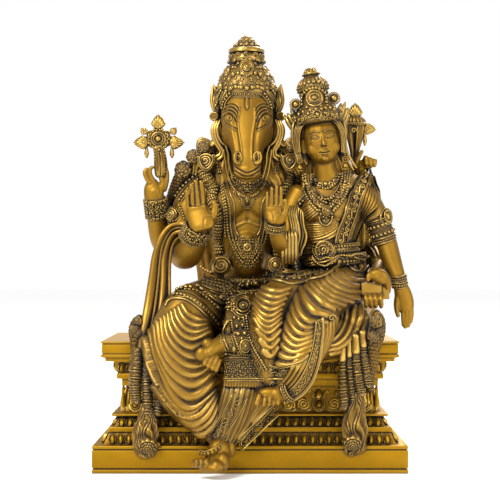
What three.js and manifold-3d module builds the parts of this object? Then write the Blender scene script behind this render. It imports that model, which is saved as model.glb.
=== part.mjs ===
// A seated, horse-headed deity with four arms and a consort on his left thigh, on a stepped throne.
// Millimetres, +Z up, the figures face -Y. The origin is the middle of the plinth's underside.
// "Right" and "left" in names are the figures' own sides: his right hand is at negative X.
import * as THREE from "three";
import { mergeVertices } from "three/addons/utils/BufferGeometryUtils.js";
import Module from "manifold-3d";

const wasm = await Module();
wasm.setup();

// Driving dimensions
const PLINTH_HALF_WIDTH = 105.6;
const SIDE_TO_FRONT = 44.2; // how much shorter every course's half depth is than its half width
const PLINTH_TOP = 18.5;
const SEAT_TOP = 88;
const SEAT_GAP = 0.3; // clearance between the figures and the throne they are fixed to
const CROWN_TOP = 304.5;
const EGG_PITCH = 9.6;
const EGG_PROUD = 2.2;
const GOLD = { color: 0xb8862a, roughness: 0.42, metalness: 0.8 };

// The throne's section, from the floor up: half width of the course and height.
const COURSES = [
  [PLINTH_HALF_WIDTH, 0],
  [PLINTH_HALF_WIDTH, PLINTH_TOP],
  [97.2, PLINTH_TOP],
  [97.2, 26.4],
  [95.8, 26.4],
  [95.8, 29.8],
  [90.4, 29.8],
  [90.4, 35.8],
  [93.9, 37.2],
  [91.7, 39.6],
  [88.2, 39.8],
  [87.6, 45],
  [84.6, 51],
  [84.2, 56.9],
  [87.3, 56.9],
  [87.3, 61.9],
  [90.6, 61.9],
  [90.6, 65.8],
  [89.8, 65.8],
  [89.8, 73.4],
  [97.5, 74.2],
  [97.5, 76.8],
  [100.3, 77.8],
  [100.3, SEAT_TOP],
];
// Rows of eggs on the courses: half width of the wall behind them, lowest and highest point.
const EGG_ROWS = [
  [97.2, 18.4, 26.5],
  [90.4, 29.7, 36.4],
  [89.8, 65.7, 73.6],
];
const SCROLL_ROW = { halfWidth: 87.2, z: 45.6, radius: 5.2, pitch: 13.6, count: 11 };

// General solids

function v3(p) {
  return new THREE.Vector3(p[0], p[1], p[2]);
}

// A closed three.js geometry as a solid, turned the right way round if it was inside out.
function solidOf(geometry) {
  const bare = geometry.index ? geometry.toNonIndexed() : geometry.clone();
  bare.deleteAttribute("normal");
  bare.deleteAttribute("uv");
  const merged = mergeVertices(bare, 1e-4);
  const vertProperties = new Float32Array(merged.attributes.position.array);
  const triVerts = new Uint32Array(merged.index.array);
  const made = new wasm.Manifold(new wasm.Mesh({ numProp: 3, vertProperties, triVerts }));
  if (made.volume() > 0) return made;
  for (let i = 0; i < triVerts.length; i += 3) {
    [triVerts[i + 1], triVerts[i + 2]] = [triVerts[i + 2], triVerts[i + 1]];
  }
  return new wasm.Manifold(new wasm.Mesh({ numProp: 3, vertProperties, triVerts }));
}

// Rings of points, each of the same length, skinned into one closed body with a fan at each end.
function skin(rings, firstTip, lastTip) {
  const count = rings[0].length;
  const points = [...rings.flat(), firstTip, lastTip];
  const faces = [];
  for (let i = 0; i + 1 < rings.length; i++) {
    for (let k = 0; k < count; k++) {
      const a = i * count + k;
      const b = i * count + ((k + 1) % count);
      faces.push(a, b, b + count, a, b + count, a + count);
    }
  }
  const first = points.length - 2;
  const last = points.length - 1;
  const lastRing = (rings.length - 1) * count;
  for (let k = 0; k < count; k++) {
    const next = (k + 1) % count;
    faces.push(first, next, k, last, lastRing + k, lastRing + next);
  }
  const geometry = new THREE.BufferGeometry().setFromPoints(points);
  geometry.setIndex(faces);
  return solidOf(geometry);
}

// A round body along a smooth path. Each path point is [x, y, z, half width, half depth]. With folds, the
// rings stand alternately proud and sunk, and hang lower on the side that faces the viewer, as swags of
// cloth do: sag is how far along the path they hang, and lean turns their lowest point to one side.
function limb(path, options = {}) {
  const { sides = 6, steps = 4, folds = 0, depth = 0, sag = 0, lean = 0, front = [0, -1, 0], tip = 0.5 } = options;
  const centre = new THREE.CatmullRomCurve3(path.map(v3));
  const radii = new THREE.CatmullRomCurve3(path.map((p) => new THREE.Vector3(p[3], p[4] ?? p[3], 0)));
  const count = folds ? 2 * folds : steps;
  const facing = v3(front).normalize();
  const pointAt = (t, angle, swell) => {
    const hung = t + sag * 4 * t * (1 - t) * 0.5 * (1 + Math.cos(angle - lean));
    const u = Math.min(1, Math.max(0, hung));
    const along = centre.getTangent(u);
    const forward = facing.clone().addScaledVector(along, -facing.dot(along)).normalize();
    const sideways = along.clone().cross(forward);
    const radius = radii.getPoint(u);
    const proud = swell * (0.55 + 0.45 * Math.cos(angle));
    return centre
      .getPoint(u)
      .addScaledVector(sideways, Math.sin(angle) * (radius.x + proud))
      .addScaledVector(forward, Math.cos(angle) * (radius.y + proud));
  };
  const rings = [];
  for (let i = 0; i <= count; i++) {
    const swell = folds && i > 0 && i < count ? (i % 2 ? depth : -depth) / 2 : 0;
    const ring = [];
    for (let k = 0; k < sides; k++) ring.push(pointAt(i / count, (k * 2 * Math.PI) / sides, swell));
    rings.push(ring);
  }
  const firstTip = centre.getPoint(0).addScaledVector(centre.getTangent(0), -tip * path[0][3]);
  const lastTip = centre.getPoint(1).addScaledVector(centre.getTangent(1), tip * path.at(-1)[3]);
  return skin(rings, firstTip, lastTip);
}

// A body of level oval rings, each [z, x, y, half width, half depth].
function stack(levels, sides = 8) {
  const rings = levels.map(([z, x, y, width, deep]) =>
    Array.from({ length: sides }, (_, k) => {
      const angle = ((k + 0.5) * 2 * Math.PI) / sides;
      return new THREE.Vector3(x + width * Math.cos(angle), y + deep * Math.sin(angle), z);
    }),
  );
  const [low, high] = [levels[0], levels.at(-1)];
  return skin(rings, new THREE.Vector3(low[1], low[2], low[0]), new THREE.Vector3(high[1], high[2], high[0]));
}

function placed(geometry, at, tilt = [0, 0, 0]) {
  geometry.applyMatrix4(new THREE.Matrix4().makeRotationFromEuler(new THREE.Euler(...tilt)));
  return solidOf(geometry.translate(...at));
}

function ball(at, radii, wide = 6, high = 4, tilt = [0, 0, 0]) {
  const geometry = new THREE.SphereGeometry(1, wide, high).rotateX(Math.PI / 2).scale(...radii);
  return placed(geometry, at, tilt);
}

// A turned piece standing on at, its profile a list of [radius, height].
function turned(at, profile, sides = 12, tilt = [0, 0, 0]) {
  const outline = profile.map(([radius, height]) => new THREE.Vector2(radius, height));
  return placed(new THREE.LatheGeometry(outline, sides).rotateX(Math.PI / 2), at, tilt);
}

// A flat piece that faces the viewer: an outline of [x, z] points, its middle at at[1], thickness thick.
function plate(outline, at, thick, tilt = [0, 0, 0]) {
  const shape = new THREE.Shape(outline.map(([x, z]) => new THREE.Vector2(x, z)));
  const geometry = new THREE.ExtrudeGeometry(shape, { depth: thick, bevelEnabled: false });
  return placed(geometry.translate(0, 0, -thick / 2).rotateX(Math.PI / 2), at, tilt);
}

// A round boss that faces the viewer, with a raised middle.
function rosette(at, radius, thick, sides = 6, tilt = [0, 0, 0]) {
  const profile = [
    [0, -thick],
    [radius, -thick],
    [radius, thick * 0.3],
    [0, thick],
  ];
  const geometry = new THREE.LatheGeometry(profile.map((p) => new THREE.Vector2(...p)), sides);
  return placed(geometry.rotateX(Math.PI), at, tilt.map((a, i) => a + (i === 0 ? -Math.PI / 2 : 0)));
}

function joined(solids) {
  return solids.reduce((whole, next) => whole.add(next));
}

// The largest closed body of a solid, without the slivers of air sealed between touching pieces.
function bulkOf(solid) {
  return solid.decompose().reduce((largest, body) => (body.volume() > largest.volume() ? body : largest));
}

// The throne

function courses(grow) {
  const rings = COURSES.map(([half, z], i) => {
    const x = half + grow;
    const y = half - SIDE_TO_FRONT + grow;
    const level = i === COURSES.length - 1 ? z + grow : z;
    return [
      new THREE.Vector3(-x, -y, level),
      new THREE.Vector3(x, -y, level),
      new THREE.Vector3(x, y, level),
      new THREE.Vector3(-x, y, level),
    ];
  });
  return skin(rings, new THREE.Vector3(0, 0, 0), new THREE.Vector3(0, 0, SEAT_TOP + grow));
}

// A level bar along the front of a course, with the outline of [x, y] points given.
function bar(outline, low, high) {
  const shape = new THREE.Shape(outline.map(([x, y]) => new THREE.Vector2(x, y)));
  const geometry = new THREE.ExtrudeGeometry(shape, { depth: high - low, bevelEnabled: false });
  return placed(geometry, [0, 0, low]);
}

// The eggs of one course, along the front: a bar whose face is a row of ridges.
function eggs([half, low, high]) {
  const count = Math.floor((2 * half - 4) / EGG_PITCH);
  const reach = (count * EGG_PITCH) / 2;
  const wall = half - SIDE_TO_FRONT;
  const ridges = Array.from({ length: count }, (_, i) => [
    [(i + 0.5) * EGG_PITCH - reach, -(wall + EGG_PROUD)],
    [(i + 1) * EGG_PITCH - reach, -(wall + 0.3)],
  ]);
  return bar([[reach, 1 - wall], [-reach, 1 - wall], [-reach, -(wall + 0.3)], ...ridges.flat()], low, high);
}

// The scrolls on the hollow course, along the front.
function scrolls() {
  const { halfWidth, z, radius, pitch, count } = SCROLL_ROW;
  const wall = -(halfWidth - SIDE_TO_FRONT);
  return Array.from({ length: count }, (_, i) => rosette([(i - (count - 1) / 2) * pitch, wall + 1.2, z], radius, 2.6));
}

function throne() {
  return joined([courses(0), ...EGG_ROWS.map(eggs), ...scrolls()]);
}

// The space that the figures leave free: the throne with its carved rows as plain bars, and the gap round it.
function throneSpace() {
  const { halfWidth, z, radius } = SCROLL_ROW;
  const rows = [...EGG_ROWS, [halfWidth, z - radius, z + radius]];
  const bars = rows.map(([half, low, high]) => {
    const front = -(half - SIDE_TO_FRONT + EGG_PROUD + SEAT_GAP);
    const reach = half + SEAT_GAP;
    const outline = [[-reach, front], [reach, front], [reach, 0], [-reach, 0]];
    return bar(outline, low - SEAT_GAP, high + SEAT_GAP);
  });
  return joined([courses(SEAT_GAP), ...bars]);
}

// Limbs that both figures share

// An open hand that faces the viewer: side is +1 where the thumb is at positive X.
function raisedHand([x, y, z], size, side) {
  const outline = [
    [-0.35, -1],
    [0.4, -1],
    [0.9, -0.6],
    [1.08, 0.15],
    [0.98, 0.75],
    [0.7, 0.8],
    [0.5, 0.3],
    [0.4, 0.6],
    [0.36, 1.75],
    [0.12, 1.92],
    [-0.12, 2.04],
    [-0.42, 1.94],
    [-0.82, 1.36],
    [-0.86, 0.1],
  ];
  const facing = outline.map(([across, up]) => [side * across * size, up * size]);
  return [plate(facing, [x, y, z], 0.42 * size), ball([x, y, z - 0.2 * size], [0.55 * size, 0.34 * size, 0.75 * size])];
}

// A hand that grips, with its fingers curled towards the viewer, side as above.
function curledHand([x, y, z], size, side) {
  const fingers = [-1, 0.2].map((k) =>
    limb(
      [
        [x - side * (0.35 + 0.1 * k) * size, y, z + 0.3 * size * (1 - 0.3 * k), 0.22 * size],
        [x - side * (0.62 + 0.2 * k) * size, y - 0.5 * size, z + (0.8 - 0.15 * k) * size, 0.2 * size],
        [x - side * (0.46 + 0.2 * k) * size, y - 0.92 * size, z + (0.35 - 0.1 * k) * size, 0.16 * size],
      ],
      { sides: 4, steps: 2 },
    ),
  );
  const raised = limb(
    [
      [x + side * 0.3 * size, y, z + 0.3 * size, 0.22 * size],
      [x + side * 0.5 * size, y - 0.3 * size, z + 0.9 * size, 0.2 * size],
      [x + side * 0.22 * size, y - 0.2 * size, z + 1.45 * size, 0.16 * size],
    ],
    { sides: 4, steps: 2 },
  );
  return [ball([x, y, z], [0.66 * size, 0.46 * size, 0.84 * size]), ...fingers, raised];
}

function arm(path, cuffAt, cuffSize) {
  return [limb(path, { sides: 6, steps: 4 }), turned(cuffAt, cuffSize.profile, 6, cuffSize.tilt)];
}

const cuff = (radius, height, tilt) => ({
  profile: [
    [0, -height / 2],
    [radius, -height / 2],
    [radius, height / 2],
    [0, height / 2],
  ],
  tilt,
});

// A thick garland: its beads of blossom make the tube swell and shrink.
function garland(path, blossoms) {
  return limb(path, { sides: 4, folds: blossoms, depth: 2.6 });
}

// The lord

const HIS_TORSO = [
  [86, -2, 8, 29, 24],
  [108, -2, 8, 29, 23],
  [133, -2, 8, 17, 15],
  [150, -2, 8, 18.5, 16],
  [170, -2, 8, 27, 17.5],
  [190, -2, 8, 37, 15],
  [201, -2, 7, 24, 13],
  [207, -2, 5, 13, 12],
  [232, -2, 3, 13, 13],
];
const HIS_CROWN = [
  [0, -4],
  [19.5, -4],
  [21.8, 4],
  [18.2, 18],
  [12.2, 24.5],
  [13.2, 28],
  [13.2, 33],
  [10, 36.5],
  [7, 41.2],
  [0, CROWN_TOP - 258],
];

function hisHead() {
  const face = limb(
    [
      [-2, 6, 262, 15, 15],
      [-2, -4, 250, 17.5, 15],
      [-2, -11, 238, 18.5, 14.5],
      [-2, -19, 225, 15, 12.5],
      [-2, -27, 212, 10.5, 9.5],
      [-2, -33, 203, 9, 7.5],
    ],
    { sides: 8, steps: 6 },
  );
  const ear = [
    [-2.6, -10],
    [2.6, -10],
    [4.4, -2],
    [2, 7],
    [-1.4, 12],
    [-4.2, 2],
  ];
  const ears = [-1, 1].flatMap((side) => [
    plate(ear.map(([x, z]) => [-side * x, z]), [-2 + side * 23, 0, 254], 4, [0, 0, side * 0.5]),
    ball([-2 + side * 22.8, -4, 244.6], [3.6, 3.4, 3.6]),
  ]);
  const nostrils = [-1, 1].map((side) => ball([-2 + side * 6.4, -36.4, 212], [4, 4, 4.6], 5, 4));
  const eyes = [-1, 1].map((side) => ball([-2 + side * 12.2, -12, 242.5], [5, 4, 4.4]));
  const mane = limb(
    [
      [-2, 10, 262, 18, 12],
      [-2, 18, 226, 25, 13],
      [-2, 24, 168, 12, 9],
    ],
    { sides: 6, steps: 3, front: [0, 1, 0] },
  );
  const locks = [-1, 1].flatMap((side) => [
    limb(
      [
        [-2 + side * 19, -2, 250, 3.4],
        [-2 + side * 23, -6, 234, 4.4],
        [-2 + side * 20, -8, 222, 4.4],
        [-2 + side * 25, -10, 216, 4],
        [-2 + side * 31, -10, 211, 3.6],
      ],
      { sides: 4, steps: 4 },
    ),
    rosette([-2 + side * 30.5, -12, 211.5], 6.6, 3.4, 6),
  ]);
  return [
    face,
    ...ears,
    ...nostrils,
    ...eyes,
    mane,
    ...locks,
    turned([-2.5, 2, 258], HIS_CROWN, 9),
    rosette([-2.5, -13, 279], 6.6, 3, 6, [0.35, 0, 0]),
  ];
}

function hisRightArms() {
  const front = arm(
    [
      [-39, 4, 192, 13],
      [-47, -2, 170, 10.5],
      [-49, -13, 146, 10.4],
      [-42, -29, 148, 10.4],
      [-36, -40, 160, 7.4],
      [-34.6, -43.6, 170, 6],
    ],
    [-37, -38, 158],
    cuff(10.6, 11, [0.5, 0.5, 0]),
  );
  const back = arm(
    [
      [-40, 13, 188, 11],
      [-55, 12, 165, 8],
      [-62, 8, 152, 8],
      [-65.5, 1, 166, 7.6],
      [-67, -4, 182, 7.6],
      [-67.8, -6.6, 195, 6],
    ],
    [-66.4, -3.5, 180.5],
    cuff(10.6, 16, [0.3, -0.12, 0]),
  );
  const discus = [
    turned([-65, -8, 229], [[0, -2.4], [8.2, -2.4], [8.2, 2.4], [0, 2.4]], 9, [Math.PI / 2, 0, 0]),
    rosette([-65, -10.6, 229], 5, 2.4, 5),
    limb([[-65, -8, 236, 3, 2], [-65, -8, 242, 4.4, 2.2], [-65, -8, 247, 0.8, 0.8]], { sides: 4, steps: 2 }),
    ...[-1, 1].map((side) =>
      limb(
        [
          [-65 + side * 6, -8, 229, 2.6, 2],
          [-65 + side * 12, -8, 228, 4.4, 2.2],
          [-65 + side * 17.6, -8, 226.5, 0.8, 0.8],
        ],
        { sides: 4, steps: 2 },
      ),
    ),
    ...[-1, 1].map((side) =>
      limb([[-65 + side * 9, -8, 225, 1.2], [-65 + side * 9.3, -8, 219, 1.9], [-65 + side * 9.3, -8, 216, 0.9]], {
        sides: 4,
        steps: 2,
      }),
    ),
    limb([[-65, -8, 223, 3.4, 2.4], [-64.6, -8, 216, 4.2, 3], [-64.4, -8, 209, 3.6, 3]], { sides: 5, steps: 2 }),
  ];
  return [
    ...front,
    ...raisedHand([-34.5, -44, 174.2], 11.6, 1),
    ...back,
    ...curledHand([-67.5, -7, 198], 11.2, 1),
    ...discus,
  ];
}

function hisLeftArms() {
  const back = limb(
    [
      [32, 13, 186, 9],
      [56, 24, 178, 8.5],
      [74, 20, 184, 8],
      [79, 13, 200, 6.4],
    ],
    { steps: 4 },
  );
  const front = limb(
    [
      [32, 12, 182, 9],
      [60, 26, 160, 9],
      [88, 18, 148, 8.4],
      [93, 0, 139, 7],
      [92, -14, 135, 6],
    ],
    { steps: 5 },
  );
  const conch = turned(
    [76.5, 8, 212],
    [
      [0, -2],
      [2.6, 0],
      [6.4, 16],
      [7.8, 28],
      [3.2, 35],
      [0, 43],
    ],
    7,
    [0, 0.1, 0],
  );
  const flame = limb([[82, 8, 239, 3, 2], [88, 8, 237, 2.6, 2], [92, 8, 235.5, 0.6]], { sides: 4, steps: 2 });
  const fingers = [-1.5, -0.5, 0.5, 1.5].map((k) =>
    limb([[84 + k * 3.4, -34, 118, 1.8], [84 + k * 3.4, -35, 111.5, 1.4]], { sides: 4, steps: 1 }),
  );
  return [
    back,
    front,
    ...curledHand([80, 10, 208], 9.6, -1),
    conch,
    flame,
    placed(new THREE.BoxGeometry(18, 9, 9.6), [84.5, -30, 122]),
    ball([88, -24, 131], [7, 9, 5.2]),
    ...fingers,
  ];
}

// His pendant right leg, with the cloth hanging in swags round it, and the foot in front of the plinth.
function hisRightLeg() {
  const thigh = limb(
    [
      [-14, 6, 108, 22],
      [-30, -22, 108, 21],
      [-44, -50, 104, 19],
      [-46, -60, 99, 17],
    ],
    { sides: 7, steps: 3, front: [0, 0, 1] },
  );
  const shin = limb(
    [
      [-42, -56, 119, 9, 8],
      [-44, -61, 107, 18, 15],
      [-45.5, -64, 92, 22, 17],
      [-45, -65, 78, 22, 17],
      [-41, -65, 64, 20, 16],
      [-35, -65, 51, 16.5, 14],
      [-28, -66, 38, 13, 12],
      [-22, -68, 25, 9, 9],
    ],
    { sides: 8, folds: 7, depth: 3.8, sag: 0.32, lean: -0.6 },
  );
  const foot = limb(
    [
      [-13, -66, 22, 5.5],
      [-17, -74, 17, 7],
      [-24, -83, 11, 7.6, 4.4],
      [-26, -87, 9, 9.5, 3.4],
    ],
    { sides: 7, steps: 3, front: [0, 0, 1] },
  );
  const toes = [0, 1, 2, 3, 4].map((k) =>
    ball([-17.5 - 4.3 * k, -87.5 + 1.4 * k, 8.8 + 0.7 * k], [k ? 2.6 : 3.6, 4.2, k ? 2.1 : 3.1], 4, 3),
  );
  return [thigh, shin, foot, ...toes];
}

// His left leg, folded on the seat: the knee under the consort, the foot on his right shin.
function hisLeftLeg() {
  const thigh = limb(
    [
      [10, 4, 108, 23],
      [36, -16, 106, 22],
      [58, -34, 100, 19],
      [68, -46, 97, 15],
    ],
    { sides: 8, folds: 4, depth: 3, sag: 0.1, front: [0.4, -1, 0.2] },
  );
  const shin = limb(
    [
      [64, -50, 92, 14],
      [40, -64, 86, 12],
      [10, -70, 88, 10],
      [-16, -78, 88, 7],
      [-25, -82, 85, 5.4],
    ],
    { sides: 6, steps: 4 },
  );
  const foot = ball([-30, -83.5, 82], [8, 4.6, 5], 6, 4, [0, -0.5, 0]);
  const toes = [0, 1, 2, 3].map((k) => ball([-36 + 3.2 * k, -85.4, 79 - 0.8 * k], [k ? 1.7 : 2.6, 2.6, 2.8], 4, 3));
  return [thigh, shin, foot, ...toes];
}

// The sash that falls between the knees, its fringed end, and the bordered pleats below it.
function hisSash() {
  return [
    limb(
      [
        [-3, -14, 132, 14, 7],
        [-3, -44, 116, 14, 8],
        [-3, -68, 96, 13, 6],
        [-3, -75, 76, 14, 4.5],
        [-3.5, -76, 54, 15, 4],
      ],
      { sides: 6, steps: 5, tip: 0 },
    ),
    limb(
      [
        [-6, -68, 62, 12, 9],
        [-6, -67, 44, 13, 10],
        [-12, -69, 28, 12, 8],
        [-14, -69, 20, 11, 6],
      ],
      { sides: 6, folds: 3, depth: 2.4, sag: 0.2 },
    ),
    limb([[-9, -74, 50, 3.6], [-20, -77, 36, 4], [-32, -77, 21, 3.4]], { sides: 4, steps: 3 }),
    limb([[17, -72, 48, 3.4], [6, -74, 34, 4], [-6, -73, 21, 3.4]], { sides: 4, steps: 3 }),
  ];
}

// The looped garland of blossoms on his chest and its three rosettes.
function hisGarlands() {
  const chest = [-1, 1].map((side) =>
    garland(
      [
        [-2 + side * 16, -9, 196, 4.5],
        [-2 + side * 20, -14, 168, 4.5],
        [-2 + side * 19, -18, 142, 4.5],
        [-2 + side * 9, -42, 118, 4],
      ],
      4,
    ),
  );
  const shoulder = garland(
    [
      [-18, 8, 224, 4.5],
      [-33, 9, 224, 6.5],
      [-44, 9, 214, 6.5],
      [-52, 9, 204, 6.5],
      [-57, 10, 193, 6],
      [-57, 10, 178, 5],
    ],
    5,
  );
  const seatBunch = garland(
    [
      [-66, -36, 118, 4.5],
      [-74, -50, 102, 6],
      [-79, -59, 90, 6.5],
      [-79.5, -62, 76, 6],
      [-79, -62, 62, 4.5],
    ],
    4,
  );
  const farShoulder = garland(
    [
      [16, 10, 224, 4.5],
      [34, 12, 222, 6.5],
      [48, 16, 209, 6.5],
      [62, 28, 186, 6],
      [78, 28, 150, 6],
      [86, 0, 120, 6],
      [89, -44, 104, 6.5],
      [86, -60, 86, 6.5],
      [83, -61, 70, 5],
    ],
    7,
  );
  const rosettes = [
    [-20.5, -25, 139, 6.6],
    [16.5, -25, 139, 6.6],
    [-5, -54, 112, 6.4],
  ].map(([x, y, z, radius]) => rosette([x, y, z], radius, 3.2));
  return [...chest, shoulder, seatBunch, farShoulder, ...rosettes];
}

// The stoles that fall over the throne's front edge and end in tassels.
function stoles() {
  const leftFall = limb(
    [
      [-47, -16, 166, 4, 4],
      [-60, -20, 158, 7, 4],
      [-65, -34, 134, 7.5, 4],
      [-67, -50, 110, 8, 4],
      [-70, -62, 88, 8.5, 4],
      [-70, -63, 74, 8, 4],
    ],
    { sides: 5, steps: 5 },
  );
  const rightFall = limb(
    [
      [68, -50, 92, 10, 5],
      [70, -61, 86, 10, 4],
      [70, -62, 72, 9, 4],
    ],
    { sides: 5, steps: 2 },
  );
  const strands = [
    [-79, -61, 84, 52],
    [-71, -64, 78, 46],
    [-62, -62, 76, 48],
    [63, -62, 78, 44],
    [70, -62.5, 80, 50],
    [77, -61, 84, 54],
  ].map(([x, y, high, low]) =>
    limb([[x, y, high, 4, 3.4], [x, y, low + 6, 4.6, 3.8], [x, y + 3, low - 5, 4, 4]], { sides: 4, steps: 2 }),
  );
  const tassels = [-70, 70].map((x) =>
    limb(
      [
        [x, -56, 54, 6, 6],
        [x, -57, 44, 6.6, 6],
        [x, -60, 33, 8.4, 7],
        [x, -62, 24, 9.4, 7],
        [x, -63, 18, 6, 5],
      ],
      { sides: 6, folds: 2, depth: 1.6 },
    ),
  );
  return [leftFall, rightFall, ...strands, ...tassels];
}

// The consort

const HER_TORSO = [
  [92, 60, -6, 28, 24],
  [122, 61, -8, 26, 21],
  [140, 56, -12, 18, 15],
  [151, 53.5, -13, 15, 13],
  [170, 54, -14.5, 19, 15.5],
  [187, 56, -13, 24, 13],
  [194, 57, -12, 24, 11],
  [207, 53, -15, 7.6, 7.6],
  [216, 52, -16, 7.2, 7.2],
];
const HER_CROWN = [
  [0, -4],
  [16, -4],
  [18, 3],
  [9, 18.5],
  [10.8, 24],
  [6, 32.5],
  [4.4, 37.5],
  [0, 41.5],
];
const HER_LEAN = [0, -0.14, 0];

function herHead() {
  const wings = [-1, 1].map((side) =>
    limb(
      [
        [48.5 + side * 14, -16, 236, 4, 3],
        [48 + side * 19, -15, 243, 4, 3],
        [47.5 + side * 22, -14, 249 - side * 1.5, 1.6],
      ],
      { sides: 4, steps: 2 },
    ),
  );
  return [
    ball([50.2, -17, 226], [14, 14.4, 17.5], 8, 5, HER_LEAN),
    ball([52, -19, 217], [9.5, 10.5, 10], 6, 4, HER_LEAN),
    limb([[50.8, -31, 227, 1.4], [51.3, -34.4, 220.5, 2.6], [51.6, -31, 218, 2]], { sides: 4, steps: 2 }),
    turned([48, -14, 237.5], HER_CROWN, 9, HER_LEAN),
    rosette([45.6, -29, 252], 5.6, 2.8),
    ...wings,
    ball([55, -3, 216], [13, 9, 14]),
  ];
}

function herArms() {
  const left = arm(
    [
      [78, -12, 190, 8.4],
      [88, -13, 174, 8.2],
      [95, -14, 158, 7.4],
      [99.5, -18, 142, 6.8],
      [104, -23, 128, 5],
    ],
    [103, -22, 130],
    cuff(7, 9, [0.2, -0.25, 0]),
  );
  const armlet = turned([91, -13.5, 168], cuff(9.4, 11).profile, 7, [0.05, -0.35, 0]);
  const hand = limb(
    [
      [104.5, -24, 124, 4.4, 3.6],
      [107.5, -26, 116, 6, 3.6],
      [109.5, -27, 108, 5, 3.2],
      [108.6, -28, 100, 3.6, 2.6],
      [106.4, -29, 95.5, 2.4, 2],
    ],
    { sides: 6, steps: 4 },
  );
  const thumb = limb([[104, -26, 118, 2], [101.8, -28, 110, 2], [103, -29, 103, 1.5]], { sides: 4, steps: 2 });
  const right = arm(
    [
      [33, -13, 190, 8.4],
      [29, -17, 168, 7.6],
      [27.5, -26, 150, 7.6],
      [21, -38, 154, 6.8],
      [17.7, -42.6, 163, 5.2],
      [17.5, -45, 170.5, 4.6],
    ],
    [17.2, -42.2, 162],
    cuff(8, 9, [0.3, 0.15, 0]),
  );
  return [...left, armlet, hand, thumb, ...right, ...raisedHand([16.9, -45.5, 175.9], 8.5, 1)];
}

// Her legs, side by side across his left thigh, the cloth hanging in swags, and the hem and feet below.
function herLegs() {
  const nearer = limb(
    [
      [52, -14, 118, 17, 17],
      [30, -44, 119, 16, 15],
      [15, -66, 113, 13, 13],
      [11, -76, 100, 12, 12],
      [10, -79, 84, 11, 10],
      [12, -79, 68, 8, 7],
    ],
    { sides: 7, folds: 5, depth: 2.8, sag: 0.1, front: [-0.2, -1, 0.5] },
  );
  const further = limb(
    [
      [70, -14, 116, 20, 19],
      [56, -42, 116, 19.5, 18],
      [44, -64, 109, 18, 16],
      [38, -77, 95, 17, 15],
      [32, -81, 81, 15, 13],
      [25, -81, 66, 13, 9],
      [22, -80, 59, 11, 6],
    ],
    { sides: 8, folds: 6, depth: 3.6, sag: 0.26, lean: -0.5, front: [-0.1, -1, 0.5] },
  );
  const hem = plate(
    [
      [50, 108],
      [48, 97],
      [46, 81],
      [41.5, 66],
      [35.5, 56],
      [26, 50.5],
      [20, 56],
      [26, 74],
    ],
    [0, -80, 0],
    6,
  );
  const foot = limb(
    [
      [30, -80, 60, 5.4],
      [24, -86, 56, 5.6],
      [15, -89, 51, 5, 4],
      [7, -90, 48.6, 4.4, 3],
    ],
    { sides: 6, steps: 4 },
  );
  const toes = [0, 1, 2, 3, 4].map((k) =>
    ball([4 + 3.2 * k, -91.2, 47 + 0.5 * k], [k ? 1.6 : 2.3, 2.8, k ? 3 : 3.2], 4, 3),
  );
  return [nearer, further, hem, foot, ...toes];
}

// The roll of cloth over her lap, her girdle and the sash over her left shoulder.
function herSashes() {
  return [
    limb(
      [
        [4, -60, 128, 3],
        [26, -52, 130, 3.6],
        [48, -38, 131, 4],
        [66, -26, 137, 3.6],
      ],
      { sides: 5, steps: 4 },
    ),
    turned([54, -13, 147.5], cuff(17, 9).profile, 8),
    rosette([52.4, -30, 146.6], 6.4, 3),
    limb(
      [
        [80, -12, 198, 5, 3],
        [72, -26, 186, 6, 3],
        [66, -30, 168, 6, 3],
        [61, -26, 152, 5, 3],
      ],
      { sides: 4, steps: 4 },
    ),
    ball([46.5, -25.5, 177], [9.4, 7.5, 9.4], 7, 5),
    ball([62.5, -25.5, 177], [9.4, 7.5, 9.4], 7, 5),
  ];
}

function seatedPair() {
  const figures = joined([
    stack(HIS_TORSO),
    ...hisHead(),
    ...hisRightArms(),
    ...hisLeftArms(),
    ...hisRightLeg(),
    ...hisLeftLeg(),
    ...hisSash(),
    ...hisGarlands(),
    ...stoles(),
    stack(HER_TORSO),
    ...herHead(),
    ...herArms(),
    ...herLegs(),
    ...herSashes(),
  ]);
  return bulkOf(figures.subtract(throneSpace()));
}

function meshOf(name, solid) {
  const { vertProperties, triVerts, numProp } = solid.getMesh();
  const positions = new Float32Array((vertProperties.length / numProp) * 3);
  for (let i = 0; i * numProp < vertProperties.length; i++) {
    positions.set(vertProperties.subarray(i * numProp, i * numProp + 3), i * 3);
  }
  const geometry = new THREE.BufferGeometry();
  geometry.setAttribute("position", new THREE.BufferAttribute(positions, 3));
  geometry.setIndex(new THREE.BufferAttribute(triVerts, 1));
  geometry.computeVertexNormals();
  const mesh = new THREE.Mesh(geometry, new THREE.MeshStandardMaterial(GOLD));
  mesh.name = name;
  return mesh;
}

const statue = new THREE.Group();
statue.add(meshOf("throne", throne()));
statue.add(meshOf("seated_pair", seatedPair()));

export default statue;
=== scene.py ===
"""A seated horse-headed deity with his consort on his thigh, on a stepped throne, in antique gold.

The tables hold millimetres in the statue's own frame: +Z up, the figures face -Y, and the origin is the
middle of the plinth's underside. Tables whose names end in _PX hold pixels of the reference picture, which
the viewer's sight lines carry onto the carving. "Right" and "left" are the figures' own sides.
"""
import math

import bmesh
import bpy
import numpy as np
from bpy.props import FloatProperty, FloatVectorProperty, PointerProperty
from mathutils import Euler, Matrix, Vector
from mathutils.bvhtree import BVHTree
from mathutils.kdtree import KDTree


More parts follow.
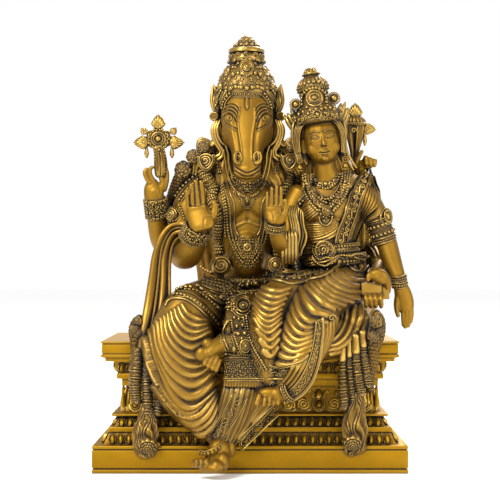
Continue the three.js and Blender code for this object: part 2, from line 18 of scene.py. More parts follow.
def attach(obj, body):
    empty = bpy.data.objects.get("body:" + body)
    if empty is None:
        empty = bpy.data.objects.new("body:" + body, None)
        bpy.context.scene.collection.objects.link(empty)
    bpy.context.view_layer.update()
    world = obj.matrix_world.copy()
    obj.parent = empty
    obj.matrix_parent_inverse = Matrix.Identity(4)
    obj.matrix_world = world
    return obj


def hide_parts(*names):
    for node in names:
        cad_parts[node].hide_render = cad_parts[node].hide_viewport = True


bl_info = {
    "name": "Seated deity and consort",
    "version": (1, 0, 0),
    "blender": (4, 5, 0),
    "location": "View3D > Sidebar > Statue",
    "description": "Carves a seated deity, his consort and their stepped throne in antique gold",
    "category": "Add Mesh",
}

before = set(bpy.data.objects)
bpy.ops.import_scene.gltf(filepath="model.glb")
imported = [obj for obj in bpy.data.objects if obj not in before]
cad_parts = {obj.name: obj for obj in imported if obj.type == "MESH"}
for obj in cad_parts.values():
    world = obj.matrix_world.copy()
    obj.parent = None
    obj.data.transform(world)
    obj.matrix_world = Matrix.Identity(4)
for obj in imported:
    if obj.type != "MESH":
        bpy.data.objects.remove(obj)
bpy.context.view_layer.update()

MM = 0.001
BODY = "root"
FIGURES = "seated_pair"
THRONE = "throne"

# The viewer: where the eye is, how many pixels its focal length spans, and the pixel that it looks at
EYE = np.array([0.0, -894.4, 139.2])
FOCAL_PX = 1250.0
LEVEL_PX = (250.0, 265.0)
PICTURE_PX = 500.0

FRONT = (0, -1, 0)
BACK = (0, 1, 0)
UP = (0, 0, 1)
TURN = 2 * math.pi


# Paths and shapes

class Way:
    """A smooth path through rows of numbers: first a place, then what goes along with it, such as radii."""

    def __init__(self, rows, closed=False, places=3):
        rows = np.array([list(row) for row in rows], float)
        if closed:
            self.rows = np.vstack([rows[-1], rows, rows[:2]])
        else:
            self.rows = np.vstack([2 * rows[0] - rows[1], rows, 2 * rows[-1] - rows[-2]])
        self.spans = len(self.rows) - 3
        self.places = places
        self.shares = np.linspace(0, 1, 24 * self.spans + 1)
        steps = np.linalg.norm(np.diff(self.at(self.shares)[:, :places], axis=0), axis=1)
        self.lengths = np.concatenate([[0], np.cumsum(steps)])
        self.length = self.lengths[-1]

    def at(self, share):
        """The rows at the shares of the way given, from 0 to 1."""
        x = np.clip(np.asarray(share, float), 0, 1) * self.spans
        k = np.minimum(x.astype(int), self.spans - 1)
        f = (x - k)[..., None]
        a, b, c, d = (self.rows[k + i] for i in range(4))
        return b + 0.5 * f * (c - a + f * (2 * a - 5 * b + 4 * c - d + f * (3 * (b - c) + d - a)))

    def evenly(self, part):
        """The shares that lie at the given parts, from 0 to 1, of the length."""
        return np.interp(np.asarray(part, float) * self.length, self.lengths, self.shares)

    def along(self, share):
        """Unit tangents."""
        step = 0.5 / len(self.shares)
        ahead = self.at(np.asarray(share) + step) - self.at(np.asarray(share) - step)
        return unit(ahead[..., : self.places])


def unit(vectors):
    vectors = np.asarray(vectors, float)
    return vectors / np.maximum(np.linalg.norm(vectors, axis=-1, keepdims=True), 1e-9)


def wide(rows):
    """Path rows of three places, half width and half depth, where a row of four has one radius."""
    return [list(row) + [row[3]] if len(row) == 4 else list(row) for row in rows]


def smoothstep(low, high, values):
    x = np.clip((np.asarray(values, float) - low) / (high - low), 0, 1)
    return x * x * (3 - 2 * x)


class Shape:
    """Points, the corners of faces, and how many corners each face has."""

    def __init__(self, points, corners, sizes):
        self.points, self.corners, self.sizes = points, corners, sizes

    @classmethod
    def of_mesh(cls, mesh):
        points = np.empty(len(mesh.vertices) * 3)
        corners = np.empty(len(mesh.loops), np.int64)
        sizes = np.empty(len(mesh.polygons), np.int64)
        mesh.vertices.foreach_get("co", points)
        mesh.loops.foreach_get("vertex_index", corners)
        mesh.polygons.foreach_get("loop_total", sizes)
        bpy.data.meshes.remove(mesh)
        return cls(points.reshape(-1, 3), corners, sizes)

    @classmethod
    def of_bmesh(cls, bm):
        mesh = bpy.data.meshes.new("shape")
        bm.to_mesh(mesh)
        bm.free()
        return cls.of_mesh(mesh)

    def mesh(self, name="shape", scale=1.0):
        mesh = bpy.data.meshes.new(name)
        mesh.vertices.add(len(self.points))
        mesh.vertices.foreach_set("co", (self.points * scale).ravel())
        mesh.loops.add(len(self.corners))
        mesh.loops.foreach_set("vertex_index", self.corners.astype(np.int32))
        mesh.polygons.add(len(self.sizes))
        mesh.polygons.foreach_set("loop_start",
            np.concatenate([[0], np.cumsum(self.sizes)[:-1]]).astype(np.int32))
        mesh.polygons.foreach_set("use_smooth", np.ones(len(self.sizes), bool))
        mesh.update(calc_edges=True)
        return mesh

    def bmesh(self):
        bm = bmesh.new()
        mesh = self.mesh()
        bm.from_mesh(mesh)
        bpy.data.meshes.remove(mesh)
        return bm

    def normals(self):
        mesh = self.mesh()
        found = np.empty(len(self.points) * 3)
        mesh.vertex_normals.foreach_get("vector", found)
        bpy.data.meshes.remove(mesh)
        return found.reshape(-1, 3)

    def copies(self, turns):
        """The shape once for each of the 4 by 4 matrices."""
        turns = np.array(turns, float).reshape(-1, 4, 4)
        points = np.einsum("kij,nj->kni", turns[:, :3, :3], self.points) + turns[:, None, :3, 3]
        steps = np.arange(len(turns))[:, None] * len(self.points)
        corners = (self.corners[None, :] + steps).ravel()
        return Shape(points.reshape(-1, 3), corners, np.tile(self.sizes, len(turns)))


def joined(*shapes):
    """Several shapes as one, each still closed by itself."""
    shapes = [shape for shape in flat(shapes) if len(shape.points)]
    starts = np.cumsum([0] + [len(shape.points) for shape in shapes])
    corners = [shape.corners + start for shape, start in zip(shapes, starts)]
    points = np.vstack([shape.points for shape in shapes])
    return Shape(points, np.concatenate(corners), np.concatenate([shape.sizes for shape in shapes]))


def flat(items):
    for item in items:
        if isinstance(item, (list, tuple)):
            yield from flat(item)
        else:
            yield item


def closed_up(bm):
    bmesh.ops.remove_doubles(bm, verts=bm.verts, dist=1e-3)
    bmesh.ops.recalc_face_normals(bm, faces=bm.faces)
    return Shape.of_bmesh(bm)


def woven(across, along, place):
    """A grid whose corners place(u, v) puts in space, welded where its edges meet."""
    bm = bmesh.new()
    bmesh.ops.create_grid(bm, x_segments=across, y_segments=along, size=0.5)
    flat_grid = Shape.of_bmesh(bm)
    u, v = flat_grid.points[:, 0] + 0.5, flat_grid.points[:, 1] + 0.5
    flat_grid.points = place(u, v)
    return closed_up(flat_grid.bmesh())


def capped(v, cap):
    """The way along a body for each share of it, and how near its rounded ends are, from 0 to 1."""
    way = np.clip((v - cap) / (1 - 2 * cap), 0, 1)
    return way, np.clip(1 - v / cap, 0, 1), np.clip(1 - (1 - v) / cap, 0, 1)


def sleeve(rows, around=24, along=40, front=FRONT, relief=None, tips=(0.6, 0.6), cap=None, square=0.0):
    """A round-ended body on a path of [x, y, z, half width, half depth]. relief(share, angle) swells it."""
    way = rows if isinstance(rows, Way) else Way(wide(rows))
    cap = cap or 2.01 / along
    facing = unit(front)

    def place(u, v):
        angle = TURN * u
        share, first, last = capped(v, cap)
        share = way.evenly(share)
        row = way.at(share)
        ahead = way.along(share)
        forward = unit(facing - (ahead @ facing)[:, None] * ahead)
        aside = np.cross(ahead, forward)
        swell = relief(share, angle) if relief else 0
        slim = np.cos(np.maximum(first, last) * math.pi / 2)
        push = tips[1] * np.sin(last * math.pi / 2) - tips[0] * np.sin(first * math.pi / 2)
        corner = 1 + square * np.sin(2 * angle) ** 2
        width = ((row[:, 3] + swell) * slim * corner * np.sin(angle))[:, None]
        depth = ((row[:, 4] + swell) * slim * corner * np.cos(angle))[:, None]
        return row[:, :3] + aside * width + forward * depth + ahead * (push * row[:, 3])[:, None]

    return woven(around, along, place)


def stack(levels, around=40, along=60):
    """A body of level ovals, each [z, x, y, half width, half depth]."""
    return sleeve([[x, y, z, width, deep] for z, x, y, width, deep in levels], around, along, tips=(0.1, 0.1))


def turned(profile, at=(0, 0, 0), around=32, relief=None):
    """A round piece about a line through at, its profile straight between rows of [radius, height]."""
    profile = np.array(profile, float)
    shares = np.linspace(0, 1, len(profile))

    def place(u, v):
        radius = np.interp(v, shares, profile[:, 0])
        height = np.interp(v, shares, profile[:, 1])
        angle = TURN * u
        if relief:
            radius = radius + np.where(radius > 0, relief(height, angle), 0)
        return np.stack([radius * np.sin(angle), -radius * np.cos(angle), height], axis=1)

    shape = woven(around, len(profile) - 1, place)
    shape.points = moved(shape.points, at)
    return shape


def moved(points, at=(0, 0, 0), tilt=(0, 0, 0)):
    turn = np.array(Euler(tilt).to_matrix())
    return points @ turn.T + np.array(at, float)


def blob(at, radii, tilt=(0, 0, 0), fine=20):
    """An egg-shaped lump."""
    bm = bmesh.new()
    bmesh.ops.create_uvsphere(bm, u_segments=fine, v_segments=fine * 2 // 3, radius=1)
    shape = Shape.of_bmesh(bm)
    shape.points = moved(shape.points * np.array(radii, float), at, tilt)
    return shape


def melted(shapes, cell, passes=3):
    """One skin around all the shapes, of cells of that size, smoothed a few times."""
    mesh = joined(shapes).mesh()
    lump = bpy.data.objects.new("lump", mesh)
    bpy.context.scene.collection.objects.link(lump)
    union = lump.modifiers.new("union", "REMESH")
    union.mode = "VOXEL"
    union.voxel_size = cell
    if passes:
        soften = lump.modifiers.new("soften", "SMOOTH")
        soften.factor = 0.5
        soften.iterations = passes
    made = settled(lump)
    bpy.data.meshes.remove(mesh)
    return made


def thinned(shape, share):
    """The shape with about that share of its triangles."""
    mesh = shape.mesh()
    lump = bpy.data.objects.new("lump", mesh)
    bpy.context.scene.collection.objects.link(lump)
    thin = lump.modifiers.new("thin", "DECIMATE")
    thin.ratio = share
    made = settled(lump)
    bpy.data.meshes.remove(mesh)
    return made


def settled(lump):
    """What an object's modifiers make of it. The object is removed."""
    found = lump.evaluated_get(bpy.context.evaluated_depsgraph_get())
    made = Shape.of_mesh(bpy.data.meshes.new_from_object(found))
    bpy.data.objects.remove(lump)
    return made


# What the viewer sees

def pixels_of(points):
    """Where points show in the picture."""
    reach = (points[:, 1] - EYE[1]) / FOCAL_PX
    return np.stack([LEVEL_PX[0] + points[:, 0] / reach, LEVEL_PX[1] - (points[:, 2] - EYE[2]) / reach],
        axis=1)


def sight(pixel, depth):
    """The point at that Y on the sight line through a pixel."""
    reach = (depth - EYE[1]) / FOCAL_PX
    return np.array([(pixel[0] - LEVEL_PX[0]) * reach, depth, EYE[2] + (LEVEL_PX[1] - pixel[1]) * reach])


class Ground:
    """The surfaces that ornaments are laid on, as the viewer sees them."""

    def __init__(self, *names):
        graph = bpy.context.evaluated_depsgraph_get()
        self.trees = [BVHTree.FromObject(bpy.data.objects[name], graph) for name in names]

    def seen(self, pixel):
        """The nearest point behind a pixel, and the surface's normal there."""
        start = Vector(EYE * MM)
        ahead = Vector(sight(pixel, 0.0) * MM) - start
        hits = [tree.ray_cast(start, ahead.normalized()) for tree in self.trees]
        hits = [hit for hit in hits if hit[0] is not None]
        if not hits:
            near = [tree.find_nearest(Vector(sight(pixel, self.guess) * MM)) for tree in self.trees]
            hit = min(near, key=lambda found: found[3])
            return np.array(sight(pixel, hit[0].y / MM)), unit(np.array([0.0, -1.0, 0.0]))
        hit = min(hits, key=lambda found: found[3])
        normal = np.array(hit[1])
        if normal @ np.array(ahead) > 0:
            normal = -normal
        self.guess = hit[0].y / MM
        return np.array(hit[0]) / MM, normal

    guess = -20.0

    def trace(self, pixels, count, closed=False, lift=0.0, even=3):
        """Points and normals along a line drawn in the picture, count of them, lifted off the surface."""
        way = Way(pixels, closed=closed, places=2)
        parts = np.linspace(0, 1, count, endpoint=not closed)
        spots = way.at(way.evenly(parts))
        found = [self.seen(spot) for spot in spots]
        points = np.array([point for point, _ in found])
        normals = np.array([normal for _, normal in found])
        for _ in range(even):
            if count < 4:
                break
            for values in (normals, points[:, 1:2]):
                inner = (values[:-2] + 2 * values[1:-1] + values[2:]) / 4
                values[1:-1] = inner
        depths = points[:, 1]
        points = np.array([sight(spot, depth) for spot, depth in zip(spots, depths)])
        normals = unit(normals)
        return points + normals * lift, normals


class Ridges:
    """Lines in the picture that raise the surface behind them, with a crease midway between neighbours."""

    def __init__(self, keys, between, height=0.55, samples=90, width=None):
        ways = [Way(key, places=2) for key in keys]
        parts = np.linspace(0, 1, samples)
        lines = [way.at(way.evenly(parts)) for way in ways]
        rows = []
        for first, second, count in zip(lines, lines[1:], between):
            rows += [first + (second - first) * i / (count + 1) for i in range(count + 1)]
        rows.append(lines[-1])
        self.rows = np.array(rows)
        self.height = height
        gaps = np.linalg.norm(np.diff(self.rows, axis=0), axis=2) / 2
        ends = np.vstack([gaps[:1], gaps, gaps[-1:]]) if len(rows) > 1 else np.full((2, samples), width)
        self.halves = np.maximum((ends[:-1] + ends[1:]) / 2, 0.4).ravel()
        if width:
            self.halves = np.minimum(self.halves, width)
        self.spots = self.rows.reshape(-1, 2)
        ahead = np.gradient(self.rows, axis=1)
        self.ahead = unit(ahead).reshape(-1, 2)
        self.at_end = np.zeros(self.rows.shape[:2], bool)
        self.at_end[:, [0, -1]] = True
        self.at_end = self.at_end.ravel()
        self.tree = KDTree(len(self.spots))
        for i, (x, y) in enumerate(self.spots):
            self.tree.insert((x, y, 0), i)
        self.tree.balance()

    def rise(self, pixels):
        """How high the surface stands at pixels, in pixels."""
        low, high = self.spots.min(0) - 6, self.spots.max(0) + 6
        near = np.all((pixels > low) & (pixels < high), axis=1)
        nearest = np.array([self.tree.find((x, y, 0))[1] for x, y in pixels[near]], int)
        away = pixels[near] - self.spots[nearest]
        ahead = self.ahead[nearest]
        beside = np.abs(away[:, 0] * ahead[:, 1] - away[:, 1] * ahead[:, 0])
        distance = np.where(self.at_end[nearest], np.linalg.norm(away, axis=1), beside)
        half = self.halves[nearest]
        share = np.clip(distance / half, 0, 1)
        risen = np.zeros(len(pixels))
        risen[near] = self.height * half * (1 - share**2) ** 0.75
        return risen


def draped(shape, families, sink=0.0):
    """Raises families of ridges on a shape, along its normals."""
    pixels = pixels_of(shape.points)
    rise = np.max([family.rise(pixels) for family in families], axis=0)
    reach = (shape.points[:, 1] - EYE[1]) / FOCAL_PX
    lift = rise * reach - sink
    shape.points = shape.points + shape.normals() * lift[:, None]
    return shape


def engraved(shape, strokes, limit=None):
    """Lines cut into or raised on the near side, each [height, half width in pixels, line]."""
    normals = shape.normals()
    pixels = pixels_of(shape.points)
    facing = smoothstep(0.05, 0.35, np.sum(normals * unit(EYE - shape.points), axis=1))
    lift = np.zeros(len(shape.points))
    for height, half, line in strokes:
        way = Way(line, places=2)
        spots = way.at(way.evenly(np.linspace(0, 1, max(4, int(way.length / 0.4)))))
        low, high = spots.min(0) - half, spots.max(0) + half
        near = np.nonzero(np.all((pixels > low) & (pixels < high), axis=1) & (facing > 0))[0]
        if not len(near):
            continue
        distance = np.min(np.linalg.norm(pixels[near, None] - spots[None], axis=2), axis=1)
        lift[near] += height * (1 - np.clip(distance / half, 0, 1) ** 2) ** 1.5
    if limit is not None:
        lift = lift * limit(shape.points)
    shape.points = shape.points + normals * (lift * facing)[:, None]
    return shape


def in_view(depth, rows, thick=1.0):
    """Path rows from rows of [x, y, half width] in pixels, at that Y or at the Y given fourth."""
    made = []
    for row in rows:
        y = row[3] if len(row) > 3 else depth
        reach = (y - EYE[1]) / FOCAL_PX
        made.append([*sight(row[:2], y), row[2] * reach, row[2] * reach * thick])
    return made


def inset(left, right, share):
    """The line that lies that share of the way from one line drawn in the picture to another."""
    parts = np.linspace(0, 1, 12)
    ends = [way.at(way.evenly(parts)) for way in (Way(left, places=2), Way(right, places=2))]
    return [tuple(spot) for spot in ends[0] + (ends[1] - ends[0]) * share]


def circle_px(middle, radius, start=0.0, end=TURN, count=14):
    """A round line in the picture, or an oval one with two radii. A whole one leaves out its last place."""
    angles = np.linspace(start, end, count)
    if abs(end - start - TURN) < 1e-6:
        angles = angles[:-1]
    wide, tall = np.broadcast_to(radius, 2)
    return [(middle[0] + wide * math.cos(a), middle[1] + tall * math.sin(a)) for a in angles]


def both(middle, spots):
    """Places in the picture and their mirror images."""
    return list(spots) + [(2 * middle - x, y) for x, y in spots]


def mirrored(line, middle):
    """A line drawn in the picture, and its mirror image about an upright line."""
    return [line, [(2 * middle - x, y) for x, y in line]]


# Ornaments, each a shape of unit size that faces +Z

def bead(fine=8):
    bm = bmesh.new()
    bmesh.ops.create_uvsphere(bm, u_segments=fine, v_segments=max(4, fine * 5 // 8), radius=1)
    return Shape.of_bmesh(bm)


def dome(profile, around=12, petals=0, cut=0.0):
    """A round boss of [radius, height] rows, its rim waved into petals."""
    waves = (lambda height, angle: -cut * (1 - np.abs(np.cos(petals * angle / 2)) ** 0.6)) if petals else None
    return turned([(0, -0.3)] + [(profile[0][0], -0.3)] + profile, around=around, relief=waves)


def ring(thick=0.3, around=14):
    profile = [(1 - thick + thick * math.cos(a), thick * math.sin(a)) for a in np.linspace(0, TURN, 7)]
    return turned(profile, around=around)


STUD = [(1.0, 0.0), (0.95, 0.45), (0.6, 0.8), (0.0, 0.95)]
EAR_STUD = [(1.0, 0.0), (1.02, 0.5), (0.86, 0.8), (0.66, 0.62), (0.5, 0.6), (0, 0.72)]
DAISY = [(1.0, 0.0), (1.0, 0.3), (0.7, 0.62), (0.45, 0.4), (0.3, 0.75), (0, 0.9)]
BOSS = [
    (1.0, 0.0), (1.0, 0.34), (0.9, 0.46), (0.76, 0.36), (0.68, 0.16), (0.6, 0.2), (0.5, 0.52), (0.28, 0.72),
    (0, 0.8),
]
TARGET = [
    (1.0, 0.0), (1.0, 0.22), (0.95, 0.34), (0.86, 0.34), (0.8, 0.18), (0.74, 0.2), (0.7, 0.38), (0.62, 0.44),
    (0.54, 0.36),
    (0.48, 0.22), (0.42, 0.26), (0.36, 0.5), (0.22, 0.62), (0, 0.66),
]


def blossom(petals=6, rounds=3, around=30):
    """A rose seen from the front: rounds of overlapping petals that rise to a bud."""
    def place(u, v):
        angle, out = TURN * u, 1 - v
        layer = np.clip(np.floor(out * rounds), 0, rounds - 1)
        within = out * rounds - layer
        turn = angle * petals / 2 + layer * math.pi / 2
        edge = np.abs(np.sin(turn)) ** 0.5
        radius = out * (0.86 + 0.14 * edge)
        height = 0.75 * (1 - out**1.5) + 0.3 * np.sin(within * math.pi * 0.75) * (0.55 + 0.45 * edge)
        height = np.where(out > 0.97, -0.25, height)
        return np.stack([radius * np.sin(angle), radius * np.cos(angle), height], axis=1)

    return woven(around, rounds * 4 + 1, place)


def spiral(turns=1.6, thick=0.13, steps=40, sides=6):
    """A tendril that curls in towards its middle."""
    angles = np.linspace(0, TURN * turns, steps)
    radii = np.linspace(1 - thick, 0.12, steps)
    rows = [[r * math.cos(a), r * math.sin(a), 0.1, thick * (0.7 + 0.5 * r)] for a, r in zip(angles, radii)]
    return sleeve(rows, sides, steps, UP)


def drop(around=8):
    """A bead drawn out to a point at -Y."""
    profile = [(0, 0.75), (0.55, 0.62), (0.78, 0.25), (0.7, -0.1), (0.35, -0.75), (0, -1.3)]
    shape = turned(profile, around=around)
    shape.points = moved(shape.points, tilt=(-math.pi / 2, 0, 0)) * np.array([1, 1, 0.7])
    return shape


def leaf():
    """A pointed leaf with a rib, its root at the middle and its tip at +Y."""
    def place(u, v):
        x = (u - 0.5) * 2
        width = 0.42 * np.sin(math.pi * np.clip(v, 0, 1) ** 0.75) ** 0.8
        rise = 0.16 * (1 - x**2) * np.sin(math.pi * v) - 0.07 * np.exp(-((x / 0.25) ** 2))
        return np.stack([x * width, v, rise + 0.05], axis=1)

    return thick_sheet(6, 8, place, 0.12)


def thick_sheet(across, along, place, thick):
    """A sheet whose corners place(u, v) puts in space, given a thickness."""
    bm = bmesh.new()
    bmesh.ops.create_grid(bm, x_segments=across, y_segments=along, size=0.5)
    sheet = Shape.of_bmesh(bm)
    sheet.points = place(sheet.points[:, 0] + 0.5, sheet.points[:, 1] + 0.5)
    bm = sheet.bmesh()
    bmesh.ops.remove_doubles(bm, verts=bm.verts, dist=1e-4)
    bmesh.ops.recalc_face_normals(bm, faces=bm.faces)
    bmesh.ops.solidify(bm, geom=bm.faces, thickness=thick)
    bmesh.ops.recalc_face_normals(bm, faces=bm.faces)
    return Shape.of_bmesh(bm)


def seats(points, normals, ahead, sizes):
    """Matrices that stand an ornament's Z along the normals and its Y along ahead."""
    points, normals = np.atleast_2d(points), unit(np.atleast_2d(normals))
    ahead = np.broadcast_to(ahead, points.shape)
    ahead = unit(ahead - np.sum(ahead * normals, axis=1, keepdims=True) * normals)
    aside = np.cross(ahead, normals)
    sizes = np.broadcast_to(np.asarray(sizes, float).reshape(-1, 1) if np.ndim(sizes) < 2 else sizes,
        (len(points), 3))
    turns = np.zeros((len(points), 4, 4))
    turns[:, :3, 0] = aside * sizes[:, :1]
    turns[:, :3, 1] = ahead * sizes[:, 1:2]
    turns[:, :3, 2] = normals * sizes[:, 2:]
    turns[:, :3, 3] = points
    turns[:, 3, 3] = 1
    return turns


def scaled(shape, *sizes):
    sizes = sizes * 3 if len(sizes) == 1 else sizes
    return Shape(shape.points * np.array(sizes, float), shape.corners, shape.sizes)


def stood(shape, size, at, tilt=(0, 0, 0)):
    """The shape scaled, turned and set down at a place."""
    made = scaled(shape, *np.atleast_1d(size))
    made.points = moved(made.points, at, tilt)
    return made


def ranks(axis, rows):
    """Level rings of ornaments round an axis, each [shape, radius, height, count, start, lean]."""
    return [shape.copies(round_the(axis, *row)) for shape, *row in rows]


def gathered(count, deep):
    """A relief of folds side by side round a sleeve."""
    return lambda share, angle: deep * (np.abs(np.sin(count * angle)) ** 0.6 - 0.5)


def round_the(axis, radius, height, count, start=0.0, lean=0.0):
    """Matrices that set copies round an upright axis, their Z outwards and their Y up, leaning back."""
    turns = []
    for i in range(count):
        angle = start + TURN * i / count
        out = np.array([math.sin(angle), -math.cos(angle), 0.0])
        up = np.array([0, 0, 1.0])
        facing = out * math.cos(lean) + up * math.sin(lean)
        above = up * math.cos(lean) - out * math.sin(lean)
        turn = np.eye(4)
        turn[:3, 0], turn[:3, 1], turn[:3, 2] = np.cross(above, facing), above, facing
        turn[:3, 3] = np.array(axis) + out * radius + up * height
        turns.append(turn)
    return turns


def set_on(ground, shape, pixels, size, up=UP, lift=0.0):
    """The shape at each pixel, on the ground behind it. size is one radius in millimetres or three."""
    found = [ground.seen(pixel) for pixel in pixels]
    points = np.array([point for point, _ in found])
    normals = unit(np.array([normal for _, normal in found]) + np.array([0, -0.8, 0]))
    sizes = [size] * 3 if np.isscalar(size) else size
    return shape.copies(seats(points + normals * lift, normals, np.array(up, float),
        np.tile(sizes, (len(points), 1))))


def strung(ground, shape, pixels, pitch, size, lift=0.0, closed=False, spin=0.0):
    """The shape again and again along a line drawn in the picture, pitch millimetres apart."""
    points, _ = ground.trace(pixels, 24, closed)
    run = np.sum(np.linalg.norm(np.diff(points, axis=0), axis=1))
    count = max(2, round(run / pitch) + (0 if closed else 1))
    points, normals = ground.trace(pixels, count, closed, lift)
    ahead = unit(np.gradient(points, axis=0))
    if spin:
        ahead = ahead * math.cos(spin) + np.cross(normals, ahead) * math.sin(spin)
    sizes = [size] * 3 if np.isscalar(size) else size
    return shape.copies(seats(points, normals, ahead, np.tile(sizes, (count, 1))))


def corded(ground, pixels, radius, lift=None, closed=False, sides=6, step=1.4):
    """A round cord along a line drawn in the picture, half sunk in the ground."""
    lift = radius * 0.35 if lift is None else lift
    points, _ = ground.trace(pixels, 16, closed)
    run = np.sum(np.linalg.norm(np.diff(points, axis=0), axis=1))
    count = max(6, int(run / step))
    points, normals = ground.trace(pixels, count, closed, lift)
    if closed:
        points = np.vstack([points, points[:1]])
    rows = [[*point, radius] for point in points]
    return sleeve(rows, sides, count, normals.mean(0))


def swept(points, radii, sides=8, step=0.8):
    """A tube through free points, its radius given at each."""
    rows = [[*point, radius] for point, radius in zip(points, radii)]
    way = Way(wide(rows))
    return sleeve(way, sides, max(6, int(way.length / step)))


def hung(depth, line, radius, sides=8, step=0.9):
    """A tube at that Y along a line drawn in the picture. radius is one number or one for each place."""
    radii = np.broadcast_to(radius, len(line))
    return swept([sight(spot[:2], spot[2] if len(spot) > 2 else depth) for spot in line], radii, sides, step)


# Finishes

class Signal:
    """A socket of a shader tree, on which arithmetic adds Math nodes."""

    def __init__(self, recipe, socket):
        self.recipe, self.socket = recipe, socket

    def __add__(self, other):
        return self.recipe.maths("ADD", self, other)

    def __radd__(self, other):
        return self.recipe.maths("ADD", other, self)

    def __sub__(self, other):
        return self.recipe.maths("SUBTRACT", self, other)

    def __rsub__(self, other):
        return self.recipe.maths("SUBTRACT", other, self)

    def __mul__(self, other):
        return self.recipe.maths("MULTIPLY", self, other)

    def __rmul__(self, other):
        return self.recipe.maths("MULTIPLY", other, self)

    def __pow__(self, other):
        return self.recipe.maths("POWER", self, other)


class Recipe:
    """A new material and the nodes of its shader tree."""

    def __init__(self, name):
        self.material = bpy.data.materials.new(name)
        self.material.use_nodes = True
        self.tree = self.material.node_tree
        self.shader = self.tree.nodes["Principled BSDF"]

    def node(self, kind, settings=None, **sockets):
        """A node of that kind: its settings first, then values or links for the sockets named."""
        made = self.tree.nodes.new(kind)
        for name, value in (settings or {}).items():
            setattr(made, name, value)
        for name, value in sockets.items():
            self.feed(made.inputs[int(name[1:]) if name[0] == "i" and name[1:].isdigit() else name], value)
        return made

    def feed(self, socket, value):
        if isinstance(value, Signal):
            self.tree.links.new(value.socket, socket)
        else:
            socket.default_value = value

    def out(self, node, name):
        return Signal(self, node.outputs[name])

    def maths(self, operation, first, second):
        return self.out(self.node("ShaderNodeMath", {"operation": operation}, i0=first, i1=second), "Value")

    def between(self, low, high, value):
        """How far a value lies from low to high, held within 0 and 1."""
        made = self.node("ShaderNodeMapRange", {"interpolation_type": "SMOOTHSTEP"}, Value=value)
        made.inputs["From Min"].default_value = low
        made.inputs["From Max"].default_value = high
        return self.out(made, "Result")

    def blend(self, share, first, second):
        """Two colours mixed."""
        made = self.node("ShaderNodeMix", {"data_type": "RGBA"}, Factor=share)
        self.feed(made.inputs[6], first)
        self.feed(made.inputs[7], second)
        return Signal(self, made.outputs[2])

    def noise(self, scale, detail=3.0):
        place = self.out(self.node("ShaderNodeTexCoord"), "Object")
        return self.out(self.node("ShaderNodeTexNoise", None, Vector=place, Scale=scale, Detail=detail),
            "Fac")


def tint(colour):
    return [*colour[:3], 1.0]


# How each finish differs: share of the dark patina and painted shade in the hollows, grain of the paint,
# share of the rubbed edges and painted highlight, roughness added, openness that the painted shade fills to,
# and how much of the hollow's reach counts
FINISHES = {
    "throne_gold": (0.95, 1.6, 0.5, 0.1, 0.3, 0.5),
    "skin_gold": (0.95, 1.2, 0.14, 0.13, 0.5, 0.4),
    "cloth_gold": (1.0, 1.0, 0.6, 0.0, 0.45, 1.0),
    "ornament_gold": (1.0, 1.0, 0.36, -0.02, 0.52, 1.0),
}


def antique_gold(name, gold, look):
    """Gold paint over resin. Ambient occlusion darkens the hollows and the gaps between parts: partly the
    real dark patina, partly painted shade. Edges and crests are brightened: partly rubbing from handling,
    partly painted highlight.
    """
    wash_and_shade, grain, wear_and_highlight, rough, deep, reach = FINISHES[name]
    recipe = Recipe(name)
    open_sky = {"samples": 8, "only_local": False}
    shade = recipe.out(recipe.node("ShaderNodeAmbientOcclusion", open_sky,
        Distance=look.wash_and_shade_reach * reach), "AO")
    patch = recipe.noise(38.0)
    speck = recipe.noise(900.0, 2.0)
    # Painted highlight: edges and crests get the bright gold, partly as rubbing from handling
    if name == "throne_gold":
        rim = recipe.node("ShaderNodeAmbientOcclusion", {"samples": 6, "inside": True, "only_local": True},
            Distance=look.edge_reach)
        worn_and_lit = 1 - recipe.between(0.45, 0.8, recipe.out(rim, "AO") + (patch - 0.5) * 0.2)
    else:
        edge = recipe.out(recipe.node("ShaderNodeNewGeometry"), "Pointiness")
        worn_and_lit = recipe.between(0.505, 0.56, edge + (patch - 0.5) * 0.02)
    # Painted shade: ambient occlusion darkens the hollows and the gaps between parts towards the dark colour,
    # partly the real patina
    hollow = (1 - recipe.between(deep, 1.0, shade + (patch - 0.5) * 0.16)) * wash_and_shade
    body = recipe.blend(recipe.between(0.3, 0.7, patch), tint(gold), tint([c * 0.84 for c in gold]))
    body = recipe.blend(worn_and_lit * wear_and_highlight, body, tint(look.worn_and_lit_gold))
    recipe.feed(recipe.shader.inputs["Base Color"], recipe.blend(hollow, body, tint(look.wash_and_shade_colour)))
    recipe.feed(recipe.shader.inputs["Metallic"], 0.92 - hollow * 0.7)
    roughness = look.roughness + rough + hollow * 0.3 + (speck - 0.5) * 0.16 - worn_and_lit * 0.08
    recipe.feed(recipe.shader.inputs["Roughness"], roughness)
    bump = recipe.node("ShaderNodeBump", None, Height=speck * grain + patch * 0.6, Strength=0.22,
        Distance=0.00025)
    recipe.feed(recipe.shader.inputs["Normal"], recipe.out(bump, "Normal"))
    return recipe.material


# Settings

class StatueSizes(bpy.types.PropertyGroup):
    """How finely the statue is carved."""

    skin_cell: FloatProperty(
        name="Skin cell", description="Width of the skin's smallest faces", default=0.95 * MM, unit="LENGTH",
        precision=5
    )
    cloth_cell: FloatProperty(
        name="Cloth cell", description="Width of the faces that folds are raised on", default=0.6 * MM,
        unit="LENGTH", precision=5
    )
    hand_cell: FloatProperty(
        name="Hand cell", description="Width of the faces of hands and faces", default=0.5 * MM,
        unit="LENGTH", precision=5
    )
    edge_round: FloatProperty(
        name="Edge rounding", description="Radius of the throne's edges", default=0.3 * MM, unit="LENGTH",
        precision=5
    )
    egg_pitch: FloatProperty(
        name="Egg pitch", description="Distance between two eggs of the throne's mouldings", default=5.6 * MM,
        unit="LENGTH", precision=5
    )


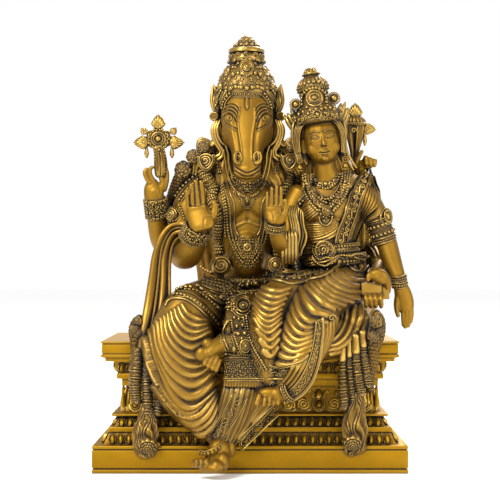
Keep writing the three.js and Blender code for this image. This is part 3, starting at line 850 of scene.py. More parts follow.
class StatueLook(bpy.types.PropertyGroup):
    """The colours and finish of the antique gold."""

    throne_gold: FloatVectorProperty(
        name="Throne gold", description="The gold of the throne", default=(0.275, 0.14, 0.0035),
        subtype="COLOR", min=0, max=1
    )
    cloth_gold: FloatVectorProperty(
        name="Cloth gold", description="The gold of cloth", default=(0.215, 0.112, 0.0125), subtype="COLOR",
        min=0, max=1
    )
    # A darker gold: partly the ornaments' own deeper tone, partly painted shade on pieces that lie in shade
    ornament_gold: FloatVectorProperty(
        name="Ornament gold", description="The gold of ornaments", default=(0.14, 0.073, 0.0095),
        subtype="COLOR", min=0, max=1
    )
    skin_gold: FloatVectorProperty(
        name="Skin gold", description="The duller gold of the skin", default=(0.21, 0.109, 0.0095),
        subtype="COLOR", min=0, max=1
    )
    # Bright gold of edges and crests: partly rubbing from handling, partly painted highlight
    worn_and_lit_gold: FloatVectorProperty(
        name="Worn gold", description="The bright gold of handled edges", default=(0.6, 0.39, 0.09),
        subtype="COLOR", min=0, max=1
    )
    # The dark colour of the painted shade in hollows and between parts, partly the real patina
    wash_and_shade_colour: FloatVectorProperty(
        name="Wash", description="The dark wash in the hollows", default=(0.007, 0.0045, 0.002),
        subtype="COLOR", min=0, max=1
    )
    roughness: FloatProperty(
        name="Roughness", description="Roughness of the gold", default=0.4, min=0, max=1, subtype="FACTOR"
    )
    # How far the painted highlight and rubbing reach in from the throne's edges
    edge_reach: FloatProperty(
        name="Edge reach", description="How far wear reaches in from an edge", default=1 * MM, unit="LENGTH",
        precision=5
    )
    # How far ambient occlusion reaches for the painted shade in hollows
    wash_and_shade_reach: FloatProperty(
        name="Hollow reach", description="How deep a hollow holds the wash", default=5 * MM, unit="LENGTH",
        precision=5
    )


class StatueStage(bpy.types.PropertyGroup):
    """The floor, the light and the camera."""

    floor_half: FloatProperty(
        name="Floor half width", description="Half the width of the floor", default=6.0, unit="LENGTH"
    )
    floor_colour: FloatVectorProperty(
        name="Floor", description="The floor's colour", default=(0.96, 0.96, 0.955), subtype="COLOR", min=0,
        max=1
    )
    key_power: FloatProperty(name="Key light", description="Power of the key light", default=34.0,
        unit="POWER")
    world_light: FloatProperty(name="Surroundings", description="Strength of the pale surroundings",
        default=1.0, min=0)
    lens: FloatProperty(name="Lens", description="Focal length of the camera", default=90.0,
        subtype="DISTANCE_CAMERA")


def finish(name):
    """The finish of that name, made the first time it is asked for."""
    look = bpy.context.scene.statue_look
    if name not in bpy.data.materials:
        antique_gold(name, list(getattr(look, name)), look)
    return bpy.data.materials[name]


# Share of the triangles that a smooth or busy piece keeps
KEEP = {
    "throne_carved": 0.55, "his_body": 0.3, "her_body": 0.4, "his_face": 0.6, "her_face": 0.55,
    "her_skirt": 0.36, "his_right_leg_cloth": 0.42,
    "his_left_leg_cloth": 0.45, "his_cape": 0.22, "stoles": 0.3, "tassels": 0.45, "his_sash": 0.45,
    "her_bodice": 0.5, "her_stole": 0.45,
    "her_belts": 0.5, "his_belts": 0.45, "his_bangles": 0.5, "her_bangles": 0.55, "his_garlands": 0.45,
    "his_feet": 0.5, "her_hair": 0.5,
    "her_left_hand_and_foot": 0.5, "his_right_hands": 0.5, "book_hand": 0.4, "his_left_rear_hand": 0.4,
    "her_raised_hand": 0.7,
    "seat_flowers": 0.5, "his_mane": 0.55, "conch": 0.4, "discus": 0.5, "her_lap_cloth": 0.5,
    "her_hem_fan": 0.4, "his_sash_ornaments": 0.7,
    "his_crown": 0.7, "his_chest_ornaments": 0.7, "her_necklaces": 0.75, "his_belt_drops": 0.6,
    "his_crown_front": 0.75,
}


def piece(name, shape, gold, node=FIGURES, crease=None):
    """A finished piece of the statue, in place of its part of the frame."""
    shape = joined(shape)
    if name in KEEP:
        shape = thinned(shape, KEEP[name])
    mesh = shape.mesh(name, MM)
    if crease:
        mesh.set_sharp_from_angle(angle=math.radians(crease))
    made = bpy.data.objects.new(name, mesh)
    bpy.context.scene.collection.objects.link(made)
    made.data.materials.append(finish(gold))
    bpy.context.view_layer.update()
    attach(made, BODY)
    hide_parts(node)
    return made


# Laying ornaments where the viewer sees them

UNITS = {
    "bead": lambda: bead(8),
    "grain": lambda: bead(6),
    "stud": lambda: dome(STUD, 10),
    "boss": lambda: dome(BOSS, 16),
    "target": lambda: dome(TARGET, 22),
    "ring": lambda: ring(0.34, 14),
    "curl": lambda: spiral(1.25, 0.2, 26, 6),
    "rose": lambda: rosette(),
    "bloom": lambda: blossom(6, 3, 26),
    "daisy": lambda: dome(DAISY, 24, 6, 0.35),
    "drop": lambda: drop(8),
    "leaf": lambda: leaf(),
    "bar": lambda: scaled(bead(8), 1.0, 0.5, 0.6),
}


# Share of the triangles that a fine ornament keeps
KEPT_OF = {"bead": 0.75, "stud": 0.6, "boss": 0.6, "target": 0.5, "ring": 0.6, "curl": 0.5, "rose": 0.35,
    "bloom": 0.42, "daisy": 0.5, "leaf": 0.35}


def rosette():
    """A rounded cord coiled into a rosette, on a shallow dome."""
    base = turned([(0, -0.3), (0.96, -0.3), (0.96, 0.0), (0.6, 0.22), (0.3, 0.34), (0, 0.4)], around=24)
    coil = [
        [r * math.cos(a), r * math.sin(a), 0.42 - 0.36 * r, 0.13]
        for a, r in zip(np.linspace(0, TURN * 2.6, 64), np.linspace(0.88, 0.1, 64))
    ]
    return joined(base, sleeve(coil, 6, 70, UP), blob((0, 0, 0.4), (0.13, 0.13, 0.16), fine=6))


class Jeweller:
    """Collects ornaments laid on the surfaces of the objects named, at places drawn in the picture."""

    made = {}

    def __init__(self, *names):
        self.ground = Ground(*names)
        self.shapes = []

    @classmethod
    def unit(cls, name):
        if name not in cls.made:
            shape = UNITS[name]()
            cls.made[name] = thinned(shape, KEPT_OF[name]) if name in KEPT_OF else shape
        return cls.made[name]

    def put(self, name, size, *pixels, up=UP, lift=0.0):
        """The ornament at each of the pixels."""
        self.shapes.append(set_on(self.ground, self.unit(name), pixels, size, up, lift))

    def row(self, name, size, pitch, line, lift=0.0, closed=False, spin=0.0):
        """The ornament again and again along a line, pitch millimetres apart."""
        self.shapes.append(strung(self.ground, self.unit(name), line, pitch, size, lift, closed, spin))

    def cord(self, radius, *lines, lift=None, closed=False):
        for line in lines:
            self.shapes.append(corded(self.ground, line, radius, lift, closed))

    def garland(self, name, size, radius, line, pitch, around=7, lift=0.0, arc=1.0):
        """A thick string of ornaments along a line: they sit all round a core."""
        points, normals = self.ground.trace(line, 24, False, lift)
        self.shapes.append(wreath(self.unit(name), size, radius, points, pitch, around, normals.mean(0), arc))

    def field(self, name, size, pitch, corners, rows, lift=0.0):
        """Rows of the ornament between the first and the last of two lines."""
        first, last = (np.array(line, float) for line in corners)
        for i in range(rows):
            share = i / max(1, rows - 1)
            self.row(name, size, pitch, [tuple(spot) for spot in first + (last - first) * share], lift)

    def strewn(self, rng, name, size, pitch, corners, rows, shake, lift):
        """A rough ground between two lines: small ornaments moved, turned, sized and raised by chance."""
        first, last = (np.array(line, float) for line in corners)
        for i in range(rows):
            way = Way([tuple(spot) for spot in first + (last - first) * (i / max(1, rows - 1))], places=2)
            count = max(1, round(way.length / pitch))
            for k in range(count):
                spot = way.at(way.evenly((k + 0.5) / count)) + rng.uniform(-shake, shake, 2)
                turn, grow = rng.uniform(0, math.pi), rng.uniform(0.75, 1.25)
                up = (math.sin(turn), 0, math.cos(turn))
                self.put(name, tuple(side * grow for side in size), tuple(spot), up=up,
                    lift=rng.uniform(0, lift))

    def scrolls(self, left, right, pitch, thick=0.45, lift=0.3, studs=0.6):
        """S-scrolls head to tail between two lines drawn in the picture, with studs in their curls."""
        ways = [Way(line, places=2) for line in (left, right)]
        run = (ways[0].length + ways[1].length) / 2
        count = max(1, round(run / pitch))
        for i in range(count):
            start, end = (
                np.array([way.at(way.evenly(share)) for way in ways])
                for share in (i / count, (i + 1) / count)
            )
            middle = (start + end).sum(0) / 4
            on, side = (end - start).sum(0) / 2, (start[1] - start[0] + end[1] - end[0]) / 2
            if i % 2:
                side = -side
            path = [
                (0.3, 0.1), (0.22, 0.02), (0.12, 0.12), (0.16, 0.3), (0.34, 0.34), (0.46, 0.16),
                (0.36, -0.12), (0.0, 0.0),
            ]
            points = [middle + on * a + side * b for a, b in path]
            points += [middle - on * a - side * b for a, b in path[-2::-1]]
            self.cord(thick, [tuple(point) for point in points], lift=lift)
            for sign in (-1, 1):
                self.put("stud", studs, tuple(middle + sign * (on * 0.24 + side * 0.16)), lift=lift)
                self.put("stud", studs * 0.8, tuple(middle + sign * (on * 0.3 - side * 0.3)), lift=lift)

    def lay(self, steps):
        """Follows a table of steps, each the way of laying, then what it takes."""
        for way, *given in steps:
            options = given.pop() if isinstance(given[-1], dict) else {}
            getattr(self, way)(*given, **options)

    def piece(self, name, gold="ornament_gold", crease=None, extra=()):
        made = piece(name, [self.shapes, list(extra)], gold, crease=crease)
        self.shapes = []
        return made


def laid(ground, left, right, across=40, along=60, lift=1.0, relief=None, thick=1.6, even=4, foremost=-94.6):
    """A sheet of cloth on the ground between two lines drawn in the picture. relief(u, v) raises it."""
    u, v = np.linspace(0, 1, across + 1), np.linspace(0, 1, along + 1)
    ends = [way.at(way.evenly(v)) for way in (Way(left, places=2), Way(right, places=2))]
    spots = ends[0][:, None] + (ends[1] - ends[0])[:, None] * u[None, :, None]
    depths = np.array([[ground.seen(tuple(spot))[0][1] for spot in row] for row in spots])
    for _ in range(even):
        for _ in range(2):
            padded = np.pad(depths, ((1, 1), (0, 0)), "edge")
            depths = ((padded[:-2] + 2 * padded[1:-1] + padded[2:]) / 4).T
    depths = depths - lift
    if relief:
        grid = np.meshgrid(u, v)
        depths = depths - relief(grid[0], grid[1])
    depths = np.maximum(depths, foremost)

    def place(across_share, along_share):
        i, k = (along_share * along).round().astype(int), (across_share * across).round().astype(int)
        return np.array([sight(spot, depth) for spot, depth in zip(spots[i, k], depths[i, k])])

    return thick_sheet(across, along, place, thick)


def pleats(count, deep=0.7, power=0.6):
    """A relief of folds side by side across a sheet."""
    return lambda u, v: deep * np.abs(np.sin(math.pi * (count * u))) ** power


def wreath(shape, size, radius, points, pitch, around=7, front=FRONT, arc=1.0):
    """A core along free points with a shape set all round it, each ring turned half a step."""
    radii = np.broadcast_to(radius, len(points))
    way = Way([[*point, r] for point, r in zip(points, radii)])
    count = max(2, int(way.length / pitch))
    shares = way.evenly((np.arange(count) + 0.5) / count)
    rows, ahead = way.at(shares), way.along(shares)
    facing = unit(np.broadcast_to(unit(front), ahead.shape) - np.sum(ahead * unit(front), axis=1,
        keepdims=True) * ahead)
    aside = np.cross(ahead, facing)
    turns = []
    for k in range(around):
        angle = (TURN * (k + 0.5 * (np.arange(count) % 2)) / around)[:, None]
        angle = (angle - TURN / 2) * arc
        out = facing * np.cos(angle) + aside * np.sin(angle)
        turns.append(seats(rows[:, :3] + out * rows[:, 3:4] * 0.8, out, ahead,
            np.tile([size] * 3, (count, 1))))
    core = sleeve(Way(wide([[*row[:3], row[3] * 0.85] for row in rows])), 10, max(8, count), front)
    return joined(core, shape.copies(np.concatenate(turns)))


def band(at, tilt, radius, tall, rows, flat_by=1.0, rims=0.45, around=36):
    """A bangle round a limb: two rims and rows of ornaments, each [unit, size, height share, count]."""
    half = tall / 2
    profile = [
        (radius - 1.2, -half), (radius + rims, -half), (radius + rims, -half + rims),
        (radius, -half + rims * 1.6),
        (radius, half - rims * 1.6), (radius + rims, half - rims), (radius + rims, half),
        (radius - 1.2, half),
    ]
    shapes = [turned(profile + profile[:1], around=around)]
    for unit_name, size, share, count in rows:
        shape = scaled(Jeweller.unit(unit_name), *np.atleast_1d(size))
        shapes.append(shape.copies(round_the((0, 0, 0), radius + 0.1, share * half, count, 0.13)))
    whole = joined(shapes)
    whole.points = whole.points * np.array([1, flat_by, 1])
    whole.points = moved(whole.points, at, tilt)
    return whole


def belt(path, tall, thick, rows, steps=90):
    """A closed strap along a path of places, with rows of [unit, size, height share, count]."""
    way = Way([list(place) for place in path], closed=True)
    shares = way.evenly(np.linspace(0, 1, steps, endpoint=False))
    places, ahead = way.at(shares), way.along(shares)
    out = unit(np.cross(ahead, np.array([0, 0, 1.0])))
    middle = places.mean(0)
    out = out * np.sign(np.sum(out * (places - middle), axis=1).mean())

    def place(u, v):
        k = (u * steps).round().astype(int) % steps
        angle = TURN * v
        side = np.sign(np.cos(angle)) * np.abs(np.cos(angle)) ** 0.4
        rise = np.sign(np.sin(angle)) * np.abs(np.sin(angle)) ** 0.4
        outward = out[k] * (side * thick / 2)[:, None]
        return places[k] + outward + np.array([0, 0, 1.0]) * (rise * tall / 2)[:, None]

    shapes = [woven(steps, 12, place)]
    for unit_name, size, share, count in rows:
        shape = Jeweller.unit(unit_name)
        at = way.evenly(np.linspace(0, 1, count, endpoint=False))
        spots, along = way.at(at), way.along(at)
        outward = unit(np.cross(along, np.array([0, 0, 1.0])))
        outward = outward * np.sign(np.sum(outward * (spots - middle), axis=1).mean())
        spots = spots + outward * thick / 2 + np.array([0, 0, share * tall / 2])
        sizes = [size] * 3 if np.isscalar(size) else size
        shapes.append(shape.copies(seats(spots, outward, np.array([0, 0, 1.0]), np.tile(sizes, (count, 1)))))
    return joined(shapes)


# The throne

SIDE_TO_FRONT = 44.2
SEAT_TOP = 88.0
# Half width and height of each corner of the throne's section, from the floor up
COURSES = [
    (105.6, 0.0), (105.6, 2.6), (104.3, 2.9), (104.3, 3.5), (105.6, 3.8), (105.6, 15.5), (104.5, 15.8),
    (104.5, 16.2), (105.6, 16.5),
    (105.6, 18.5), (99.2, 18.5), (98.4, 19.2), (96.6, 22.0), (95.4, 25.4), (94.6, 26.0), (94.6, 26.4),
    (95.8, 26.5), (95.8, 29.8),
    (92.4, 29.8), (91.4, 30.8), (90.0, 33.4), (89.2, 35.4), (88.2, 36.0), (93.9, 37.2), (93.9, 38.4),
    (91.7, 39.4), (88.2, 39.8), (87.4, 42.4), (85.6, 47.0), (83.6, 52.0), (83.4, 56.9), (87.3, 56.9),
    (87.3, 61.9),
    (90.6, 61.9), (90.6, 65.8), (89.4, 65.8), (89.4, 66.4), (90.6, 69.0), (91.6, 72.4), (92.6, 73.4),
    (92.6, 74.2), (97.5, 74.2),
    (97.5, 76.6), (98.9, 76.8), (98.9, 77.2), (100.3, 77.3), (100.3, 79.0), (99.2, 79.3), (99.2, 79.8),
    (99.7, 80.1), (99.7, 85.8),
    (99.2, 86.0), (99.2, 86.4), (100.3, 86.6), (100.3, SEAT_TOP),
]
# Rows of eggs: half width of the wall behind them, lowest and highest point, how much the wall leans back
EGG_ROWS = [(97.4, 18.5, 26.0, 0.42), (90.8, 29.8, 36.0, 0.5), (90.4, 65.9, 72.7, -0.32)]
SCROLL_HALF_WIDTH = 86.4
SCROLL_HEIGHT = 44.6
SCROLL_PITCH = 10.4
SCROLL_RADIUS = 4.6


def throne_block(edge):
    """The stepped block: each course is drawn up from the one below it, and every edge is rounded."""
    bm = bmesh.new()
    half, height = COURSES[0]
    signs = [(-1, -1), (1, -1), (1, 1), (-1, 1)]
    corners = [bm.verts.new((x * half, y * (half - SIDE_TO_FRONT), height)) for x, y in signs]
    top = bm.faces.new(corners)
    for i, (half, height) in enumerate(COURSES[1:]):
        below = top
        made = bmesh.ops.extrude_face_region(bm, geom=[top], use_keep_orig=True)
        raised = [item for item in made["geom"] if isinstance(item, bmesh.types.BMVert)]
        for corner in raised:
            x, y = math.copysign(half, corner.co.x), math.copysign(half - SIDE_TO_FRONT, corner.co.y)
            corner.co = (x, y, height)
        top = next(item for item in made["geom"] if isinstance(item, bmesh.types.BMFace))
        if i:
            bmesh.ops.delete(bm, geom=[below], context="FACES_ONLY")
    bmesh.ops.recalc_face_normals(bm, faces=bm.faces)
    bmesh.ops.bevel(
        bm, geom=bm.edges, offset=edge, offset_type="OFFSET", segments=2, profile=0.5, material=-1,
        affect="EDGES"
    )
    return Shape.of_bmesh(bm)


def along_sides(half, height, pitch, margin=0.0):
    """Matrices that set copies upright along the four sides of a course, their Z outwards."""
    turns = []
    for side in range(4):
        angle = side * math.pi / 2
        wall, reach = (half - SIDE_TO_FRONT, half) if side % 2 == 0 else (half, half - SIDE_TO_FRONT)
        count = max(1, int((2 * reach - margin) / pitch))
        out = np.array([math.sin(angle), -math.cos(angle), 0])
        across = np.array([math.cos(angle), math.sin(angle), 0])
        for i in range(count):
            turn = np.eye(4)
            turn[:3, 0], turn[:3, 1], turn[:3, 2] = across, UP, out
            turn[:3, 3] = out * wall + across * (i - (count - 1) / 2) * pitch + np.array([0, 0, height])
            turns.append(turn)
    return turns


def egg_and_dart(pitch, tall):
    """One egg in its shell, with a dart beside it, standing on the XY plane."""
    egg = blob((0, -0.01 * tall, 0.3), (pitch * 0.33, tall * 0.48, 2.6), fine=12)
    lip = np.linspace(-0.75, math.pi + 0.75, 13)
    shell = sleeve(
        [[pitch * 0.44 * math.cos(a), tall * (0.01 + 0.46 * math.sin(a)), 1.0, 0.36, 1.0] for a in lip], 6,
        13, UP, cap=0.06
    )
    return thinned(joined(egg, shell), 0.5)


def leaning(shape, lean):
    """The shape sheared so that it leans back with its wall."""
    return Shape(shape.points - shape.points[:, 1:2] * np.array([0, 0, lean]), shape.corners, shape.sizes)


def volute(hand):
    """A scroll that coils on a disc, with a leaf that curls out above it, to the right or the left."""
    disc = turned([(0, -0.5), (0.98, -0.5), (0.98, 0.02), (0.9, 0.1), (0, 0.1)], around=24)
    coil = [
        [r * math.cos(a), r * math.sin(a), 0.16, 0.22, 0.3]
        for a, r in zip(np.linspace(-0.6, TURN * 1.9, 60), np.linspace(0.9, 0.16, 60))
    ]
    sprout = [
        [0.9, 0.5, 0.1, 0.18], [1.04, 1.1, 0.15, 0.26], [0.84, 1.6, 0.2, 0.3], [0.42, 1.74, 0.25, 0.24],
        [0.36, 1.36, 0.25, 0.14],
    ]
    low = [
        [-1.0, -0.7, 0.05, 0.16], [-0.3, -1.1, 0.1, 0.22], [0.5, -1.08, 0.1, 0.22], [1.1, -0.8, 0.05, 0.15],
    ]
    grown = [
        sleeve([[hand * row[0], *row[1:]] for row in rows], around, along, UP)
        for rows, around, along in ((coil, 6, 66), (sprout, 8, 22), (low, 6, 16))
    ]
    return thinned(joined(disc, grown, blob((0, 0, 0.15), (0.2, 0.2, 0.3), fine=8)), 0.5)


def palmette():
    """A concentric oval with a leaf above it."""
    rings = [turned(TARGET, around=18)]
    for shape in rings:
        shape.points = shape.points * np.array([1.0, 1.14, 1.6])
    crown = sleeve([[0, 0.9, 0.1, 0.3, 0.4], [0, 1.36, 0.25, 0.56, 0.6], [0, 1.86, 0.25, 0.42, 0.5],
        [0, 2.34, 0.1, 0.14, 0.2]], 10, 16, UP)
    wings = [
        sleeve([[s * 0.7, 0.8, 0.1, 0.16], [s * 0.86, 1.5, 0.2, 0.25], [s * 1.16, 1.96, 0.25, 0.25],
            [s * 1.46, 1.66, 0.2, 0.14]], 6, 14, UP)
        for s in (-1, 1)
    ]
    return joined(rings, crown, wings)


def corner_flute(corner, signs, wall, k):
    """One flute of the leaf that wraps a corner of the frieze: it hangs, swells and turns out at the foot."""
    rows = []
    for height, back, out, radius in ((56.6, 0.2, -1.6, 0.8), (53.0, 0.6, -0.4, 1.2), (49.0, 0.8, 0.8, 1.45),
            (45.4, 0.2, 1.9, 1.5), (42.2, 1.2, 1.6, 1.3), (40.0, 3.0, 2.4, 1.1)):
        along = back * (0.4 + 0.3 * k) + 2.1 * k + (1.5 if wall and not k else 0.0) - (1.4 if k == 0 else 0.0)
        place = np.array([0.0, 0.0, height])
        place[wall] = corner[wall] - signs[wall] * along
        place[1 - wall] = corner[1 - wall] + signs[1 - wall] * out
        rows.append([*place, radius * (1.15 if k == 0 else 0.9)])
    front = [0, 0, 0]
    front[1 - wall] = signs[1 - wall]
    return sleeve(rows, 8, 22, front)


def build_throne(sizes):
    shapes = [throne_block(sizes.edge_round / MM)]
    pitch = sizes.egg_pitch / MM
    for half, low, high, lean in EGG_ROWS:
        egg = leaning(egg_and_dart(pitch, high - low), lean)
        shapes.append(egg.copies(along_sides(half, (low + high) / 2, pitch, 1.5)))
    turns = along_sides(SCROLL_HALF_WIDTH, SCROLL_HEIGHT, SCROLL_PITCH, 6.0)
    lean = 0.4
    for kind, shape in enumerate((palmette(), volute(1), volute(-1))):
        chosen = [turn for k, turn in enumerate(turns) if k % 3 == kind]
        shapes.append(leaning(scaled(shape, SCROLL_RADIUS, SCROLL_RADIUS, 3.0), lean).copies(chosen))
    leaves = []
    for x_side in (-1, 1):
        for y_side in (-1, 1):
            corner = np.array([x_side * 85.2, y_side * (85.2 - SIDE_TO_FRONT)])
            for wall in (0, 1):
                for k in range(6):
                    leaves.append(corner_flute(corner, (x_side, y_side), wall, k))
    shapes.append(leaves)
    return piece("throne_carved", shapes, "throne_gold", THRONE, crease=35)


# The lord's body

HIS_TORSO = [
    (86, -2, 8, 28, 23), (108, -2, 8, 28, 22), (124, -2, 8, 19, 16), (133, -2, 7, 16.5, 15.5),
    (146, -2, 7, 17.5, 16),
    (160, -2, 7, 21.5, 17), (172, -2, 7, 27, 18), (184, -2, 7, 32, 17), (193, -2, 7, 33, 14.5),
    (200, -2, 7, 25, 12.5),
    (207, -2, 5, 13, 12), (220, -2, 3, 12.5, 12), (236, -2, 3, 12, 12),
]
HIS_RIGHT_ARM = [
    (-33, 5, 192, 12.5), (-42, 2, 183, 12.5), (-47, -2, 168, 10.2), (-49.5, -10, 152, 9.6),
    (-46, -22, 145.5, 9.6),
    (-41, -31, 149, 9.4), (-37.5, -37.5, 157, 8.0), (-35.5, -41.5, 165, 6.6), (-34.6, -43.6, 170, 6.4),
]
HIS_RIGHT_REAR_ARM = [
    (-36, 14, 189, 11), (-50, 13.5, 172, 8.6), (-60, 11, 155, 8.2), (-63.5, 6, 157, 8), (-65.5, 1, 167, 7.6),
    (-67, -4, 182, 6.8), (-67.8, -6.6, 193, 6),
]
HIS_LEFT_REAR_ARM = [(32, 13, 186, 9), (56, 24, 178, 8.5), (74, 20, 184, 8), (79, 13, 200, 6.4)]
HIS_LEFT_ARM = [
    (32, 12, 182, 9), (60, 26, 160, 9), (88, 18, 148, 8.4), (93, 0, 139, 7), (91, -14, 135, 6),
    (88, -22, 132, 5.4),
]
HIS_CHEST_STROKES_PX = [
    (-1.5, 2.2, [(247.4, 203), (247.4, 212), (247.4, 219.6)]),
    (-0.7, 1.8, [(234.5, 224), (240, 222), (247.4, 219.4), (254, 221.8), (261, 224)]),
    (-0.6, 1.5, [(236, 228.4), (242, 225.6), (247.4, 223.6), (253, 225.6), (259, 228)]),
    (0.5, 2.4, [(236.5, 226), (242, 223.6), (247.4, 221.4), (253, 223.6), (259, 226)]),
]
HIS_FOOT = [
    (-15, -66, 21, 6.4), (-18.5, -74, 16.5, 7.4, 6.4), (-22.5, -81.5, 11.5, 8.4, 5.2),
    (-25.5, -86, 9, 9.6, 3.8),
]
HIS_TOES = [(-21.8, -87.6, 9.3, 3.8, 4.8, 4.5), (-28.0, -87.4, 10.8, 2.4, 4.4, 3.9),
    (-31.6, -86.6, 11.4, 1.8, 4.0, 3.5),
            (-34.6, -85.6, 11.2, 1.7, 3.8, 3.2), (-36.6, -84.0, 10.6, 1.4, 3.2, 2.6),
            (-17.6, -82.5, 11.6, 4.4, 6.0, 6.2)]
HIS_HEEL = (-12.8, -72.0, 18.6)
HIS_LEFT_FOOT = [
    (-14, -77.5, 88.5, 5.4), (-20, -80.6, 86.8, 6.2, 5.6), (-25, -83.0, 84.4, 7.0, 4.8),
    (-28.4, -84.6, 82.2, 6.6, 4.0),
]
HIS_LEFT_BIG_TOE = (-31.4, -86.6, 81.6, 4.1, 3.4, 4.6)
HIS_LEFT_TOES_PX = [
    [(211.0, 351.0, -86.0), (208.0, 356.5, -87.6), (204.6, 363.4, -88.0)],
    [(214.6, 353.0, -86.0), (211.6, 359.0, -87.6), (208.4, 366.2, -88.0)],
    [(217.6, 356.6, -85.6), (215.2, 362.0, -87.2), (212.6, 368.4, -87.6)],
    [(220.2, 360.2, -85.0), (218.6, 364.8, -86.6), (216.4, 369.8, -87.0)],
]


def toes(rows, tilt=(0, 0, 0)):
    return [blob(row[:3], row[3:], tilt, fine=16) for row in rows]


def toes_px(lines, radius):
    """Toes along lines drawn in the picture, each [x, y, depth], with round tips."""
    shapes = []
    for line in lines:
        places = [sight(spot[:2], spot[2]) for spot in line]
        shapes.append(swept(places, [radius * 0.95] * len(places), 10, 0.8))
        shapes.append(blob(places[-1], (radius * 1.1, radius * 1.2, radius * 1.2), fine=14))
    return shapes


def his_body(sizes):
    arms = [
        sleeve(path, 24, 50) for path in (HIS_RIGHT_ARM, HIS_RIGHT_REAR_ARM, HIS_LEFT_REAR_ARM, HIS_LEFT_ARM)
    ]
    chest = [blob((-2 + s * 11, -6.5, 183), (12.5, 9.0, 12)) for s in (-1, 1)]
    belly = blob((-2, -5.0, 147), (13.5, 11.5, 18))
    skin = melted([stack(HIS_TORSO), chest, belly, arms], sizes.skin_cell / MM, 4)
    skin = engraved(skin, HIS_CHEST_STROKES_PX, lambda points: points[:, 1] > -32)
    return piece("his_body", skin, "skin_gold")


def his_feet(sizes):
    cell = sizes.hand_cell / MM
    right = melted([sleeve(HIS_FOOT, 24, 30, UP), toes(HIS_TOES), blob(HIS_HEEL, (4.0, 6.0, 6.4)),
        blob((-20, -76, 18), (7.6, 7, 8))], cell, 3)
    ankle = blob((-28.0, -83.0, 88.4), (3.4, 3.4, 3.2))
    left = [sleeve(HIS_LEFT_FOOT, 20, 26, UP), toes([HIS_LEFT_BIG_TOE], (0, 0.3, 0)), ankle]
    left = melted(left + toes_px(HIS_LEFT_TOES_PX, 1.35), cell, 2)
    nails = [
        (-0.35, 0.8, [(px - 1.9, 464.8), (px - 1.4, 461.6), (px, 460.4), (px + 1.4, 461.6),
            (px + 1.9, 464.8)])
        for px in (216.3, 206.9, 201.3, 196.7)
    ]
    right = engraved(right, nails)
    drops = Jeweller.unit("drop")
    line = Way([sight(spot, depth) for spot, depth in (((199.4, 452.6), -80), ((205.0, 454.0), -84),
        ((210.6, 452.6), -86), ((216.4, 449.4), -84.6), ((221.6, 445.0), -81), ((225.0, 441.0), -77))])
    at = line.at(line.evenly(np.linspace(0, 1, 10)))
    anklet = drops.copies(seats(at, np.tile(FRONT, (10, 1)), UP, np.tile([1.5, 1.7, 1.5], (10, 1))))
    rope = sleeve([[*place, 0.8] for place in at + np.array([0, 0.6, 1.6])], 8, 30)
    return piece("his_feet", [right, left, anklet, rope], "skin_gold")


# Hands. The open ones are drawn in the picture: rows of [x, y, half width] in pixels

HIS_OPEN_HAND_PX = [
    [(188.2, 207, 2.2), (187.2, 198, 2.4), (186.7, 191.2, 2.2)],
    [(193.0, 207, 2.4), (191.9, 194, 2.6), (191.3, 185.2, 2.4)],
    [(198.2, 207, 2.6), (196.6, 192, 2.8), (195.7, 181.6, 2.6)],
    [(203.4, 207, 2.7), (202.0, 192, 2.9), (201.0, 182.2, 2.6)],
    [(208, 222, 5.6), (213.4, 214.6, 4.4), (215.0, 207, 3.2), (213.6, 201.4, 2.4)],
]
HIS_OPEN_PALM_PX = [
    (196.2, 206.5, 10.0), (197.8, 212, 11.6), (200.4, 219, 12.9, -46.4), (202.6, 225, 12.4, -48.4),
    (203.6, 229.4, 9.8, -49.6),
]
HER_OPEN_HAND_PX = [
    [(267.2, 208, 1.9), (267.1, 200, 1.95), (267.3, 192.4, 1.6)],
    [(271.8, 208, 2.0), (271.6, 198, 2.0), (271.8, 188.2, 1.75)],
    [(276.4, 208, 2.05), (276.5, 197, 2.05), (276.6, 186.4, 1.75)],
    [(280.9, 208, 2.0), (280.9, 198, 2.0), (281.0, 187.8, 1.75)],
    [(280.8, 219, 4.4), (284.9, 213, 3.3), (286.0, 206, 2.4), (285.3, 199.8, 2.0)],
]
HER_OPEN_PALM_PX = [
    (274.0, 206.5, 9.0), (275.0, 212, 10.4), (276.0, 217.0, 10.2, -47.4), (276.0, 221.0, 8.6, -48.8),
    (275.8, 223.6, 6.0, -49.6),
]
HIS_REAR_HAND_PX = [
    [(150.0, 183, 2.6), (146.4, 177.6, 2.4), (145.0, 172.4, 2.3), (147.0, 168.6, 1.8)],
    [(153.4, 181, 2.5), (150.4, 175, 2.3), (149.8, 170, 2.2), (152.4, 166.8, 1.7)],
    [(160.4, 192, 3.4), (162.6, 184, 3.0), (161.0, 177, 2.6), (158.0, 171.6, 2.3), (155.4, 167.0, 1.8)],
    [(164.0, 190, 3.0), (166.4, 181, 2.7), (166.8, 173, 2.4), (165.6, 167.0, 2.0)],
]
HIS_REAR_PALM_PX = [(154.6, 202, 9.4), (154.0, 195, 10.0), (152.8, 188, 9.0), (152.0, 182, 6.0)]


def open_hand(palm, fingers, depth, cell):
    """A raised hand, its palm to the viewer."""
    shapes = [sleeve(in_view(depth, palm, 0.42), 30, 30, tips=(0.25, 0.2))]
    shapes += [sleeve(in_view(depth - 0.6, rows), 16, 26, tips=(0.6, 0.9)) for rows in fingers[:-1]]
    shapes.append(sleeve(in_view(depth - 1.4, fingers[-1], 0.8), 18, 26))
    swell = palm[2][2] * 0.68
    root = fingers[-1][0]
    shapes.append(blob(sight((root[0] - 0.4, root[1] + 0.5), depth - 0.16 * swell),
        (0.46 * swell, 0.36 * swell, 0.56 * swell), fine=18))
    heel = (palm[2][0] - 0.5 * palm[2][2], palm[2][1] + 0.1 * palm[2][2])
    shapes.append(blob(sight(heel, depth - 0.14 * swell), (0.36 * swell, 0.32 * swell, 0.62 * swell),
        fine=18))
    return melted(shapes, cell, 1)


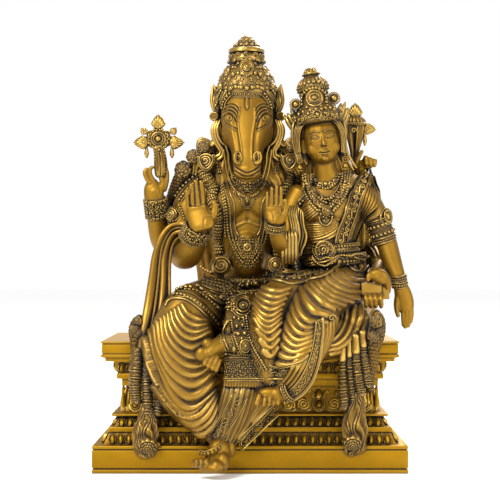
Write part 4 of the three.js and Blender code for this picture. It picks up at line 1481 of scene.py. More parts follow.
def gripping_hand(at, size, side, cell):
    """A hand held up with its fingers curled towards the viewer round what it bears."""
    x, y, z = at
    curled = [
        sleeve(
            [
                [x - side * (0.2 + 0.3 * k) * size, y, z + 0.25 * size, 0.2 * size],
                [x - side * (0.34 + 0.34 * k) * size, y - 0.3 * size, z + (0.95 - 0.12 * k) * size,
                    0.18 * size],
                [x - side * (0.38 + 0.36 * k) * size, y - 0.72 * size, z + (0.9 - 0.12 * k) * size,
                    0.17 * size],
                [x - side * (0.36 + 0.34 * k) * size, y - 0.8 * size, z + (0.35 - 0.06 * k) * size,
                    0.15 * size],
            ],
            12, 24,
        )
        for k in (0, 1, 2)
    ]
    pointing = sleeve(
        [
            [x + side * 0.4 * size, y, z + 0.2 * size, 0.22 * size],
            [x + side * 0.62 * size, y - 0.05 * size, z + 0.9 * size, 0.2 * size],
            [x + side * 0.6 * size, y - 0.1 * size, z + 1.75 * size, 0.15 * size],
        ],
        12, 24,
    )
    thumb = sleeve(
        [
            [x + side * 0.3 * size, y - 0.3 * size, z - 0.2 * size, 0.26 * size],
            [x + side * 0.4 * size, y - 0.72 * size, z + 0.5 * size, 0.2 * size],
            [x - side * 0.05 * size, y - 0.82 * size, z + 1.45 * size, 0.15 * size],
        ],
        12, 24,
    )
    palm = sleeve(
        [[x, y + 1, z - 0.8 * size, 0.5 * size], [x, y, z, 0.66 * size, 0.46 * size],
            [x, y, z + 0.5 * size, 0.6 * size, 0.36 * size]],
        20, 20,
    )
    return melted([palm, curled, pointing, thumb], cell, 2)


HIS_PALM_STROKES_PX = [
    (-1.0, 0.9, [(190.6, 190), (189.4, 198), (189.9, 205.5)]),
    (-1.0, 0.9, [(194.0, 183), (194.6, 194), (195.2, 205.5)]),
    (-1.0, 0.9, [(198.3, 181.5), (199.7, 193), (201.0, 204.5)]),
    (-0.7, 0.9, [(189.5, 205.8), (194.5, 206.2), (201.0, 205.4), (205.4, 203.6)]),
    (-0.45, 0.8, [(203.7, 230), (203.9, 223), (205.0, 217.6), (212.0, 215.6)]),
    (-0.7, 1.4, [(206.6, 205), (208.8, 210.5), (211.4, 214.0)]),
    (-0.25, 0.7, [(188.6, 196.6), (194.2, 190.2), (199.4, 190.2), (203.2, 196)]),
]
HER_PALM_STROKES_PX = [
    (-0.6, 0.8, [(269.2, 192), (269.0, 199), (268.6, 205.4)]),
    (-0.6, 0.8, [(274.2, 187.5), (273.9, 197), (273.8, 205.4)]),
    (-0.6, 0.8, [(278.9, 187), (278.6, 197), (278.4, 205.2)]),
    (-0.5, 0.7, [(266.6, 206.4), (273, 206.7), (281.4, 206.2)]),
    (-0.4, 0.8, [(273.5, 222), (273.6, 217.6), (272.4, 213.4), (270.4, 211)]),
    (-0.35, 0.8, [(273.6, 217.6), (276.4, 213.6), (279.8, 212)]),
    (-0.6, 1.2, [(281.6, 207.0), (282.4, 211.0), (281.0, 214.4)]),
]


def hands(sizes):
    cell = sizes.hand_cell / MM
    his_open = engraved(open_hand(HIS_OPEN_PALM_PX, HIS_OPEN_HAND_PX, -44.5, cell), HIS_PALM_STROKES_PX)
    her_open = engraved(open_hand(HER_OPEN_PALM_PX, HER_OPEN_HAND_PX, -46.0, cell), HER_PALM_STROKES_PX)
    fingers = [sleeve(in_view(-9.5 + 0.8 * k, rows), 16, 30) for k, rows in enumerate(HIS_REAR_HAND_PX)]
    his_gripping = melted([sleeve(in_view(-7.5, HIS_REAR_PALM_PX, 0.62), 28, 30), fingers], cell, 1)
    his_far = gripping_hand((80, 10, 208), 9.0, -1, cell)
    return [
        piece("his_right_hands", [his_open, his_gripping], "skin_gold"),
        piece("his_left_rear_hand", his_far, "skin_gold"),
        piece("her_raised_hand", her_open, "skin_gold"),
    ]


# The lord's head

HIS_FACE = [
    (-2, 6, 266, 15, 14), (-2, 0, 256, 17.6, 15.4), (-2, -5, 247, 18.4, 15.6), (-2, -10.5, 239, 18.0, 14.8),
    (-2, -16, 230, 15.4, 13.2), (-2, -21.5, 221, 11.8, 11.2), (-2, -26.5, 213.6, 9.8, 9.6),
    (-2, -29, 207.4, 9.6, 8.4),
    (-2, -29.5, 202.4, 8.8, 6.6),
]
FACE_MIDDLE_PX = 247.45
EYE_PX = (229.4, 117.8)
HIS_NOSE_LEFT_PX = [(239.8, 108), (238.2, 119.5), (238.5, 129), (239.9, 138), (241.6, 150), (242.2, 160)]
HIS_NOSE_RIGHT_PX = [(254.9, 108), (255.0, 119.5), (253.4, 129), (252.2, 138), (251.8, 150), (252.0, 160)]
HIS_BROWS_PX = [
    [(225.6, 105.6), (230.6, 103.6), (234.6, 104.6), (237.5, 107.2), (239.0, 110.4)],
    [(224.6, 109.4), (228.8, 106.9), (233.1, 107.6), (236.7, 111.2), (238.3, 116.0)],
    [(224.2, 112.4), (228.8, 110.2), (233.1, 111.8), (236.1, 115.4), (237.9, 121)],
]
HIS_LIDS_PX = [
    [(223.2, 117.2), (226.4, 113.7), (231.0, 114.0), (234.5, 118), (236.4, 123.4), (237.0, 128.4)],
    [(223.0, 119.0), (225.2, 122.4), (229.6, 125.2), (233.4, 127.0), (237.0, 128.4)],
    [(222.8, 122.4), (226.0, 125.8), (230.4, 128.0), (234.0, 129.8), (237.2, 130.8)],
]
HIS_MOUTH_PX = [
    [(232.0, 164.2), (239.2, 169.4), (247.3, 172.9), (255.3, 169.4), (262.2, 164.4)],
    [(232.4, 168.4), (239.2, 174.0), (247.3, 177.2), (255.3, 174.0), (261.8, 168.8)],
    [(234.0, 174.0), (239.2, 178.2), (247.3, 180.9), (255.3, 178.2), (260.6, 174.2)],
]
HIS_FOREHEAD_DROP_PX = [
    (245.2, 95.4), (244.6, 102.4), (245.0, 106.2), (247.3, 109.6), (249.6, 106.2), (250.0, 102.4),
    (249.4, 95.4),
]


HIS_HEAD_X = -2


def his_face(sizes):
    skull = sleeve(HIS_FACE, 40, 60, tips=(0.4, 0.5), square=0.05)
    eyes = [blob((HIS_HEAD_X + s * 12.4, -13.6, 243.0), (4.6, 4.0, 4.6)) for s in (-1, 1)]
    nostrils = [blob((HIS_HEAD_X + s * 6.6, -34.0, 212.6), (3.6, 4.2, 4.8)) for s in (-1, 1)]
    jaw = blob((HIS_HEAD_X, -30.6, 204.6), (8.6, 7.4, 5.6))
    cheeks = [blob((HIS_HEAD_X + s * 10.5, -10, 231), (7.5, 8, 11), (0.3, s * 0.3, 0)) for s in (-1, 1)]
    skin = melted([skull, eyes, nostrils, jaw, cheeks], sizes.hand_cell / MM, 3)
    strokes = [
        (-1.3, 3.2, line) for line in ([(x - 3.6, y) for x, y in HIS_NOSE_LEFT_PX[1:]],
            [(x + 3.4, y) for x, y in HIS_NOSE_RIGHT_PX[1:]])
    ]
    strokes += [(0.5, 1.2, line) for line in (HIS_NOSE_LEFT_PX, HIS_NOSE_RIGHT_PX)]
    for line in HIS_BROWS_PX:
        strokes += [(-1.0, 0.9, side) for side in mirrored(line, FACE_MIDDLE_PX)]
        strokes += [(0.6, 1.2, [(x, y + 1.9) for x, y in side]) for side in mirrored(line, FACE_MIDDLE_PX)]
    for i, line in enumerate(HIS_LIDS_PX):
        strokes += [((-1.2, -1.0, -0.6)[i], 0.85, side) for side in mirrored(line, FACE_MIDDLE_PX)]
    strokes += [(0.5, 1.0, [(x, y - 1.6) for x, y in side]) for side in mirrored(HIS_LIDS_PX[0],
        FACE_MIDDLE_PX)]
    strokes += [(-1.3, 1.0, line) for line in HIS_MOUTH_PX]
    strokes += [(0.5, 1.6, [(x, y + 2.2) for x, y in line]) for line in HIS_MOUTH_PX]
    strokes.append((-0.9, 0.7, HIS_FOREHEAD_DROP_PX))
    strokes.append((0.5, 1.9, [(247.3, 98), (247.3, 106)]))
    for side in (-1, 1):
        x = FACE_MIDDLE_PX + side * 10
        strokes.append((-1.6, 1.5, [(x - side * 0.6, 155.6), (x, 158.4), (x - side * 0.8, 160.4)]))
        strokes.append((0.5, 1.1, [(x - side * 3.4, 161.4), (x, 162.8), (x + side * 3.4, 159),
            (x + side * 2.6, 154), (x - side * 0.4, 152.4)]))
    skin = engraved(skin, strokes)
    irises = []
    for spot in mirrored([EYE_PX], FACE_MIDDLE_PX):
        irises.append((-1.3, 0.8, [(spot[0][0] - 0.1, spot[0][1]), (spot[0][0] + 0.1, spot[0][1])]))
        circle = [
            (spot[0][0] + 2.1 * math.cos(a), spot[0][1] + 2.3 * math.sin(a)) for a in np.linspace(0, TURN, 9)
        ]
        irises.append((0.55, 0.8, circle))
        irises.append((-0.7, 0.6, [(spot[0][0] + 3.3 * math.cos(a), spot[0][1] + 3.5 * math.sin(a))
            for a in np.linspace(0, TURN, 13)]))
    skin = engraved(skin, irises)
    return piece("his_face", skin, "skin_gold")


def ear_hollow(share, angle):
    """A relief that hollows the front of an ear."""
    aside = np.angle(np.exp(1j * angle))
    return -1.9 * np.exp(-((aside / 0.5) ** 2)) * np.sin(math.pi * share)


def strands(share, angle):
    """A relief of wavy strands round a lock of hair."""
    return 0.9 * (np.abs(np.sin(angle * 6 + 1.2 * np.sin(share * 7))) ** 0.7 - 0.5)


HIS_LOCKS_PX = [
    [(215.4, 121), (212.6, 129), (213.2, 137), (216.4, 144.6), (220.2, 150.6), (219.6, 154.6),
        (215.0, 157.0)],
    [(217.4, 121), (215.0, 129), (215.8, 137), (219.0, 144.0), (222.6, 150.0), (222.2, 156.0),
        (217.4, 160.0)],
    [(220.4, 120), (217.4, 128), (218.4, 136), (221.4, 141.6), (225.4, 145.4)],
]
# Hair that falls on one shoulder: [away from the middle, y, z, radius]
HIS_FALLS = [
    [(16.6, 6, 254, 2.6), (18.4, 5, 246, 3.4), (18.6, 4, 236, 4.0), (17.2, 3, 226, 5.4), (17.0, 2, 214, 7.0),
        (19.0, 2, 204, 8.6), (21.0, 2, 196, 8.0)],
    [(18.0, 1, 225, 3.0), (24.0, 1.5, 224.4, 4.2), (30.5, 2.5, 220.6, 5.2), (35.0, 3.5, 213.0, 5.6),
        (38.0, 5, 205, 5.0)],
]
HIS_MANE = [
    (-2, 12, 262, 12, 8), (-2, 16, 250, 15, 10), (-2, 20, 226, 16, 12), (-2, 24, 200, 19, 9),
    (-2, 25, 172, 12, 7),
]


def ears_and_mane():
    """Pointed ears with a hollow in front, the mane down his neck, and the two curling locks on each side."""
    shapes = []
    for side in (-1, 1):
        rows = [
            [HIS_HEAD_X + side * 21.6, -0.5, 247.6, 1.8, 1.6], [HIS_HEAD_X + side * 22.2, -0.5, 252.0, 3.6,
                2.4],
            [HIS_HEAD_X + side * 22.8, 0, 257.6, 4.0, 2.4],
            [HIS_HEAD_X + side * 23.5, 0.5, 263.6, 2.5, 2.0], [HIS_HEAD_X + side * 24.4, 1, 268.6, 0.5, 0.6],
        ]
        shapes.append(sleeve(rows, 24, 30, relief=ear_hollow))
        for k in range(3):
            x = HIS_HEAD_X + side * (20.8 + 1.1 * k)
            shapes.append(sleeve([[x, -2.6, 250 + k, 0.5], [x + side * 0.8, -3.0, 256, 0.6],
                [x + side * 1.2, -2.0, 263 - k, 0.3]], 6, 14))
    for line in HIS_LOCKS_PX:
        for way in mirrored(line, FACE_MIDDLE_PX + 0.4):
            points = [sight(spot, -6 - 0.1 * i) for i, spot in enumerate(way)]
            shapes.append(swept(points, np.interp(range(len(points)), [0, 1, len(points) - 1],
                [0.9, 1.5, 1.1]), 10, 0.9))
    for side in (-1, 1):
        for fall in HIS_FALLS:
            rows = [[HIS_HEAD_X + side * x, y, z, radius] for x, y, z, radius in fall]
            shapes.append(sleeve(rows, 60, 44, FRONT, strands))
    combed = lambda share, angle: 0.7 * np.abs(np.sin(angle * 9 + 1.4 * np.sin(share * 9))) ** 0.7
    shapes.append(sleeve(HIS_MANE, 72, 60, BACK, combed))
    return piece("his_mane", shapes, "cloth_gold")


# Crowns

HIS_CROWN_AXIS = (-2.5, 2, 0)
HIS_CROWN = [
    (0, 253), (17.5, 253), (19.0, 255), (20.4, 258.5), (21.5, 262), (21.4, 266.4), (19.6, 271.5),
    (16.6, 277.0), (13.6, 281.4),
    (11.4, 282.6), (12.6, 284.0), (12.9, 286.4), (12.4, 289.0), (11.0, 290.4), (12.9, 290.9), (12.9, 293.2),
    (11.6, 294.2),
    (8.9, 294.6), (9.0, 295.6), (6.2, 298.2), (6.0, 299.4), (3.2, 302.0), (1.6, 303.6), (0, 304.2),
]


def his_crown():
    stud, small, hoop = dome(STUD, 10), bead(6), ring(0.34, 12)
    rows = [
        (scaled(small, 0.75), 19.6, 256.6, 44, 0.0, 0.2), (scaled(small, 0.75), 20.6, 258.6, 46, 0.07, 0.1),
        (scaled(stud, 1.5), 21.2, 263.8, 26, 0.0, 0.1), (scaled(small, 0.7), 21.5, 266.3, 48, 0.0, 0.2),
        (scaled(hoop, 1.7), 20.2, 269.4, 16, 0.2, 0.45), (scaled(small, 0.8), 19.6, 271.4, 32, 0.0, 0.4),
        (scaled(stud, 1.55), 18.2, 273.6, 18, 0.17, 0.45), (scaled(small, 0.7), 17.0, 276.0, 30, 0.0, 0.45),
        (scaled(stud, 1.1), 15.6, 278.6, 18, 0.17, 0.5), (scaled(small, 0.7), 14.2, 280.8, 26, 0.0, 0.5),
        (scaled(stud, 1.4), 12.7, 284.6, 14, 0.2, 0.0), (scaled(hoop, 1.6), 12.6, 288.0, 14, 0.0, -0.15),
        (scaled(stud, 1.5), 8.5, 295.8, 14, 0.0, 0.4), (scaled(small, 0.8), 6.7, 298.0, 18, 0.0, 0.5),
        (scaled(stud, 1.2), 5.3, 299.6, 10, 0.0, 0.5), (scaled(small, 0.75), 3.4, 301.8, 12, 0.0, 0.6),
    ]
    return piece("his_crown", [turned(HIS_CROWN, HIS_CROWN_AXIS, around=48), ranks(HIS_CROWN_AXIS, rows)],
        "ornament_gold", crease=50)


# The lord's cloth

HIS_RIGHT_THIGH = [(-14, 6, 108, 22), (-30, -22, 109, 21.5), (-43, -48, 105, 19), (-46, -58, 100, 17)]
HIS_RIGHT_SHIN = [
    (-41, -50, 122, 7, 8), (-43, -58, 112, 14.5, 13), (-45, -62, 100, 20.5, 15.5),
    (-45.6, -64, 89, 22.6, 16.5),
    (-44.8, -65, 76, 22, 16.5), (-41.5, -65, 64, 20, 16), (-36, -65, 52, 17.2, 14), (-29, -66, 40, 13.6, 12),
    (-23.5, -67, 29, 9.6, 9), (-21.5, -67.5, 24, 7.4, 7),
]
HIS_LEFT_THIGH = [
    (10, 4, 108, 22.5), (36, -16, 106, 22.5), (57, -33, 101, 20), (68, -45, 97, 16.5), (72, -50, 96, 13),
]
HIS_LEFT_SHIN = [
    (66, -48, 92, 14), (40, -63, 86, 12.5), (10, -70, 88, 10.5), (-12, -77, 88, 7.6), (-18, -79, 88, 6.4),
]
HIS_RIGHT_LEG_FOLDS_PX = [
    [(182, 304.5), (187, 312.5), (193.5, 317), (200, 319.3), (206, 320)],
    [(170.9, 311.5), (173.7, 322.7), (182, 334), (194, 338.6), (208.8, 332.5)],
    [(160.4, 318.5), (164, 341), (176.5, 357.8), (191, 365.8), (208, 362)],
    [(152.6, 325.5), (157.5, 350), (172, 373.5), (193, 384.5), (215.7, 371)],
    [(148.6, 330), (157, 364), (175.5, 398.9), (194, 407.7), (217.2, 389.3)],
    [(147.2, 338), (156, 372), (173.6, 402), (190.5, 413.8), (218.7, 387.9)],
    [(160, 384), (174, 409), (191, 424), (206.6, 417), (221.6, 390.8)],
    [(176, 412), (189, 430), (204, 434), (216, 422.5), (223, 401)],
]
HIS_RIGHT_LEG_BETWEEN = [2, 2, 1, 1, 0, 1, 1]
HIS_LEFT_KNEE_FOLDS_PX = [
    [(338, 308), (337.5, 315), (334, 322), (329, 327.5), (325, 328)],
    [(346.4, 308.6), (345.5, 320.1), (340.7, 331.6), (332.5, 339.5), (324.4, 340.2)],
    [(354.1, 306.7), (352.2, 322), (346.4, 335.4), (336.9, 344), (325.4, 345.4)],
    [(360.5, 304.8), (360.6, 320.1), (353.9, 335.4), (341.4, 347.3), (325.4, 350.4)],
    [(366.6, 304.8), (368.0, 320.1), (361.2, 337.4), (348, 349.4), (331, 354.4)],
]


def his_cloth(sizes):
    hips = stack(HIS_TORSO[:4], 48, 40)
    base = [hips, sleeve(HIS_RIGHT_THIGH, 36, 50, UP), sleeve(HIS_RIGHT_SHIN, 48, 90)]
    cell = sizes.cloth_cell / MM
    right = draped(
        melted(base, cell, 6),
        [Ridges(HIS_RIGHT_LEG_FOLDS_PX, HIS_RIGHT_LEG_BETWEEN, 0.95)],
        0.8,
    )
    left = melted([sleeve(HIS_LEFT_THIGH, 36, 60, (0.4, -1, 0.2)), sleeve(HIS_LEFT_SHIN, 30, 70)], cell, 6)
    left = draped(left, [Ridges(HIS_LEFT_KNEE_FOLDS_PX, [1, 0, 0, 0], 0.95)], 0.8)
    return [
        piece("his_right_leg_cloth", thinned(right, 0.5), "cloth_gold"),
        piece("his_left_leg_cloth", thinned(left, 0.4), "cloth_gold"),
    ]


# The sash that hangs between his knees

HIS_SASH = [
    (-3, -30, 115, 11, 5), (-3, -46, 110, 13, 7), (-4, -64, 99, 13, 6), (-4, -73, 84, 13.5, 5),
    (-3, -76, 70, 14, 4.5), (-3, -77, 60, 14, 4),
]
SASH_PLEATS_PX = [
    [(x, 379.5), (x - 0.5, 386), (x - 1.4, 394.5)] for x in (224.6, 227.4, 230.2, 233.0, 235.8, 238.9, 241.7,
        244.5, 247.3, 250.4, 253.2, 256.0, 258.8, 261.6, 264.4)
]
SASH_SIDE_PLEATS_PX = [
    [(248.5, 316), (252.5, 330), (257.5, 345), (263.5, 357.5)],
    [(251.5, 314), (255.3, 329), (260.0, 344), (265.5, 355)],
    [(254.5, 313), (257.8, 328), (262.0, 343), (267.0, 352.5)],
]


def strip_of_cloth(rows, ridges, deep, around, along):
    """A narrow pleated strip."""
    return sleeve(rows, around, along, FRONT, gathered(ridges, deep), (0.1, 0.2))


def his_sash(sizes):
    cell = sizes.hand_cell / MM
    base = melted([sleeve(HIS_SASH, 32, 60, FRONT, None, (0.2, 0.1), None, 0.25)], cell, 2)
    base = draped(base, [Ridges(SASH_PLEATS_PX, [0] * 14, 0.55), Ridges(SASH_SIDE_PLEATS_PX, [0, 0], 0.6)],
        0.35)
    fringe = [
        strip_of_cloth([(-6, -74.5, 60, 11, 5), (-9, -74, 48, 11, 5), (-13, -73, 36, 10.5, 5),
            (-17, -72, 25, 8, 5), (-19, -71, 20, 5, 4)], 9, 0.9, 72, 60),
        strip_of_cloth([(6, -72, 62, 8, 4), (4, -72, 50, 8, 4), (-2, -72, 38, 8, 4), (-9, -72, 26, 6, 4)], 6,
            0.8, 48, 50),
        strip_of_cloth([(17, -70, 66, 6, 4), (15, -71, 56, 6, 4), (9, -71.5, 46, 6, 4), (1, -72, 36, 5, 4)],
            5, 0.7, 40, 40),
    ]
    return piece("his_sash", [thinned(base, 0.6), fringe], "ornament_gold")


BORDER_STRIPS_PX = [
    [(240.6, 394.5), (236.0, 404.5), (229.0, 416.5), (221.4, 428.0), (214.0, 438.5)],
    [(275.4, 410.5), (267.0, 418.5), (257.4, 428.0), (247.6, 437.5), (238.6, 446.5)],
]
BORDER_STRIP_HALF_PX = (7.6, 5.4)


def bordered_strip(jewels, line, half):
    """A strip with beaded rims and S-scrolls between them."""
    way = Way(line, places=2)
    shares = way.evenly(np.linspace(0, 1, 14))
    spots, ahead = way.at(shares), way.along(shares)
    aside = np.stack([-ahead[:, 1], ahead[:, 0]], axis=1)
    rim = [[tuple(spot + s * half * side) for spot, side in zip(spots, aside)] for s in (-1, 1)]
    inner = [[tuple(spot + s * (half - 1.7) * side) for spot, side in zip(spots, aside)] for s in (-1, 1)]
    jewels.cord(0.5, *rim)
    for line_in in inner:
        jewels.row("grain", 0.62, 1.35, line_in, 0.1)
    count = max(3, int(way.length / (half * 1.5)))
    for i in range(count):
        share = way.evenly((i + 0.5) / count)
        spot, on = way.at(share), way.along(share)
        side = np.array([-on[1], on[0]])
        reach = half * 0.45
        s = 1 if i % 2 else -1
        scroll = [
            spot + on * reach * a + side * s * reach * b
            for a, b in ((-0.3, -0.5), (-0.9, -0.9), (-1.5, -0.2), (-0.9, 0.7), (0.0, 0.0), (0.9, -0.7),
                (1.5, 0.2), (0.9, 0.9), (0.3, 0.5))
        ]
        jewels.cord(0.42, [tuple(p) for p in scroll], lift=0.25)
        jewels.put("stud", 0.55, tuple(spot + side * s * reach * 1.1), tuple(spot - side * s * reach * 1.1))


SASH_CORDS_PX = [
    ("cord", 0.6, [(224.5, 357.6), (237, 357.3), (251, 358.0)], [(223.5, 378.4), (236, 378.4), (250, 378.4),
        (264, 378.6)]),
    ("cord", 0.45, [(223.6, 380.4), (236, 380.6), (250, 380.6), (264, 380.8)]),
]
SASH_DROPS_PX = [
    ("put", "drop", (1.25, 2.1, 1.6), (234.2, 318.2), (238.8, 319.4), (243.4, 318.6), (246.6, 317.4),
        dict(lift=0.7)),
    ("put", "drop", (1.5, 2.5, 1.8), (236.8, 327.0), (242.6, 325.8), dict(lift=0.8)),
    ("put", "stud", 1.6, (238.0, 334.3), (244.8, 334.0), dict(lift=0.8)),
    ("put", "drop", (1.2, 1.8, 1.2), (241.7, 339.0), (235.4, 333.6), dict(lift=0.7)),
    ("put", "target", (2.6, 3.0, 2.6), (245.3, 345.5), dict(lift=1.3)),
    ("cord", 0.75, circle_px((245.3, 345.5), 5.6, count=17), dict(lift=1.3, closed=True)),
]
SASH_ROSE_PX = [
    ("cord", 0.65, [(231.8, 319.6), (226.6, 325.2), (224.2, 333.4), (225.2, 342.4), (228.6, 348.8)],
        [(229.8, 321.0), (223.6, 326.4), (221.8, 334.0), (222.8, 343.6), (226.4, 350.0)], dict(lift=1.4)),
    ("put", "leaf", (3.6, 8.4, 6.0), (228.4, 335.0), dict(lift=1.2)),
    ("put", "drop", (1.8, 3.0, 1.9), (233.8, 349.4), dict(lift=0.9)),
    ("put", "target", 3.0, (243.2, 306.7), dict(lift=1.2)),
    ("cord", 0.72, circle_px((243.2, 306.7), 6.9, count=21), dict(lift=1.5, closed=True)),
    ("cord", 0.6, circle_px((243.2, 306.7), 9.4, 0.5, TURN - 0.9, 21), dict(lift=0.9)),
    ("row", "bead", 0.7, 1.6, circle_px((243.2, 306.7), 11.6, 1.7, TURN - 1.4, 15), 0.7),
]


def his_sash_ornaments():
    jewels = Jeweller("his_sash", "his_right_leg_cloth", "his_left_leg_cloth", "her_skirt", "his_body")
    jewels.lay(SASH_CORDS_PX)
    rng = np.random.default_rng(5)

    def strewn(unit_name, size, xs, ys, shake, lift):
        """A rough ground of small ornaments, each moved, turned and sized by chance."""
        for y in ys:
            for x in xs(y):
                a, grow = rng.uniform(0, math.pi), rng.uniform(0.75, 1.25)
                spot = (x + rng.uniform(-shake, shake), y + rng.uniform(-shake, shake))
                jewels.put(unit_name, tuple(side * grow for side in size), spot,
                    up=(math.sin(a), 0, math.cos(a)), lift=rng.uniform(0, lift))

    strewn("bar", (0.62, 1.1, 1.1), lambda y: np.arange(225.4, 263.0, 2.0), np.arange(360.4, 377, 2.0), 0.7,
        0.7)
    strewn("grain", (0.5, 0.5, 0.55), lambda y: np.arange(222.6 + 0.1 * (y - 316), 247 + 0.42 * (y - 316),
        2.1), np.arange(314.5, 357, 2.0), 0.7, 0.1)
    strewn("stud", (1.0, 1.0, 1.2), lambda y: np.arange(216.0 + 0.5 * (y - 286), 232.5 + 0.25 * (y - 286),
        2.9), np.arange(287, 313, 2.6), 0.7, 0.8)
    strewn("stud", (1.0, 1.0, 1.1), lambda y: np.arange(238.0, 252.6, 2.7), np.arange(285.6, 296, 2.6), 0.7,
        0.6)
    jewels.lay(SASH_DROPS_PX)
    for line, sizes in (
        ([(246.2, 317), (247.6, 325), (249.8, 334.0), (252.4, 343.0), (256.6, 352.0), (261.6, 360.6),
            (266.4, 369.0)], (1.0, 0.8)),
        ([(231.4, 319), (232.4, 328), (234.6, 338), (237.6, 346), (241.4, 354.6)], (0.95, 0.7)),
        ([(229.0, 352.6), (233.6, 355.0), (239.0, 355.2)], (0.8, 0.6)),
        ([(241.0, 351.0), (245.6, 354.0), (250.4, 354.8)], (0.9, 0.7)),
    ):
        jewels.row("stud", sizes[0], 2.1 * sizes[0], line, 0.7)
        jewels.row("bead", sizes[1], 2.2 * sizes[1], [(x - 2.6, y + 0.8) for x, y in line], 0.5)
    studs = [
        (222.2, 321.2), (217.6, 323.6), (219.8, 328.4), (218.7, 334.4), (219.3, 340.0), (221.0, 345.4),
        (223.4, 349.6), (225.6, 352.4),
    ]
    jewels.put("stud", 1.45, *studs, lift=0.9)
    jewels.lay(SASH_ROSE_PX)
    for line, half in zip(BORDER_STRIPS_PX, BORDER_STRIP_HALF_PX):
        bordered_strip(jewels, line, half)
    jewels.put("curl", (3.4, 3.4, 2.4), (272.6, 385.6))
    return jewels.piece("his_sash_ornaments")


# The lord's ornaments

CROWN_JEWEL_PX = (246.7, 67.4)
CROWN_MIDDLE_PX = 246.7
HIS_CROWN_JEWELS_PX = [
    ("put", "boss", (4.6, 5.9, 1.4), CROWN_JEWEL_PX),
    ("put", "bead", (1.1, 1.5, 1.2), (246.7, 67.0), dict(lift=1.0)),
    ("row", "bead", 0.62, 1.4, circle_px(CROWN_JEWEL_PX, (5.9, 7.6), count=19), 0.4, True),
    ("put", "target", 1.75, *both(CROWN_MIDDLE_PX, [(238.2, 54.4), (231.6, 56.2)]), (246.0, 53.6)),
    ("put", "drop", (1.1, 1.2, 1.1), *both(CROWN_MIDDLE_PX, [(234.6, 61.0), (229.4, 60.4)])),
    ("put", "stud", 1.35, *both(CROWN_MIDDLE_PX, [(238.4, 63.6), (233.3, 67.6)])),
    ("put", "boss", (2.0, 2.6, 1.2), *both(CROWN_MIDDLE_PX, [(227.8, 71.6)])),
    ("put", "ring", (1.9, 2.5, 1.6), *both(CROWN_MIDDLE_PX, [(227.8, 71.6)]), dict(lift=0.5)),
    ("put", "stud", (1.3, 1.8, 1.3), *both(CROWN_MIDDLE_PX, [(233.2, 74.4), (229.2, 79.0), (238.2, 73.2)])),
    ("put", "stud", 1.0, *both(CROWN_MIDDLE_PX, [(235.6, 78.2), (225.2, 79.2), (226.0, 83.4), (232.0, 84.2),
        (236.2, 83.2), (222.6, 76.4), (242.2, 78.6)])),
    ("put", "target", 1.5, *both(CROWN_MIDDLE_PX, [(238.2, 81.4)])),
    ("put", "drop", (1.0, 1.5, 1.0), *both(CROWN_MIDDLE_PX, [(242.0, 80.6)]), (246.8, 80.2)),
    ("put", "stud", 2.5, *both(CROWN_MIDDLE_PX, [(220.9, 86.6)])),
    ("put", "ring", 2.7, *both(CROWN_MIDDLE_PX, [(220.9, 86.6)]), dict(lift=0.3)),
]
HIS_CROWN_RIM_PX = [
    ("put", "stud", 1.8, (246.8, 88.2)),
    ("row", "bead", 0.68, 1.45, [(232.6, 94.6), (237.6, 93.4), (246.7, 93.2), (255.8, 93.4), (260.8, 94.6)],
        0.2),
]


def his_crown_front():
    jewels = Jeweller("his_crown")
    for radius, thick in ((1.0, 0.62), (0.8, 0.45), (0.5, 0.5)):
        oval = circle_px(CROWN_JEWEL_PX, (6.6 * radius, 8.4 * radius), count=19)
        jewels.cord(thick, oval, lift=0.7 - 0.3 * radius, closed=True)
    jewels.lay(HIS_CROWN_JEWELS_PX)
    row = [(226.2, 91.6), (230.8, 88.4), (235.8, 86.8), (241.3, 87.4)]
    jewels.put("stud", 1.55, *both(CROWN_MIDDLE_PX, row))
    jewels.lay(HIS_CROWN_RIM_PX)
    sides = Jeweller("his_face", "his_crown", "his_mane")
    for step, (size, lift) in enumerate(((0.7, 0.7), (1.15, 0.9), (0.75, 1.0), (1.15, 1.2), (0.8, 1.3),
            (1.1, 1.5))):
        for way in mirrored([(224.6 - 1.5 * step, 109.0 - 0.8 * step),
                (226.6 - 1.6 * step, 102.4 - 0.8 * step), (231.4 - 1.8 * step, 95.6 - 0.9 * step)],
                CROWN_MIDDLE_PX):
            sides.row("stud", size, 2.0 * size, way, lift)
    return jewels.piece("his_crown_front"), sides.piece("his_crown_sides")


LOCKS_MIDDLE_PX = 247.6
COILS_MIDDLE_PX = 247.8
CHEST_MIDDLE_PX = 247.7


